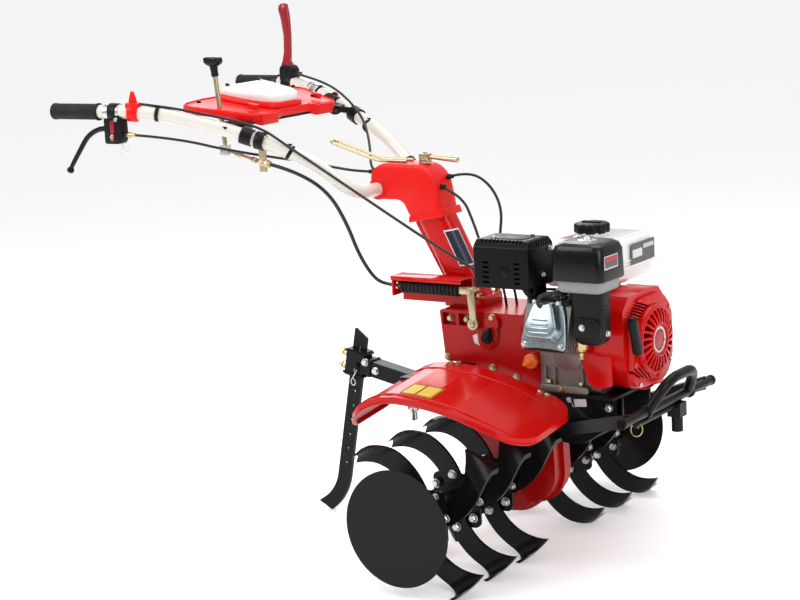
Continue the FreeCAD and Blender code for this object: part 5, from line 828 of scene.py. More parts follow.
def rib_tree():
    """Sleeve along a line whose radius rises and falls in even ribs."""
    tree, into, out = geometry_tree("Ribbed sleeve",
        [("Radius", "Float", 0.018), ("Rib", "Float", 0.002), ("Ribs", "Float", 20.0), ("Sharp", "Float", 0.5),
        ("Steps", "Int", 240), ("Material", "Material", None)])
    line = place_node(tree, "GeometryNodeMeshToCurve", [("Mesh", into["Geometry"])])
    fine = place_node(tree, "GeometryNodeResampleCurve", [("Curve", line.outputs[0]), ("Count", into["Steps"])])
    share = place_node(tree, "GeometryNodeSplineParameter")
    turns = figure(tree, "MULTIPLY", figure(tree, "MULTIPLY", share.outputs["Factor"], into["Ribs"]), math.pi)
    wave = figure(tree, "POWER", figure(tree, "ABSOLUTE", figure(tree, "SINE", turns, 0.0), 0.0), into["Sharp"])
    radius = figure(tree, "ADD", into["Radius"], figure(tree, "MULTIPLY", wave, into["Rib"]))
    ring = place_node(tree, "GeometryNodeCurvePrimitiveCircle", [("Resolution", 28), ("Radius", 1.0)])
    skin = place_node(tree, "GeometryNodeCurveToMesh",
        [("Curve", fine.outputs[0]), ("Profile Curve", ring.outputs[0]), ("Scale", radius), ("Fill Caps", True)])
    ending(tree, skin.outputs[0], into["Material"], out)
    return tree


TREES = {}


def grown(name, kind, points, body, slot, attributes=None, edges=(), angle=35, **values):
    """Plain mesh grown by a geometry tree on points in machine millimetres."""
    makers = {"bolts": bolt_tree, "slats": slat_tree, "ribs": rib_tree}
    if kind not in TREES:
        TREES[kind] = makers[kind]()
    mesh = bpy.data.meshes.new(name)
    mesh.from_pydata([at(*p) for p in points], list(edges), [])
    turn = MACHINE.to_3x3().normalized()
    for label, ways in (attributes or {}).items():
        layer = mesh.attributes.new(label, "FLOAT_VECTOR", "POINT")
        for item, way in zip(layer.data, ways):
            item.vector = turn @ unit(way)
    thing = linked(bpy.data.objects.new(name, mesh))
    grow = thing.modifiers.new("grow", "NODES")
    grow.node_group = TREES[kind]
    values["Material"] = FINISH[slot]
    for item in TREES[kind].interface.items_tree:
        if item.in_out == "INPUT" and item.name in values:
            grow[item.identifier] = values[item.name]
    plain(thing)
    return seated(thing, body, angle=angle)


def bolts(name, spots, body, slot="bright_steel", across=None, tall=None, washer=None):
    """Bolt heads at (place, direction) spots."""
    detail = bpy.context.scene.tiller_detail
    across = across / 1000 if across else detail.bolt_across
    tall = tall / 1000 if tall else detail.bolt_tall
    washer = washer / 1000 if washer else across * 0.72
    return grown(name, "bolts", [s[0] for s in spots], body, slot, {"way": [s[1] for s in spots]}, Across=across,
        Tall=tall, Washer=washer)


def facing(way, *spots):
    """Spots that all look the same way."""
    return [(spot, way) for spot in spots]


def ribbed(name, start, end, body, slot, radius, rib, ribs, sharp=0.5, replaced=()):
    """Ribbed rubber sleeve between two places."""
    made = grown(name, "ribs", [start, end], body, slot, edges=[(0, 1)], angle=60, Radius=radius / 1000,
        Rib=rib / 1000, Ribs=float(ribs), Sharp=sharp, Steps=max(ribs * 8, 40))
    if replaced:
        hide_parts(*replaced)
    return made


# ---------------------------------------------------------------- engine

CRANK_Z = 319
BARREL_X = 193
BARREL_TILT = math.radians(17)


BARREL_OUT = unit((0, -math.cos(BARREL_TILT), math.sin(BARREL_TILT)))
BARREL_UP = unit((0, math.sin(BARREL_TILT), math.cos(BARREL_TILT)))


def on_barrel(along, x=0.0, up=0.0):
    """Place on the tilted cylinder: how far out from the crank, how far forward, how far up across it."""
    return Vector((BARREL_X + x, 0, CRANK_Z)) + BARREL_OUT * along + BARREL_UP * up


def make_valve_cover():
    """Pressed valve cover with a waisted flange, a stepped dome with plain ribs, and its four bolts."""
    flange = softened([(-32, 53), (32, 53), (43, 20), (51, -26), (52, -53), (22, -49), (-22, -49), (-52, -53),
        (-51, -26), (-43, 20)], 14)
    work = Workpiece()
    work.rings([[on_barrel(a, x * s, z * s) for x, z in flange] for a, s in ((182, 1.0), (187, 1.0), (189, 0.97))])
    dome = softened([(-24, 45), (24, 45), (42, -12), (30, -36), (-30, -36), (-42, -12)], 9)
    work.rings([[on_barrel(a, x * s, z * s + 2) for x, z in dome] for a,
        s in ((187, 1.06), (190, 1.0), (205, 0.93), (209, 0.89), (211, 0.80))])
    for row in range(4):
        z = -20 + row * 9
        half = 25 - row * 2.5
        bar = rounded(half * 2, 4, 1.9, 3)
        work.rings([[on_barrel(a, x * s, zz * s + z) for x, zz in bar] for a,
            s in ((209, 1.0), (212.2, 1.0), (213, 0.9))])
    piece("valve_cover_pressed", work, "chassis", "cover_alloy", edge=0.8, replaced=["valve_cover"], angle=32)
    spots = [(on_barrel(189, x, z), BARREL_OUT) for x, z in ((-42, -43), (42, -43), (-27, 44), (27, 44))]
    bolts("valve_cover_bolts", spots, "chassis", "bright_steel", across=9, tall=5, washer=6.5)
    shade = Workpiece()
    shade.prism(softened([(-34, 54), (34, 54), (46, 20), (52, -28), (52, -54), (-52, -54), (-52, -28), (-46, 20)],
        12), on_barrel(181.4), (1, 0, 0), BARREL_UP, 0.8)
    piece("valve_cover_gasket", shade, "chassis", "black_plastic")


def make_cylinder_trim():
    """Head casting between the fins and the valve cover, the plug with its cap and lead, and the side stays."""
    work = Workpiece()
    work.rings([[on_barrel(a, x * s, z * s) for x, z in rounded(96, 96, 16)] for a,
        s in ((150, 0.9), (176, 0.96), (181, 1.0))])
    work.turned(on_barrel(160, 30, 40), BARREL_OUT + BARREL_UP * 1.2, [(9, 0), (9, 14), (7, 16), (7, 20)], 20)
    piece("cylinder_head_casting", work, "chassis", "cast_aluminium", edge=1.2)
    lead = Workpiece()
    boot = on_barrel(172, 30, 54)
    lead.turned(boot, BARREL_OUT * 0.3 + BARREL_UP, [(7, -10), (8, 0), (8, 12), (6.5, 16)], 20)
    lead.wire([boot + Vector((0, -3, 12)), (224, -170, 440), (196, -196, 436), (188, -194, 416), (204, -176, 402),
        (232, -156, 398), (262, -130, 404)], 4.2, 14)
    piece("plug_lead", lead, "chassis", "cable_black", angle=60)
    shroud = Workpiece()
    shroud.slab("y", softened([(148, 412), (244, 412), (244, 424), (148, 424)], 3), (-168, -96))
    shroud.block((150, -104, 330), (158, -86, 412))
    piece("cylinder_air_guide", shroud, "chassis", "black_paint", edge=1.0)
    stays = Workpiece()
    stays.wire([(214, -150, 424), (232, -142, 436), (256, -140, 432), (280, -142, 440)], 1.6, 8)
    stays.wire([(196, -150, 426), (222, -128, 446), (252, -124, 446), (270, -130, 424)], 1.6, 8)
    stays.turned((226, -146, 424), (0, -0.4, 1), [(6, 0), (6, 9), (3, 10), (3, 16)], 16)
    stays.turned((204, -140, 428), (0, -0.2, 1), [(7, 0), (7, 5), (4, 6), (4, 14)], 16)
    piece("governor_links", stays, "chassis", "bright_steel", angle=50)


def make_crankcase_trim():
    """Ribs, side bosses and foot of the crankcase, its oil cap and the bolts that hold it down."""
    work = Workpiece()
    for x in (134, 156, 222, 244):
        work.rings([[(x + s * 2.5, y, z) for s, y in ((-1, -78), (1, -78), (1, -88), (-1, -88))]
            for z in (227, 262)])
    work.slab("y", rounded(112, 15, 5, 4, (184, 219.5)), (-97, -92))
    work.turned((186, -78, 290), (0, -1, 0), [(34, 0), (34, 4), (30, 6)], 40)
    work.turned((246, -70, 300), (0, -1, 0), [(8, 0), (8, 16), (6, 17)], 20)
    work.slab("y", rounded(130, 12, 4, 3, (190, 312)), (-86, -76))
    piece("crankcase_ribs", work, "chassis", "cast_aluminium", edge=1.4, angle=35)
    bolts("crankcase_bolts", [((141, -86, 229), (0, 0, 1)), ((217, -86, 229), (0, 0, 1)),
        ((176, -97.2, 221), (0, -1, 0)), ((141, 86, 229), (0, 0, 1)), ((217, 86, 229), (0, 0, 1)),
        ((246, -87, 300), (0, -1, 0))], "chassis", "zinc_yellow", across=10, tall=6)
    cap = Workpiece()
    spot = (104, -80, 272)
    cap.turned(spot, (0, -1, 0), [(9, 0), (9, 6), (15, 7), (16, 9), (16, 15), (14, 17), (6, 18), (6, 24), (4, 25)],
        36)
    for angle in (0.5, 0.5 + math.pi):
        u = Vector((math.cos(angle), 0, math.sin(angle)))
        v = Vector((-math.sin(angle), 0, math.cos(angle)))
        ring = [(5, -4), (14, -6), (17, -3), (17, 3), (14, 6), (5, 4)]
        cap.rings([[Vector(spot) + u * a + v * b * s + Vector((0, -y, 0)) for a, b in softened(ring, 2, 3)] for y,
            s in ((15, 1.0), (22, 0.8))])
    piece("oil_cap_winged", cap, "chassis", "orange_cap", edge=0.6, replaced=["oil_filler_cap"])


def make_muffler():
    """Muffler guard: a folded box with rows of slots, a round outlet and side louvres."""
    source = frame["nodes"]["muffler"]
    mesh = source.data.copy()
    thing = linked(bpy.data.objects.new("muffler_guard", mesh))
    work = bmesh.new()
    work.from_mesh(mesh)
    bmesh.ops.remove_doubles(work, verts=work.verts, dist=1e-5)
    work.to_mesh(mesh)
    work.free()
    cut = Workpiece()
    cut.turned((119, -210, 480), (0, 1, 0), [(13, 0), (13, 14)], 36)
    for row in range(5):
        z = 459 + row * 10
        for x0, x1 in ((66, 82), (140, 154)):
            cut.slab("y", rounded(x1 - x0, 4, 1.8, 2, ((x0 + x1) / 2, z)), (-210, -198))
    for step in range(11):
        x = 62 + step * 9.0
        cut.rings([[(xx, yy - 0.9 * z, 546 + z) for xx, yy in rounded(4.4, 15, 2, 2, (x, -196))] for z in (-14, 6)])
    for step in range(10):
        y = -196 + step * 9.0
        cut.slab("z", rounded(15, 4.4, 2, 2, (168, y)), (528, 552))
    difference(thing, cut)
    mesh = thing.data
    mesh.materials.clear()
    mesh.materials.append(FINISH["muffler_black"])
    seated(thing, "chassis", ["muffler"], 30)
    work = Workpiece()
    for x, y in ((78, -176), (142, -176), (78, -128), (142, -128)):
        work.turned((x, y, 543), (0, 0, 1), [(12, 0), (11.5, 1.4), (6, 1.0), (5, 0.2)], 28)
    work.rings([[(x, y, 544) for x, y in rounded(84, 56, 12, 4, (110, -152))],
        [(x, y, 545.2) for x, y in rounded(80, 52, 12, 4, (110, -152))]])
    work.turned((119, -199, 480), (0, 1, 0), [(12.5, -6.5), (13, 0), (11, 1), (10.4, -5), (9, -5), (9, 9)], 36)
    piece("muffler_trim", work, "chassis", "muffler_black", edge=0.4)
    # Painted shade: a near-black cup in the outlet and a near-black sheet behind the front slots stand in for the
    # shade inside the guard.
    outlet_shade_sheet = Workpiece()
    outlet_shade_sheet.turned((119, -193, 480), (0, 1, 0), [(13, 0), (13, 2)], 36)
    outlet_shade_sheet.slab("y", rounded(112, 80, 10, 4, (109, 491)), (-190, -187))
    piece("muffler_mouth", outlet_shade_sheet, "chassis", "shadow_black")
    inner = Workpiece()
    inner.turned((52, -152, 490), (1, 0, 0), [(30, 0), (36, 6), (36, 108), (30, 114)], 40)
    piece("muffler_drum", inner, "chassis", "heat_brown", edge=1.0)
    bolts("muffler_screws", [((78, -176, 543.4), (0, 0, 1)), ((142, -128, 543.4), (0, 0, 1)),
        ((175, -150, 470), (1, 0, 0)), ((175, -120, 520), (1, 0, 0)), ((44, -150, 470), (-1, 0, 0))], "chassis",
        "bright_steel", across=8, tall=3.5)
    pipe = Workpiece()
    pipe.slab("z", rounded(46, 34, 8, 3, (100, -128)), (438, 446))
    pipe.wire([(118, -126, 446), (126, -124, 430), (140, -120, 416), (156, -116, 404)], 13, 24)
    piece("exhaust_elbow", pipe, "chassis", "muffler_black", edge=0.8)


def make_air_cleaner():
    """Air cleaner: crowned cover over a grey tray, its wing nut, and the duct down to the carburettor."""
    cover = Workpiece()
    middle = (281, -153)
    layers = [(470, 116, 106, 14), (473, 117, 107, 15), (528, 114, 104, 16), (540, 106, 96, 18), (545, 92, 82, 20),
        (546.2, 60, 50, 18)]
    cover.rings([[(x, y, z) for x, y in rounded(w, d, r, 6, middle)] for z, w, d, r in layers])
    piece("air_cleaner_cover", cover, "chassis", "gloss_black", edge=0.8, replaced=["air_cleaner"], angle=50)
    tray = Workpiece()
    layers = [(446, 92, 84, 12), (450, 98, 90, 12), (466, 100, 92, 12), (468, 112, 102, 13), (470.2, 112, 102, 13)]
    tray.rings([[(x, y, z) for x, y in rounded(w, d, r, 5, middle)] for z, w, d, r in layers])
    piece("air_cleaner_tray", tray, "chassis", "grey_plastic", edge=0.8)
    duct = Workpiece()
    layers = [(336, 40, 30), (342, 60, 38), (360, 68, 43), (430, 68, 43), (447, 74, 50)]
    duct.rings([[(x, y, z) for x, y in rounded(w, d, 9, 4, (288, -156.5))] for z, w, d in layers])
    for row in range(6):
        z = 392 + row * 8
        duct.rings([[(x, y, z + h) for x, y in rounded(69, 44.5, 9.5, 4, (288, -156.5))] for h in (0, 2.4)])
    duct.slab("y", softened([(262, 352), (318, 352), (322, 376), (312, 392), (268, 392), (258, 376)], 5),
        (-184, -174))
    duct.block((230, -148, 352), (258, -112, 400))
    piece("intake_duct", duct, "chassis", "black_plastic", edge=1.2, replaced=["intake_elbow"], angle=45)
    nut = Workpiece()
    nut.turned((280, -150, 545), (0, 0, 1), [(20, 0), (20, 1.6), (14, 2.4), (9, 2.6), (8, 6), (5, 7)], 32)
    for side in (1, -1):
        nut.rings([[(280 + side * x, -150 + t, z) for x,
            z in softened([(3, 548), (11, 550), (13, 556.5), (8, 556), (3, 552)], 2, 3)] for t in (-1.4, 1.4)])
    piece("air_cleaner_wing_nut", nut, "chassis", "bright_steel", edge=0.4)
    bolts("duct_screws", [((280, -184, 374), (0, -1, 0)), ((322, -156, 360), (1, 0, 0))], "chassis", "bright_steel",
        across=10, tall=4)
    plate("air_cleaner_label", (339.6, -165, 508), (0, 1, 0), (0, 0, 1), 56, 27, "chassis", "label_silver",
        "label_red")
    plate("air_cleaner_label_panel", (340.1, -165, 503.2), (0, 1, 0), (0, 0, 1), 50, 11, "chassis", "label_grey")


def plate(name, middle, across, upward, wide, tall, body, slot, band=None, thick=0.5):
    """Blank label: a thin rounded plate, with a plain colour band if asked."""
    work = Workpiece()
    u, v = unit(across), unit(upward)
    work.prism(rounded(wide, tall, 2.0, 3), middle, across, upward, thick)
    if band:
        work.paint = 1
        raised = Vector(middle) + u.cross(v) * thick * 0.6
        work.prism(rounded(wide - 3, tall * 0.42, 1.2, 3, (0, tall * 0.22)), raised, across, upward, thick * 0.7)
    return piece(name, work, body, slot, extra=[band] if band else [])


def make_carburettor():
    """Carburettor body, brass float bowl, drain, choke lever, fuel hose and its clips."""
    body = Workpiece()
    body.slab("z", rounded(38, 30, 7, 4, (262, -122)), (338, 382))
    body.turned((246, -121, 360), (1, 0, 0), [(17, -26), (17, -18), (12, -17), (12, 30)], 28)
    body.turned((262, -108, 368), (0, -1, 0), [(6, 0), (6, 20), (4, 21)], 16)
    body.block((236, -140, 344), (240, -104, 392))
    piece("carburettor_body", body, "chassis", "cast_aluminium", edge=1.2, replaced=["carburettor"])
    bowl = Workpiece()
    bowl.turned((246, -130, 338), (0, 0, -1), [(17, 0), (18, 2), (18, 5), (16.5, 6), (16.5, 17), (14, 24), (7, 28),
        (6, 31), (6, 36), (4, 37)], 40)
    piece("float_bowl", bowl, "chassis", "brass", edge=0.5, angle=50)
    lever = Workpiece()
    lever.wire([(228, -140, 352), (222, -148, 348), (222, -152, 330), (226, -150, 318)], 2.0, 8)
    lever.slab("y", softened([(214, 344), (238, 350), (238, 366), (216, 362)], 3), (-146, -144))
    piece("choke_lever", lever, "chassis", "black_plastic", edge=0.3)
    hose = Workpiece()
    hose.wire([(238, -104, 350), (244, -86, 344), (258, -72, 372), (262, -60, 410), (262, -50, 436)], 4.5, 14)
    piece("fuel_hose", hose, "chassis", "cable_black", angle=60)
    bolts("carburettor_nuts", [((240, -136, 350), (-1, 0, 0)), ((240, -110, 388), (-1, 0, 0)),
        ((246, -130, 301), (0, 0, -1))], "chassis", "brass", across=8, tall=4)


def make_tank_trim():
    """Fuel tank seam, cap with its grip, neck ring, and the plain label patches."""
    seam = Workpiece()
    low, high = 471, 474
    seam.rings([[(x, y, z) for x, y in rounded(w, d, 22, 8, (196, 45))] for z, w,
        d in ((low, 160, 218), (low + 0.6, 164, 222), (high - 0.6, 164, 222), (high, 160, 218))])
    seam.rings([[(x, y, z) for x, y in rounded(w, d, 16, 6, (196, 45))] for z, w,
        d in ((517.6, 128, 186), (519.4, 120, 178))])
    piece("tank_seam", seam, "chassis", "tank_white", edge=0.3)
    neck = Workpiece()
    neck.turned((196, 22, 518), (0, 0, 1), [(42, 0), (40, 3), (33, 5), (32, 12), (34, 13), (34, 14)], 48)
    piece("tank_neck", neck, "chassis", "tank_white", angle=50)
    cap = Workpiece()
    lobes = 8
    rings = []
    for radius, z in ((33, 530), (36.5, 531), (37.5, 534), (37.5, 546), (36, 549.5), (31, 551), (16, 551.4)):
        ring = []
        for i in range(lobes * 12):
            angle = 2 * math.pi * i / (lobes * 12)
            groove = 0.5 + 0.5 * math.cos(lobes * angle)
            ring.append((196 + (radius - 4.0 * groove ** 4 * min(1, radius / 34)) * math.cos(angle),
                22 + (radius - 4.0 * groove ** 4 * min(1, radius / 34)) * math.sin(angle), z))
        rings.append(ring)
    cap.rings(rings)
    cap.rings([[(196 + x, 22 + y, z) for x, y in rounded(44, 12, 5)] for z in (551, 554)])
    piece("fuel_cap_grip", cap, "chassis", "black_plastic", edge=0.5, replaced=["fuel_cap"], angle=50)
    plate("tank_label", (278.4, 88, 485), (0, 1, 0), (0, 0, 1), 104, 42, "chassis", "label_grey")
    plate("tank_label_patch", (278.9, 62, 484), (0, 1, 0), (0, 0, 1), 42, 17, "chassis", "label_white")
    plate("tank_label_stripe", (278.9, 112, 494), (0, 1, 0), (0, 0, 1), 46, 9, "chassis", "label_silver")
    plate("tank_top_label", (150, 20, 520.2), (0.2, 1, 0), (-1, 0.2, 0), 50, 14, "chassis", "label_red")


COVER_CORNERS = [(-90, 232), (-40, 224), (60, 224), (92, 262), (92, 372), (52, 411), (-40, 411), (-92, 380)]


def make_blower():
    """Blower shroud skirt, the slotted starter ring with its hub, the louvred cover and the pull grip."""
    skirt = Workpiece()
    skirt.slab("y", softened([(226, 300), (262, 330), (300, 330), (300, 236), (262, 228), (244, 240)], 8),
        (-104, -98))
    piece("shroud_skirt", skirt, "chassis", "red_paint", edge=1.6)
    detail = bpy.context.scene.tiller_detail
    ring = Workpiece()
    ring.turned((336, 0, CRANK_Z), (1, 0, 0), [(73, 0), (73, 10), (71.5, 14.5), (68, 17), (64.5, 17.6), (64.5, 14),
        (67, 10), (67.5, 4), (67.5, 0)], 96)
    ring.turned((336, 0, CRANK_Z), (1, 0, 0), [(36, 6), (37, 23), (35.5, 24.6), (33, 25), (31, 24), (30, 20),
        (24, 19), (0.1, 19)], 72)
    slots = detail.starter_slots
    for i in range(slots):
        angle = 2 * math.pi * i / slots
        u = Vector((0, math.cos(angle), math.sin(angle)))
        lead = Vector((0, math.cos(angle + 0.10), math.sin(angle + 0.10)))
        base = Vector((336, 0, CRANK_Z))
        rows = []
        for t in (0, 0.33, 0.67, 1):
            way = u.lerp(lead, t).normalized()
            across = Vector((1, 0, 0)).cross(way)
            spot = base + way * (35 + t * 31.5)
            wide = 2.1 + 0.9 * t
            lift = 23.6 - 7.0 * t ** 2
            rows.append([spot + across * a + Vector((h, 0, 0)) for a,
                h in ((-wide, 8), (wide, 8), (wide, lift), (-wide, lift))])
        ring.rings(rows)
    piece("starter_ring", ring, "chassis", "red_paint", edge=0.8, angle=40)
    # Painted shade: a near-black disc behind the starter ring's slots, and further on a near-black sheet behind the
    # cover's louvres.
    drum = Workpiece()
    drum.turned((342, 0, CRANK_Z), (1, 0, 0), [(67, 0), (67, 1.5), (30, 2)], 64)
    base = Workpiece()
    base.rings([[(x, s * y, CRANK_Z + s * (z - CRANK_Z)) for y, z in softened(COVER_CORNERS, 22, 6)] for x,
        s in ((330, 1), (339, 0.985), (342, 0.955))])
    cut = Workpiece()
    for count, first, last in ((6, ((-63.6, 407.2), (20.2, 376.2)), ((-91.0, 383.7), (-29.8, 358.9))),
            (4, ((-104.7, 276.3), (-61.1, 250.9)), ((-47.5, 271.3), (-14.0, 237.9)))):
        for i in range(count):
            start, end = (Vector(a).lerp(Vector(b), i / (count - 1)) for a, b in zip(first, last))
            along = (end - start).normalized()
            middle = (start + end) / 2
            outline = rounded((end - start).length, 4.6, 2, 2)
            cut.rings([[(x, middle.x + along.x * a - along.y * b, middle.y + along.y * a + along.x * b) for a,
                b in outline] for x in (326, 350)])
    # Near-black sheet inside the cover plate, seen through its louvres as painted shade.
    drum.rings([[(x, 0.93 * y, CRANK_Z + 0.93 * (z - CRANK_Z)) for y, z in softened(COVER_CORNERS, 22, 6)]
        for x in (330.3, 330.9)])
    piece("starter_shadow_drum", drum, "chassis", "shadow_black")
    piece("starter_cover_plate", base, "chassis", "red_paint", edge=1.5, angle=35, replaced=["recoil_starter"],
        cuts=cut)
    bolts("starter_bolts", [((340, y, z), (1, 0, 0)) for y, z in ((76, 372), (76, 262), (-62, 236))], "chassis",
        "bright_steel", across=8, tall=4)
    hub = Workpiece()
    hub.turned((354.4, 0, CRANK_Z), (1, 0, 0), [(29, 0), (29, 2.2), (27, 3.4), (23, 3.4), (22, 2.4), (22, 0.4)], 64)
    piece("starter_hub_rings", hub, "chassis", "bright_steel", angle=50)
    badge = Workpiece()
    badge.turned((354.8, 0, CRANK_Z), (1, 0, 0), [(19, 0), (19, 1.0), (17, 1.8), (0.1, 2.0)], 48)
    piece("starter_hub_badge", badge, "chassis", "label_red", angle=50)
    pull = Workpiece()
    top, low = Vector((352, -109, 385)), Vector((350, -80, 303))
    way = low - top
    stations = [(0, 5, 6), (0.06, 9, 9.5), (0.25, 11, 9.5), (0.5, 10, 8.5), (0.75, 11.5, 9.5), (0.93, 10, 9),
        (1, 5, 6)]
    u, v = unit(way).cross(Vector((1, 0, 0))).normalized(), Vector((1, 0, 0))
    pull.rings([[top + way * t + u * x + v * y for x, y in rounded(a * 2, b * 2, min(a, b) * 0.8, 5)] for t, a,
        b in stations])
    piece("starter_grip", pull, "chassis", "black_plastic", edge=0.4, replaced=["starter_handle"], angle=60)


# ---------------------------------------------------------------- gearbox, drive and column

def make_gearbox_trim():
    """Gearbox seam and cover plate, the selector lever with its blank plate, the rear plug and the bolts."""
    seam = Workpiece()
    outline = [(-126, 365), (-116, 252), (-38, 252), (-38, 200), (60, 200), (121, 206), (121, 352), (100, 365)]
    big = softened(outline, 10)
    seam.slab("y", big, (-4, 4))
    wide = softened([(x + (3.5 if x > 0 else -3.5), z) for x, z in outline], 10)
    seam.slab("y", wide, (-3, 3))
    seam.slab("y", softened([(-34, 352), (8, 352), (22, 330), (18, 296), (-4, 282), (-30, 292)], 12), (-82, -76))
    seam.turned((-4, -78, 312), (0, -1, 0), [(20, 0), (20, 5), (17, 7)], 36)
    seam.turned((104, -78, 272), (0, -1, 0), [(18, 0), (18, 3), (16, 4)], 32)
    piece("gearbox_seam", seam, "chassis", "red_cast_paint", edge=1.5, angle=35)
    spots = facing((0, -1, 0), (3, -80, 248), (61, -80, 232), (62, -80, 206), (-108, -64, 344), (-66, -64, 344),
        (8, -82, 356), (108, -80, 340), (-110, -78, 262))
    mirrored = [((x, -y, z), (0, 1, 0)) for (x, y, z), _ in spots[:3]] + [((x, 78, z), (0, 1, 0)) for x,
        z in ((-108, 344), (-60, 350), (0, 350), (60, 350), (108, 344), (-108, 268), (110, 214))]
    bolts("gearbox_bolts", spots + mirrored, "chassis", "zinc_yellow", across=11, tall=6)
    knob = Workpiece()
    knob.turned((-4, -84, 312), (0, -1, 0), [(13, 0), (13, 6), (10, 8), (10, 14), (8, 16)], 32)
    handle = softened([(-5, -6), (5, -6), (7, 10), (4, 26), (-4, 26), (-7, 10)], 3)
    tilt = math.radians(-28)
    knob.rings([[(-4 + (x * math.cos(tilt) - z * math.sin(tilt)), y,
        312 + (x * math.sin(tilt) + z * math.cos(tilt))) for x, z in [(a * s, b * s) for a, b in handle]] for y,
        s in ((-92, 1), (-100, 0.95), (-102, 0.8))])
    piece("selector_lever", knob, "chassis", "black_plastic", edge=0.8, replaced=["selector_knob"], angle=45)
    work = Workpiece()
    work.prism(softened([(-14, 8), (0, 13), (14, 8), (12, -8), (0, -14), (-12, -8)], 1.5, 2), (-30, -78.6, 306),
        (1, 0, 0.1), (-0.1, 0, 1), 0.8)
    piece("selector_plate", work, "chassis", "label_silver")
    plug = Workpiece()
    plug.turned((-116, -26, 338), (-1, 0, 0), [(16, 0), (16, 4), (14, 5)], 32)
    plug.turned((-121, -26, 338), (-1, 0, 0), [(13.4, 0), (13.4, 11), (11.8, 13)], 6)
    piece("detent_plug_hexagon", plug, "chassis", "brass", edge=0.6, replaced=["detent_plug"], angle=20)


def make_drive_case_trim():
    """Bolts round the rim of the drive case."""
    spots = []
    for x, z in ((-74, 30), (-80, -14), (-52, -58), (60, -52), (110, 40), (96, -28), (116, 90), (-58, 92),
            (110, 150), (-52, 150)):
        spots.append(((x, -8, z), (0, -1, 0)))
        spots.append(((x, 8, z), (0, 1, 0)))
    bolts("drive_case_bolts", spots, "chassis", "zinc_yellow", across=9, tall=5)


COLUMN_RAKE, COLUMN_FOOT, COLUMN_RISE = 0.22, 385, 185
COLUMN_CORNER = 20
COLUMN_SECTIONS = ((385, -88, 42, 29), (392, -91, 41.6, 29), (470, -130, 40, 29), (546, -169, 38.5, 29),
    (570, -178, 37, 28.5))


def on_pillar(z, along, lift):
    """Place on the column's right side: its height, and how far forward of the middle round the corner."""
    for (low, x0, reach0, half0), (high, x1, reach1, half1) in zip(COLUMN_SECTIONS, COLUMN_SECTIONS[1:]):
        if z <= high:
            break
    share = (z - low) / (high - low)
    middle = x0 + (x1 - x0) * share
    reach = reach0 + (reach1 - reach0) * share
    half = half0 + (half1 - half0) * share
    corner = COLUMN_CORNER
    turn = min(max((along - (reach - corner)) / corner, 0), math.pi / 2)
    past = max(along - (reach - corner) - corner * math.pi / 2, 0)
    x = min(along, reach - corner) + (corner + lift) * math.sin(turn)
    y = -half + corner - (corner + lift) * math.cos(turn) + past
    return Vector((middle + x, y, z + COLUMN_RAKE * x * (z - COLUMN_FOOT) / COLUMN_RISE))


def make_column_trim():
    """Pressed column on its foot, its blank label, the bolts of head and foot, and the clamp's nut and lever."""
    pillar = Workpiece()
    pillar.rings([[(middle + x, y, z + COLUMN_RAKE * x * (z - COLUMN_FOOT) / COLUMN_RISE) for x,
        y in rounded(reach * 2, half * 2, COLUMN_CORNER, 8)] for z, middle, reach, half in COLUMN_SECTIONS])
    pillar.rings([[(-88 + x, y, z) for x, y in rounded(w, d, 8, 5)] for z, w,
        d in ((365, 96, 92), (385, 96, 92), (387, 92, 88))])
    pillar.slab("y", softened([(-136, 387), (-120, 387), (-208, 552), (-222, 538)], 5), (-12, 12))
    piece("column_pressed", pillar, "chassis", "red_paint", edge=1.0, replaced=["column"], angle=45)
    for name, slot, start, end, low, high, lift in (("column_label", "label_white", 18, 56, 449, 523, 0.5),
            ("column_label_panel", "label_blue", 20.5, 53.5, 452, 520, 0.8)):
        patch = Workpiece()
        rows = []
        for step in range(11):
            z = low + (high - low) * step / 10
            line = [start + (end - start) * i / 16 for i in range(17)]
            rows.append([on_pillar(z, along, lift) for along in line]
                + [on_pillar(z, along, 0.1) for along in reversed(line)])
        patch.rings(rows)
        piece(name, patch, "chassis", slot, angle=50)
    bolts("head_bolts", [((-196, 37.8, 600), (0, 1, 0))], "chassis", "zinc_yellow", across=12, tall=5)
    bolts("column_foot_bolts", facing((0, 0, 1), (-98, -38, 387.4), (-98, 38, 387.4), (-50, -38, 387.4),
        (-50, 38, 387.4)), "chassis", "zinc_yellow", across=12, tall=7)
    clamp = Workpiece()
    clamp.turned((-196, 0, 667), (0, 0, 1), [(15, 0), (15, 3), (13, 4), (13, 9), (9, 11)], 6)
    clamp.turned((-196, 0, 678), (0, 0, 1), [(8, 0), (8, 7), (7, 8), (5, 8), (5, 13), (4, 14)], 20)
    clamp.block((-207, -9, 672), (-185, 9, 688))
    clamp.wire([(-200, 0, 679), (-180, 0, 680), (-150, 0, 678), (-112, 0, 676)],
        [6, 5, 4.4, 4.4, 4.4, 4.4, 4.4, 4.4, 4.4, 4.4, 4.6, 4.8, 5, 5.2, 5.4, 5.6, 5.8, 6, 6], 14)
    piece("head_clamp_lever", clamp, "chassis", "zinc_yellow", edge=0.5, replaced=["head_clamp"], angle=40)


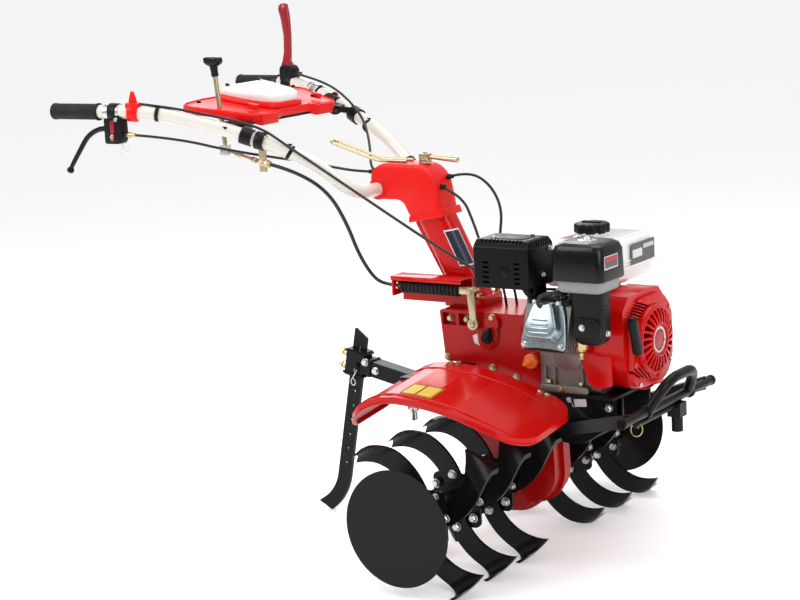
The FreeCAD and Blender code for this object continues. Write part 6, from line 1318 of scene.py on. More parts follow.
def make_bellows():
    """Rubber bellows, tray edges and the plated shift arm with its eye, clevis and pins."""
    ribbed("bellows_rubber", (-222, -75, 409), (-74, -75, 409), "chassis", "rubber_grip", 10.0, 5.2, 15, 0.7,
        replaced=["bellows"])
    ferrule = Workpiece()
    ferrule.turned((-234, -75, 409), (1, 0, 0), [(4.6, 0), (6, 1), (6, 8), (8, 9), (8, 14)], 20)
    piece("bellows_ferrule", ferrule, "chassis", "zinc_yellow", edge=0.4)
    arm = Workpiece()
    arm.slab("y", softened([(-46, 418), (-30, 418), (-24, 352), (-22, 336), (-31, 327), (-42, 334), (-40, 352)], 6),
        (-96, -91))
    arm.turned((-32, -90, 341), (0, -1, 0), [(13, 0), (13, 8), (12, 9)], 32)
    arm.turned((-32, -98, 341), (0, -1, 0), [(7.5, 0), (7.5, 5)], 6)
    arm.slab("y", rounded(34, 15, 3, 3, (-56, 409)), (-84, -68))
    arm.turned((-37, -62, 409), (0, -1, 0), [(4, 0), (4, 36), (3, 37)], 16)
    arm.turned((-32, -78, 341), (0, -1, 0), [(9, 0), (9, 14)], 24)
    piece("shift_arm_plated", arm, "chassis", "zinc_yellow", edge=0.8, replaced=["shift_linkage"], angle=40)
    tray = Workpiece()
    tray.slab("x", ((-96, 431), (-50, 431), (-50, 433.5), (-96, 433.5)), (-238, -59))
    tray.slab("x", ((-96, 431), (-93.5, 431), (-93.5, 424), (-96, 424)), (-238, -59))
    piece("shift_tray_edges", tray, "chassis", "red_paint", edge=0.6)


# ---------------------------------------------------------------- handlebar and its controls

CONSOLE_REAR = Vector((-717, 0, 808))
CONSOLE_FRONT = Vector((-531, 0, 778))
CONSOLE_WAY = (CONSOLE_FRONT - CONSOLE_REAR).normalized()
CONSOLE_UP = Vector((-CONSOLE_WAY.z, 0, CONSOLE_WAY.x))


def on_console(x, y, up=0.0):
    """Place on the console: how far forward from its rear edge, how far left, how high above its plate."""
    return CONSOLE_REAR + CONSOLE_WAY * x + Vector((0, y, 0)) + CONSOLE_UP * up


def make_console():
    """Console tray with a rolled lip, side pads and slots, its raised middle and the white cover."""
    base = Workpiece()
    outline = softened([(0, -120), (0, 120), (14, 196), (40, 213), (62, 206), (120, 176), (176, 158), (187, 140),
        (187, 66), (176, 50), (176, -50), (187, -66), (187, -140), (176, -158), (120, -176), (62, -206), (40, -213),
        (14, -196)], 12)
    inset = [(94 + (x - 94) * 0.975, y * 0.98) for x, y in outline]
    base.rings([[on_console(x, y, h) for x, y in ring] for ring,
        h in ((outline, -12), (outline, 2), (inset, 6), (inset, 3.4), (inset, 3.0))])
    middle = softened([(14, -82), (14, 82), (110, 76), (152, 62), (166, 40), (166, -40), (152, -62), (110, -76)],
        14)
    small = [(90 + (x - 90) * 0.90, y * 0.88) for x, y in middle]
    base.rings([[on_console(x, y, h) for x, y in ring] for ring,
        h in ((middle, 4), ([(90 + (x - 90) * 0.985, y * 0.98) for x, y in middle], 11),
        ([(90 + (x - 90) * 0.96, y * 0.95) for x, y in middle], 15), (small, 16))])
    for side in (RIGHT, LEFT):
        pad = softened([(28, side * 96), (96, side * 92), (112, side * 130), (96, side * 160), (52, side * 186),
            (32, side * 176)], 12)
        lower = [(66 + (x - 66) * 0.86, side * 138 + (y - side * 138) * 0.86) for x, y in pad]
        base.rings([[on_console(x, y, h) for x, y in ring] for ring, h in ((pad, 3), (pad, 7), (lower, 9.5))])
        arm = softened([(118, side * 92), (176, side * 84), (182, side * 128), (168, side * 148),
            (128, side * 164)], 10)
        base.rings([[on_console(x, y, h) for x, y in ring] for ring,
            h in ((arm, 3), (arm, 10),
            ([(152 + (x - 152) * 0.9, side * 124 + (y - side * 124) * 0.9) for x, y in arm], 13))])
        tab = softened([(158, side * 70), (190, side * 70), (190, side * 136), (158, side * 136)], 6)
        base.rings([[on_console(x, y, h) for x, y in tab] for h in (-20, 4)])
    cut = Workpiece()
    for side in (RIGHT, LEFT):
        slot = rounded(72, 9, 4.4, 5)
        turn = -side * 0.30
        cut.rings([[on_console(82 + x * math.cos(turn) - y * math.sin(turn), side * 146 + x * math.sin(turn)
            + y * math.cos(turn), h) for x, y in slot] for h in (-20, 16)])
        cut.rings([[on_console(150 + x, side * 118 + y, h) for x, y in rounded(26, 10, 4, 4)] for h in (8, 20)])
    piece("console_tray", base, "handlebar", "red_plastic", edge=1.2, replaced=["console_base"], angle=35, cuts=cut)
    cover = Workpiece()
    top = softened([(16, -74), (16, 74), (112, 70), (146, 54), (158, 34), (158, -34), (146, -54), (112, -70)], 12)
    rings = [(1.0, 15.0), (0.995, 24.0), (0.96, 30.0), (0.88, 33.6), (0.78, 35.6), (0.66, 36.6)]
    cover.rings([[on_console(90 + (x - 90) * s, y * s, h) for x, y in top] for s, h in rings])
    piece("console_cover_moulded", cover, "handlebar", "white_plastic", edge=0.8, replaced=["console_cover"],
        angle=40)
    crease = Workpiece()
    for side in (RIGHT, LEFT):
        crease.sweep([on_console(32, side * 58, 36.4), on_console(70, side * 52, 37.4),
            on_console(112, side * 40, 37.4), on_console(140, side * 22, 36.6)], 1.5, 8)
    piece("console_cover_creases", crease, "handlebar", "white_plastic", angle=60)
    plate("console_label", tuple(on_console(52, 14, 37.2)), (0.1, 1, 0), tuple(-CONSOLE_WAY), 46, 14, "handlebar",
        "label_pink", thick=0.3)
    bolts("console_screws",
        [(on_console(x, y, h), CONSOLE_UP) for x, y,
        h in ((42, -174, 9.5), (42, 174, 9.5), (150, -104, 13), (150, 104, 13), (30, -60, 35), (30, 60, 35))],
        "handlebar", "black_plastic", across=8, tall=3)


def make_grips():
    """Rubber grips with flanged ends, and the bright sleeves on the tube."""
    detail = bpy.context.scene.tiller_detail
    for side, word in ((RIGHT, "right"), (LEFT, "left")):
        start = Vector((-830, side * 327, 805.8))
        end = Vector((-955, side * 331.5, 805.8))
        ribbed("grip_ribs_" + word, start, end, "handlebar", "rubber_grip", 15.8, 1.9, detail.grip_ribs, 0.35,
            replaced=["grips"] if side == RIGHT else ())
        work = Workpiece()
        way = (end - start).normalized()
        work.turned(start - way * 2, way, [(16, 0), (19, 1), (19.5, 4), (17.5, 6), (16, 7)], 36)
        work.turned(end - way * 4, way, [(17, 0), (18.5, 2), (18.5, 6), (15, 9), (8, 10)], 36)
        piece("grip_ends_" + word, work, "handlebar", "rubber_grip", angle=50)
        sleeve = Workpiece()
        at_x = -813 if side == RIGHT else -700
        here, ahead = tube_place(at_x, side), tube_place(at_x + 38, side)
        way = (ahead - here).normalized()
        sleeve.turned(here, way, [(TUBE_SNUG, 0), (16.6, 0.4), (16.6, 11), (15.6, 12), (15.6, 15), (16.8, 16),
            (16.8, 37), (TUBE_SNUG, 38)], 32)
        piece("bar_sleeve_" + word, sleeve, "handlebar", "bright_steel", edge=0.3)


TUBE_SNUG = 15.2


def tube_place(x, side):
    """Middle of the handlebar tube at a place along the machine, read from the packed tube itself."""
    inverse = MACHINE.inverted()
    source = frame["nodes"]["handlebar_tube"].data
    if "line" not in TREES:
        TREES["line"] = [inverse @ v.co for v in source.vertices]
    near = [p for p in TREES["line"] if p.y * side > 60]
    pick = sorted(near, key=lambda p: abs(p.x - x))[:60]
    low = Vector((min(p.x for p in pick), min(p.y for p in pick), min(p.z for p in pick)))
    high = Vector((max(p.x for p in pick), max(p.y for p in pick), max(p.z for p in pick)))
    return Vector((x, (low.y + high.y) / 2, (low.z + high.z) / 2))


def make_levers():
    """Brake lever and bracket, clutch lever, switch, throttle, gear lever and their small hardware."""
    bracket = Workpiece()
    here = tube_place(-790, RIGHT)
    bracket.slab("y",
        softened([(-814, 736), (-772, 736), (-766, 748), (-766, 792), (-774, 800), (-808, 800), (-814, 790)], 6),
        (-334, -309))
    bracket.turned(here - Vector((12, 0, 0)), (1, 0, -0.03),
        [(TUBE_SNUG, 0), (19.5, 1), (19.5, 23), (TUBE_SNUG, 24)], 32)
    bracket.turned((-800, -306, 762), (0, -1, 0), [(7, 0), (7, 30), (5, 32)], 24)
    piece("brake_bracket", bracket, "handlebar", "black_plastic", edge=1.4, angle=35)
    red = Workpiece()
    red.slab("y", softened([(-796, 742), (-786, 742), (-782, 786), (-794, 788)], 3), (-336.5, -333))
    piece("brake_bracket_tab", red, "handlebar", "dark_red_lever", edge=0.6)
    lever = Workpiece()
    line = smooth_line([(-790, -321, 762), (-818, -321, 768), (-846, -322, 764), (-872, -326, 748),
        (-896, -330, 716), (-914, -333, 690), (-921, -334, 679)], 6)
    count = len(line)
    radii = [9.0 - 3.2 * (i / count) for i in range(count)]
    lever.sweep(line, radii, 16, flat=0.72)
    lever.turned(line[-1] - Vector((0, 0, 1)), line[-1] - line[-3],
        [(5, -3), (7.5, 0), (8.2, 3), (7.4, 7), (4, 9.5), (0.5, 10)], 20)
    piece("brake_lever_forged", lever, "handlebar", "black_plastic", angle=60, replaced=["brake_lever"])
    tail = Workpiece()
    tail.turned((-766, -321.3, 755.6), (1, 0, 0), [(5, 0), (5, 10), (6.5, 11), (6.5, 17), (4.5, 18), (4.5, 30),
        (3.4, 32)], 20)
    piece("brake_cable_adjuster", tail, "handlebar", "brass", edge=0.3)
    wires = Workpiece()
    wires.wire([(-786, -309, 738), (-784, -306, 722), (-776, -304, 716), (-772, -306, 730)], 1.3, 8)
    wires.wire([(-792, -309, 738), (-793, -304, 724), (-800, -302, 712), (-798, -300, 704)], 1.3, 8)
    piece("switch_wires", wires, "handlebar", "white_plastic", angle=60)

    clutch = Workpiece()
    rows = [((-818, 848), (-778, 848), 9), ((-812, 858), (-786, 858), 8), ((-806, 880), (-784, 880), 7.5),
        ((-804, 920), (-782, 922), 8), ((-810, 960), (-783, 964), 8.5), ((-816, 982), (-786, 986), 8.5),
        ((-814, 992), (-788, 996), 7), ((-808, 997), (-794, 998), 4)]
    rings = []
    for (x0, z0), (x1, z1), half in rows:
        mid, reach = Vector(((x0 + x1) / 2, 321, (z0 + z1) / 2)), (x1 - x0) / 2
        rings.append([mid + Vector((reach * math.cos(a), half * math.sin(a), (z1 - z0) / 2 * math.cos(a)))
            for a in (2 * math.pi * k / 24 for k in range(24))])
    clutch.rings(rings)
    piece("clutch_lever_moulded", clutch, "handlebar", "dark_red_lever", replaced=["clutch_lever"], angle=50)
    block = Workpiece()
    here = tube_place(-796, LEFT)
    block.turned(here - Vector((15, 0, 0)), (1, 0, 0), [(TUBE_SNUG, 0), (20.5, 1), (20.5, 29), (TUBE_SNUG, 30)], 32)
    block.slab("y", softened([(-816, 812), (-772, 812), (-772, 838), (-780, 848.6), (-810, 848.6), (-816, 840)], 5),
        (309, 333))
    block.turned((-796, 336, 838), (0, -1, 0), [(5, -1), (6, 0), (6, 28), (5, 29)], 20)
    block.turned((-772, 313.5, 828), (1, 0, 0), [(6, 0), (6, 10), (4.6, 11), (4.6, 20)], 20)
    piece("clutch_bracket", block, "handlebar", "black_plastic", edge=1.2, replaced=["lever_brackets"], angle=35)

    here = tube_place(-605, LEFT)
    way = (tube_place(-585, LEFT) - tube_place(-625, LEFT)).normalized()
    switch = Workpiece()
    switch.turned(here - way * 20, way, [(15.3, 0), (21, 1.2), (22, 3), (22, 18), (20.6, 19), (20.6, 21), (22, 22),
        (22, 37), (21, 39.5), (15.3, 40)], 36)
    switch.turned(here + Vector((0, 8, 14)), (0, 0.4, 1), [(9, 0), (9, 8), (8, 9)], 24)
    piece("kill_switch_body", switch, "handlebar", "black_plastic", edge=0.6, replaced=["kill_switch"], angle=40)
    button = Workpiece()
    button.turned(here + Vector((0, 11.5, 21.5)), (0, 0.4, 1), [(6.4, 0), (6.4, 3.4), (5, 4.6), (2, 5)], 24)
    piece("kill_switch_button", button, "handlebar", "red_plastic")

    here = tube_place(-749, RIGHT)
    way = (tube_place(-738, RIGHT) - tube_place(-760, RIGHT)).normalized()
    throttle = Workpiece()
    throttle.turned(here - way * 12, way, [(15.3, 0), (20, 1), (21, 3), (21, 21), (20, 23), (15.3, 24)], 40)
    throttle.turned(here + Vector((0, 0, 10)), (0, 0, 1), [(17, 0), (18, 3), (18, 8), (16, 11), (9, 12)], 36)
    throttle.rings([[here + Vector((x * s, y * s, h)) for x,
        y in softened([(-10, -5), (10, -5), (10, 5), (-10, 5)], 3)] for h,
        s in ((20, 1), (30, 0.82), (41, 0.5), (46, 0.35))])
    throttle.rings([[here + Vector((x, y, h)) for x, y in rounded(15, 5, 2)] for h in (20, 28)])
    piece("throttle_thumb_lever", throttle, "handlebar", "red_plastic", edge=0.7, replaced=["throttle_control"],
        angle=45)

    x, y = -628, -148
    knob = Workpiece()
    top = Vector((-642, -150, 868))
    lean = (top - Vector((x, y, 716))).normalized()
    knob.turned(top - lean * 2, lean, [(6.5, 0), (8.5, 2), (8, 12), (9, 20), (10, 28)], 28)
    knob.rings([[top + lean * h + Vector((a * s, b * s, 0)) for a, b in rounded(44, 24, 8, 5)] for h,
        s in ((22, 0.55), (26, 0.85), (31, 1.0), (38, 1.0), (41, 0.9), (42.5, 0.6))])
    piece("gear_knob_moulded", knob, "handlebar", "gloss_black", edge=0.5, replaced=["shift_knob"], angle=50)
    plated = Workpiece()
    plated.turned(Vector((x, y, 716)) + lean * 2, lean, [(5.3, 0), (5.3, 148)], 24)
    piece("gear_lever_plated", plated, "handlebar", "zinc_yellow")
    band = Workpiece()
    start, end = tube_place(-499, RIGHT), tube_place(-481, RIGHT)
    wide = (end - start).length
    band.turned(start, unit(end - start),
        [(TUBE_SNUG, -0.6), (19.6, -0.6), (19.6, wide + 0.6), (TUBE_SNUG, wide + 0.6)], 40)
    piece("hanger_band", band, "handlebar", "black_plastic", edge=0.4)
    pivot = Workpiece()
    foot = Vector((x, y, 716))
    pivot.turned(foot - lean * 24, lean, [(6, 0), (7.5, 1), (7.5, 14), (5.4, 16), (5.4, 24)], 24)
    pivot.turned(foot + Vector((0, 8, -14)), (0, -1, 0), [(5, 0), (5, 18), (4, 19)], 20)
    nut, way = Vector((-486, -192.5, 684.4)), unit((1, 0.2, -0.25))
    end = foot + Vector((0, 0, -12))
    rod = nut - way * 16 - end
    pivot.turned(end + rod * 0.04, rod, [(3.4, 0), (3.4, rod.length * 0.30), (6, rod.length * 0.31),
        (6, rod.length * 0.42), (3.4, rod.length * 0.43), (3.4, rod.length * 0.80), (6.2, rod.length * 0.81),
        (6.2, rod.length * 0.90), (4, rod.length * 0.91)], 20)
    piece("gear_link", pivot, "handlebar", "zinc_yellow", edge=0.4, angle=45)
    hanger = Workpiece()
    hanger.turned(nut - way * 10, way, [(9, 0), (9, 8), (6.5, 9), (6.5, 12), (9, 13), (9, 20), (6, 21), (6, 26)], 6)
    piece("hanger_nuts", hanger, "handlebar", "zinc_yellow", edge=0.4, angle=20)
    bolts("handlebar_screws", [((-790, -336, 752), (0, -1, 0)), ((-776, -336, 790), (0, -1, 0)),
        ((-782, 335, 830), (0, 1, 0)), ((-605, 222, 757), (0, -1, 0))], "handlebar", "bright_steel", across=7,
        tall=3)


def make_ties():
    """Black cable straps round the handlebar tube."""
    for number, (x, side) in enumerate(((-700, RIGHT), (-430, RIGHT), (-660, LEFT), (-470, LEFT))):
        here = tube_place(x, side)
        way = (tube_place(x + 12, side) - tube_place(x - 12, side)).normalized()
        strap = Workpiece()
        strap.turned(here - way * 4, way, [(TUBE_SNUG, 0), (16.4, 0.3), (16.4, 7.7), (TUBE_SNUG, 8)], 32)
        strap.block(here + Vector((-4, -3, 15)), here + Vector((4, 3, 19)))
        piece("cable_tie_%d" % number, strap, "handlebar", "black_plastic", edge=0.3)


# ---------------------------------------------------------------- rotor, fenders, drawbar and frame

PLATES = [108, 236.5, 365]
ROTOR_TURN = math.radians(-29.714)


def make_rotor_trim():
    """Bolts and nuts that hold the tines on their plates, hub collars with clips, and disc bolts."""
    spots, nuts = [], []
    for side in (RIGHT, LEFT):
        for y in PLATES:
            for quarter in range(4):
                bend = 1 if quarter % 2 == 0 else -1
                for dx, dz in ((-26, -50), (22, -50)):
                    angle = ROTOR_TURN - STANCE + quarter * math.pi / 2
                    c, s = math.cos(angle), math.sin(angle)
                    x, z = dx * c + dz * s, -dx * s + dz * c
                    face = y + bend * 10.2
                    spots.append(((x, side * face, z), (0, side * bend, 0)))
                    nuts.append(((x, side * (y - bend * 3.2), z), (0, -side * bend, 0)))
    bolts("tine_bolts", spots, "rotor", "bright_steel", across=14, tall=7, washer=10)
    bolts("tine_nuts", nuts, "rotor", "bright_steel", across=13, tall=7, washer=9)
    collars = Workpiece()
    for side in (RIGHT, LEFT):
        for y in (62, 166, 296, 424):
            collars.turned((0, side * y, 0), (0, side, 0), [(23, 0), (28, 0.8), (28, 17), (23, 18)], 40)
            collars.turned((-36, side * (y + 9), 0), (1, 0, 0), [(4.5, 0), (4.5, 76)], 16)
        collars.turned((0, side * 461.6, 0), (0, -side, 0), [(60, 0), (60, 2.5), (58, 3.5)], 48)
    piece("rotor_collars", collars, "rotor", "black_paint", edge=0.8, angle=40)
    clips = Workpiece()
    for side in (RIGHT, LEFT):
        for y in (71, 305):
            spot = Vector((38, side * y, 0))
            clips.wire([spot + Vector(p) for p in ((0, 0, -16), (3, 0, -6), (0, 0, 2), (4, 0, 10), (9, 0, 14),
                (12, 0, 8), (8, 0, 2), (4, 0, -14))], 1.3, 8, steps=5)
    piece("rotor_clips", clips, "rotor", "bright_steel", angle=60)


def fender_height(x):
    """Height of a fender's top at its inner edge."""
    crown, top, back, fore, straight = -83.0, 261.0, 157.0, 560.0, 120.0
    if x < crown:
        return top - back + math.sqrt(max(back ** 2 - (x - crown) ** 2, 0))
    if x < straight:
        return top - fore + math.sqrt(fore ** 2 - (x - crown) ** 2)
    low = top - fore + math.sqrt(fore ** 2 - (straight - crown) ** 2)
    return low + (x - straight) * (188 - low) / (222 - straight)


FENDER_FALL = math.radians(7)


def on_fender(x, across, side, lift=0.0):
    """Place on a fender's top: along the machine, how far out from its inner edge, and how high above."""
    z = fender_height(x) - 177 + lift
    y = across
    return Vector((x, side * (104 + y * math.cos(FENDER_FALL) + z * math.sin(FENDER_FALL)),
        177 - y * math.sin(FENDER_FALL) + z * math.cos(FENDER_FALL)))


def make_fender_trim():
    """Beads and rolled edges of the fenders, their bolts, the blank label, and the pin in its socket."""
    for side, word in ((RIGHT, "right"), (LEFT, "left")):
        bead = Workpiece()
        for across, start, end, radius in ((206, -196, 196, 3.4), (40, -150, 160, 2.6)):
            steps = 40
            bead.sweep([on_fender(start + (end - start) * i / steps, across, side, -0.9) for i in range(steps + 1)],
                [0.6] + [radius] * (steps - 1) + [0.6], 12)
        piece("fender_beads_" + word, bead, "chassis", "red_paint", angle=60)
        lip = Workpiece()
        steps, corner = 60, 62
        edge = []
        for i in range(steps + 1):
            x = -221 + 442 * i / steps
            short = max(corner - min(x + 222, 222 - x), 0)
            inset = corner - math.sqrt(max(corner ** 2 - short ** 2, 0))
            edge.append(on_fender(x, 222 - inset, side, -13.0))
        lip.sweep(edge, [0.8] + [2.6] * (steps - 1) + [0.8], 10)
        piece("fender_rolled_edge_" + word, lip, "chassis", "red_paint", angle=60)
        spots = [(on_fender(x, 12, side, 0), on_fender(x, 12, side, 1) - on_fender(x, 12, side, 0))
            for x in (-72, -56, 140, 156)]
        bolts("fender_bolts_" + word, spots, "chassis", "zinc_yellow", across=8.5, tall=4)
    label = Workpiece()
    rows = []
    for x in (-82 + 76 * i / 12 for i in range(13)):
        rows.append([on_fender(x, y, RIGHT, lift) for y, lift in ((142, 0.9), (198, 0.9), (198, 0.2), (142, 0.2))])
    label.rings(rows)
    piece("fender_label_blank", label, "chassis", "label_yellow", angle=60)
    frame_line = Workpiece()
    for (x0, y0, x1, y1) in ((-80, 144, -46, 196), (-45, 144, -8, 196)):
        ring = [on_fender(x, y, RIGHT, 1.0) for x, y in ((x0, y0), (x1, y0), (x1, y1), (x0, y1))]
        frame_line.sweep([ring[0].lerp(ring[1], t) for t in (0, 0.5, 1)]
            + [ring[1].lerp(ring[2], t) for t in (0.33, 0.67, 1)] + [ring[2].lerp(ring[3], t) for t in (0.5, 1)]
            + [ring[3].lerp(ring[0], t) for t in (0.33, 0.67)], 1.0, 6, closed=True)
    piece("fender_label_border", frame_line, "chassis", "label_dark", angle=60)
    socket = Workpiece()
    socket.slab("z", rounded(44, 30, 4, 3, (-124, -200)), (216, 243))
    piece("fender_pin_socket", socket, "chassis", "black_paint", edge=0.8, angle=35)
    pin = Workpiece()
    pin.turned((-124, -200, 222), (0, 0, -1), [(16, 0), (16, 5), (9, 6), (9, 40), (12, 41), (12, 52), (8, 54),
        (8, 72), (5, 74)], 24)
    pin.turned((-124, -200, 204), (0, 0, -1), [(12, 0), (12, 9)], 6)
    piece("fender_pin", pin, "chassis", "bright_steel", edge=0.5, angle=35)


def make_drawbar_trim():
    """Bolts, pins and clips of the stake holder and drawbar."""
    c, s = math.cos(DRAWBAR_LEAN), math.sin(DRAWBAR_LEAN)

    def on_bar(along, y, up):
        """Place along the drawbar from the stake, to its left, and above its middle."""
        return Vector((-404 + along * c + up * s, y, 208 - along * s + up * c))

    work = Workpiece()
    for up in (15, -16):
        start = on_bar(-26, 0, up)
        back = Vector((-c, 0, s))
        work.turned(start, back, [(5, -4), (5, 20), (3.5, 22)], 20)
        work.turned(start + back * 3, back, [(10, 0), (10, 7), (9, 8)], 6)
        work.turned(start + back * 13, back, [(8.5, 0), (8.5, 5)], 6)
    piece("stake_bolts_hexagon", work, "chassis", "brass", edge=0.5, replaced=["stake_bolts"], angle=25)
    holder = Workpiece()
    for up in (26, -26):
        holder.rings([[on_bar(x, y, up + h) for x, y in rounded(56, 40, 3, 3)] for h in (-2.4, 2.4)])
    holder.rings([[on_bar(x, y, h) for y, h in rounded(41, 41, 4, 3)] for x in (38, 46)])
    holder.turned(on_bar(8, -19, -2), (0, -1, 0), [(6, 0), (6, 4), (4, 5)], 20)
    piece("stake_holder_straps", holder, "chassis", "black_paint", edge=0.8)
    clip = Workpiece()
    spot = on_bar(10, -23.2, -30)
    clip.wire([spot + Vector(p) for p in ((0, 0, 22), (2, -2, 10), (-2, -3, 2), (3, -3, -8), (0, -3, -16),
        (-7, -3, -14), (-8, -3, -6), (-3, -3, 2), (4, -3, 12), (8, -2, 20))], 1.4, 8, steps=5)
    piece("stake_clip", clip, "chassis", "bright_steel", angle=60)
    bolts("drawbar_bolts", [(on_bar(60, -18, 0), (0, -1, 0)), (on_bar(60, 18, 0), (0, 1, 0)),
        (on_bar(300, -18, 4), (0, -1, 0)), (on_bar(260, -18, 4), (0, -1, 0)), (on_bar(300, 18, 4), (0, 1, 0)),
        (on_bar(30, -18.6, 12), (0, -1, 0))], "chassis", "bright_steel", across=13, tall=6)


def make_frame_trim():
    """Bolts and stays of the engine frame, the keeper pin's ring, a blank plate, and the cross rod's ends."""
    spots = facing((0, -1, 0), (140, -64.4, 180), (180, -64.4, 192), (270, -64.4, 180), (190, -70.2, 132),
        (236, -76, 146)) + facing((0, 1, 0), (140, 64.4, 180), (270, 64.4, 180), (190, 70.2, 132), (236, 76, 146))
    bolts("frame_bolts", spots, "chassis", "bright_steel", across=13, tall=6)
    work = Workpiece()
    for side in (RIGHT, LEFT):
        work.wire([(205, side * 100, 206), (215, side * 98, 180), (248, side * 92, 158), (300, side * 92, 162)], 5,
            12)
        work.block((288, side * 60 - 4, 150), (300, side * 60 + 4, 206))
    piece("frame_stays", work, "chassis", "black_paint", edge=1.0, angle=50)
    ring = Workpiece()
    middle = Vector((372, -140, 172))
    ring.sweep([middle + Vector((13 * math.cos(a), 3 * math.sin(a), 13 * math.sin(a) - 8))
        for a in (2 * math.pi * i / 28 for i in range(28))], 1.5, 8, closed=True)
    ring.wire([middle + Vector((2, 6, -6)), middle + Vector((-12, 24, -10)), middle + Vector((-14, 60, -8)),
        middle + Vector((-8, 86, -8))], 1.2, 8)
    piece("keeper_ring", ring, "chassis", "brass", angle=60)
    plate("frame_label", (222, -103.0, 196), (1, 0, 0.1), (-0.1, 0, 1), 34, 16, "chassis", "label_silver")
    ends = Workpiece()
    for side in (RIGHT, LEFT):
        ends.turned((372, side * 196, 190), (0, side, 0), [(10, 0), (11.4, 0.6), (11.4, 8), (9, 9)], 28)
        ends.turned((372, side * 92, 190), (0, side, 0), [(10, 0), (14, 0.6), (14, 9), (10, 10)], 28)
    piece("cross_rod_ends", ends, "chassis", "black_paint", edge=0.4)


def make_head_trim():
    """Pressed head with its jaw round the handlebar tube, its lower lip, the bent rod and the cable ferrules."""
    shell = Workpiece()
    corners = [(-322, 588), (-322, 650), (-294, 668), (-186, 668), (-153, 640), (-138, 558), (-215, 541),
        (-238, 589)]
    profile = softened(corners, 20, 6)
    middle = Vector((-215, 618))
    steps = ((38, 0.86), (36.8, 0.92), (34, 0.965), (29, 0.99), (22, 1.0))
    shell.rings([[(middle.x + (x - middle.x) * k, y, middle.y + (z - middle.y) * k) for x, z in profile] for y,
        k in [(-y, k) for y, k in steps] + [(y, k) for y, k in reversed(steps)]])
    shell.rings([[(x, y, z + lift) for x, z in softened([(-221, 541), (-219, 556), (-138, 574), (-132, 557)], 4)]
        for y, lift in ((-39.5, 0), (39.5, 0))])
    for side in (RIGHT, LEFT):
        shell.turned((-300, side * 22, 612), (0, side, 0), [(24, 0), (24, 15), (22.5, 17.5), (18, 18)], 48)
    piece("head_shell", shell, "chassis", "red_plastic", edge=0.5, replaced=["handlebar_head"], angle=50)
    rod = Workpiece()
    legs = smooth_line([(-236, -13, 671.8), (-275, -13, 671.8), (-314, -13, 672), (-350, -13, 682),
        (-420, -13, 703), (-436, -10, 708), (-440, 0, 709.5), (-436, 10, 708), (-420, 13, 703), (-350, 13, 682),
        (-314, 13, 672), (-275, 13, 671.8), (-236, 13, 671.8)])
    rod.sweep(legs, 3.4, 16)
    piece("head_rod_bent", rod, "chassis", "zinc_yellow", replaced=["head_rod"], angle=60)
    teeth = Workpiece()
    for i in range(9):
        z = 596 + i * 6.2
        teeth.block((-325, -20, z), (-319, 20, z + 3.2))
    piece("head_teeth", teeth, "chassis", "red_cast_paint", edge=0.6)
    work = Workpiece()
    for y in (14, -14):
        work.turned((-322, y, 646), (-1, 0, 0), [(6, 0), (6, 6), (4.5, 7), (4.5, 14), (3.6, 15)], 18)
    for y, z in ((18, 636), (-14, 618)):
        work.turned((-152, y, z), (1, 0, 0.1), [(6, 0), (6, 7), (4.5, 8), (4.5, 14)], 18)
    piece("head_ferrules", work, "chassis", "black_plastic", edge=0.4)


# ---------------------------------------------------------------- add-on

def operator(name, label, work):
    """Operator class that runs one making function and shares its description."""
    def execute(self, context):
        work()
        return {"FINISHED"}
    return type("TILLER_OT_" + name, (bpy.types.Operator,),
        {"__doc__": work.__doc__, "bl_idname": "tiller." + name, "bl_label": label,
        "bl_options": {"REGISTER", "UNDO"}, "execute": execute})


def make_and_dress():
    """Builds every finish and puts them on the CAD parts."""
    FINISH.update(make_finishes())
    FINISH.update(make_labels())
    dress_nodes()


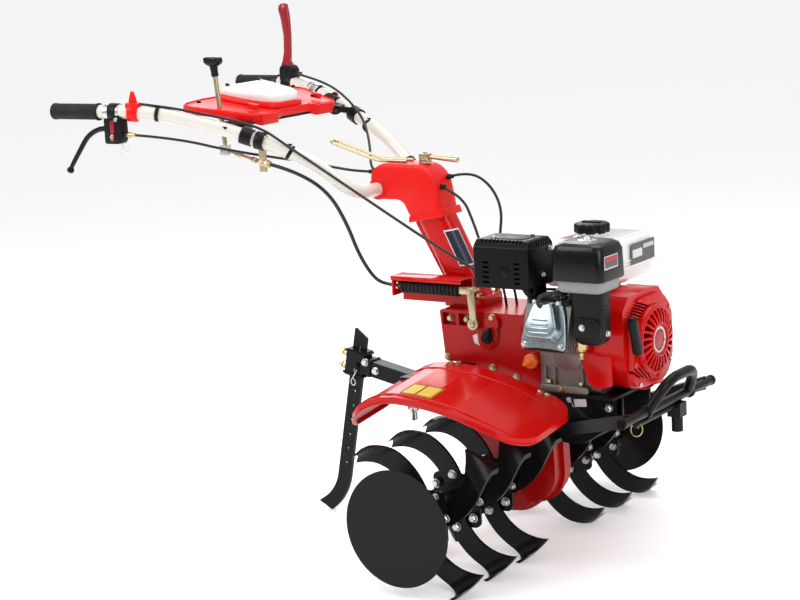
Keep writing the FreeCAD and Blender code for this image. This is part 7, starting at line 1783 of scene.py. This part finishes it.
STEPS = [("finishes", "Finishes", make_and_dress), ("stage", "Stage", make_stage),
    ("cables", "Cables", make_cables), ("valve_cover", "Valve cover", make_valve_cover),
    ("cylinder_trim", "Cylinder trim", make_cylinder_trim),
    ("crankcase_trim", "Crankcase trim", make_crankcase_trim), ("muffler", "Muffler", make_muffler),
    ("air_cleaner", "Air cleaner", make_air_cleaner), ("carburettor", "Carburettor", make_carburettor),
    ("tank", "Fuel tank trim", make_tank_trim), ("blower", "Blower and starter", make_blower),
    ("gearbox", "Gearbox trim", make_gearbox_trim), ("drive_case", "Drive case trim", make_drive_case_trim),
    ("column", "Column trim", make_column_trim), ("head", "Handlebar head trim", make_head_trim),
    ("bellows", "Gear linkage", make_bellows), ("console", "Console", make_console), ("grips", "Grips", make_grips),
    ("levers", "Levers and controls", make_levers), ("ties", "Cable ties", make_ties),
    ("rotor", "Rotor trim", make_rotor_trim), ("fenders", "Fender trim", make_fender_trim),
    ("drawbar", "Drawbar trim", make_drawbar_trim), ("frame", "Engine frame trim", make_frame_trim),]
OPERATORS = [operator(*step) for step in STEPS]


class TILLER_PT_panel(bpy.types.Panel):
    """Sidebar panel with every step of the tiller."""
    bl_idname = "TILLER_PT_panel"
    bl_label = "Garden tiller"
    bl_space_type = "VIEW_3D"
    bl_region_type = "UI"
    bl_category = "Tiller"

    def draw(self, context):
        for made in OPERATORS:
            self.layout.operator(made.bl_idname)
        for label in GROUP_TYPES:
            box = self.layout.box()
            values = getattr(context.scene, label)
            for prop in values.__annotations__:
                box.prop(values, prop)


GROUP_TYPES = {"tiller_finish": TillerFinish, "tiller_cables": TillerCables, "tiller_detail": TillerDetail,
    "tiller_view": TillerView}


def register():
    for kind in [*GROUP_TYPES.values(), *OPERATORS, TILLER_PT_panel]:
        bpy.utils.register_class(kind)
    for label, kind in GROUP_TYPES.items():
        setattr(bpy.types.Scene, label, PointerProperty(type=kind))


def unregister():
    for label in GROUP_TYPES:
        delattr(bpy.types.Scene, label)
    for kind in reversed([*GROUP_TYPES.values(), *OPERATORS, TILLER_PT_panel]):
        bpy.utils.unregister_class(kind)


def main():
    """Builds everything in order and writes the two boxes for comparison."""
    register()
    for step in STEPS:
        getattr(bpy.ops.tiller, step[0])()


if __name__ == "__main__":
    main()
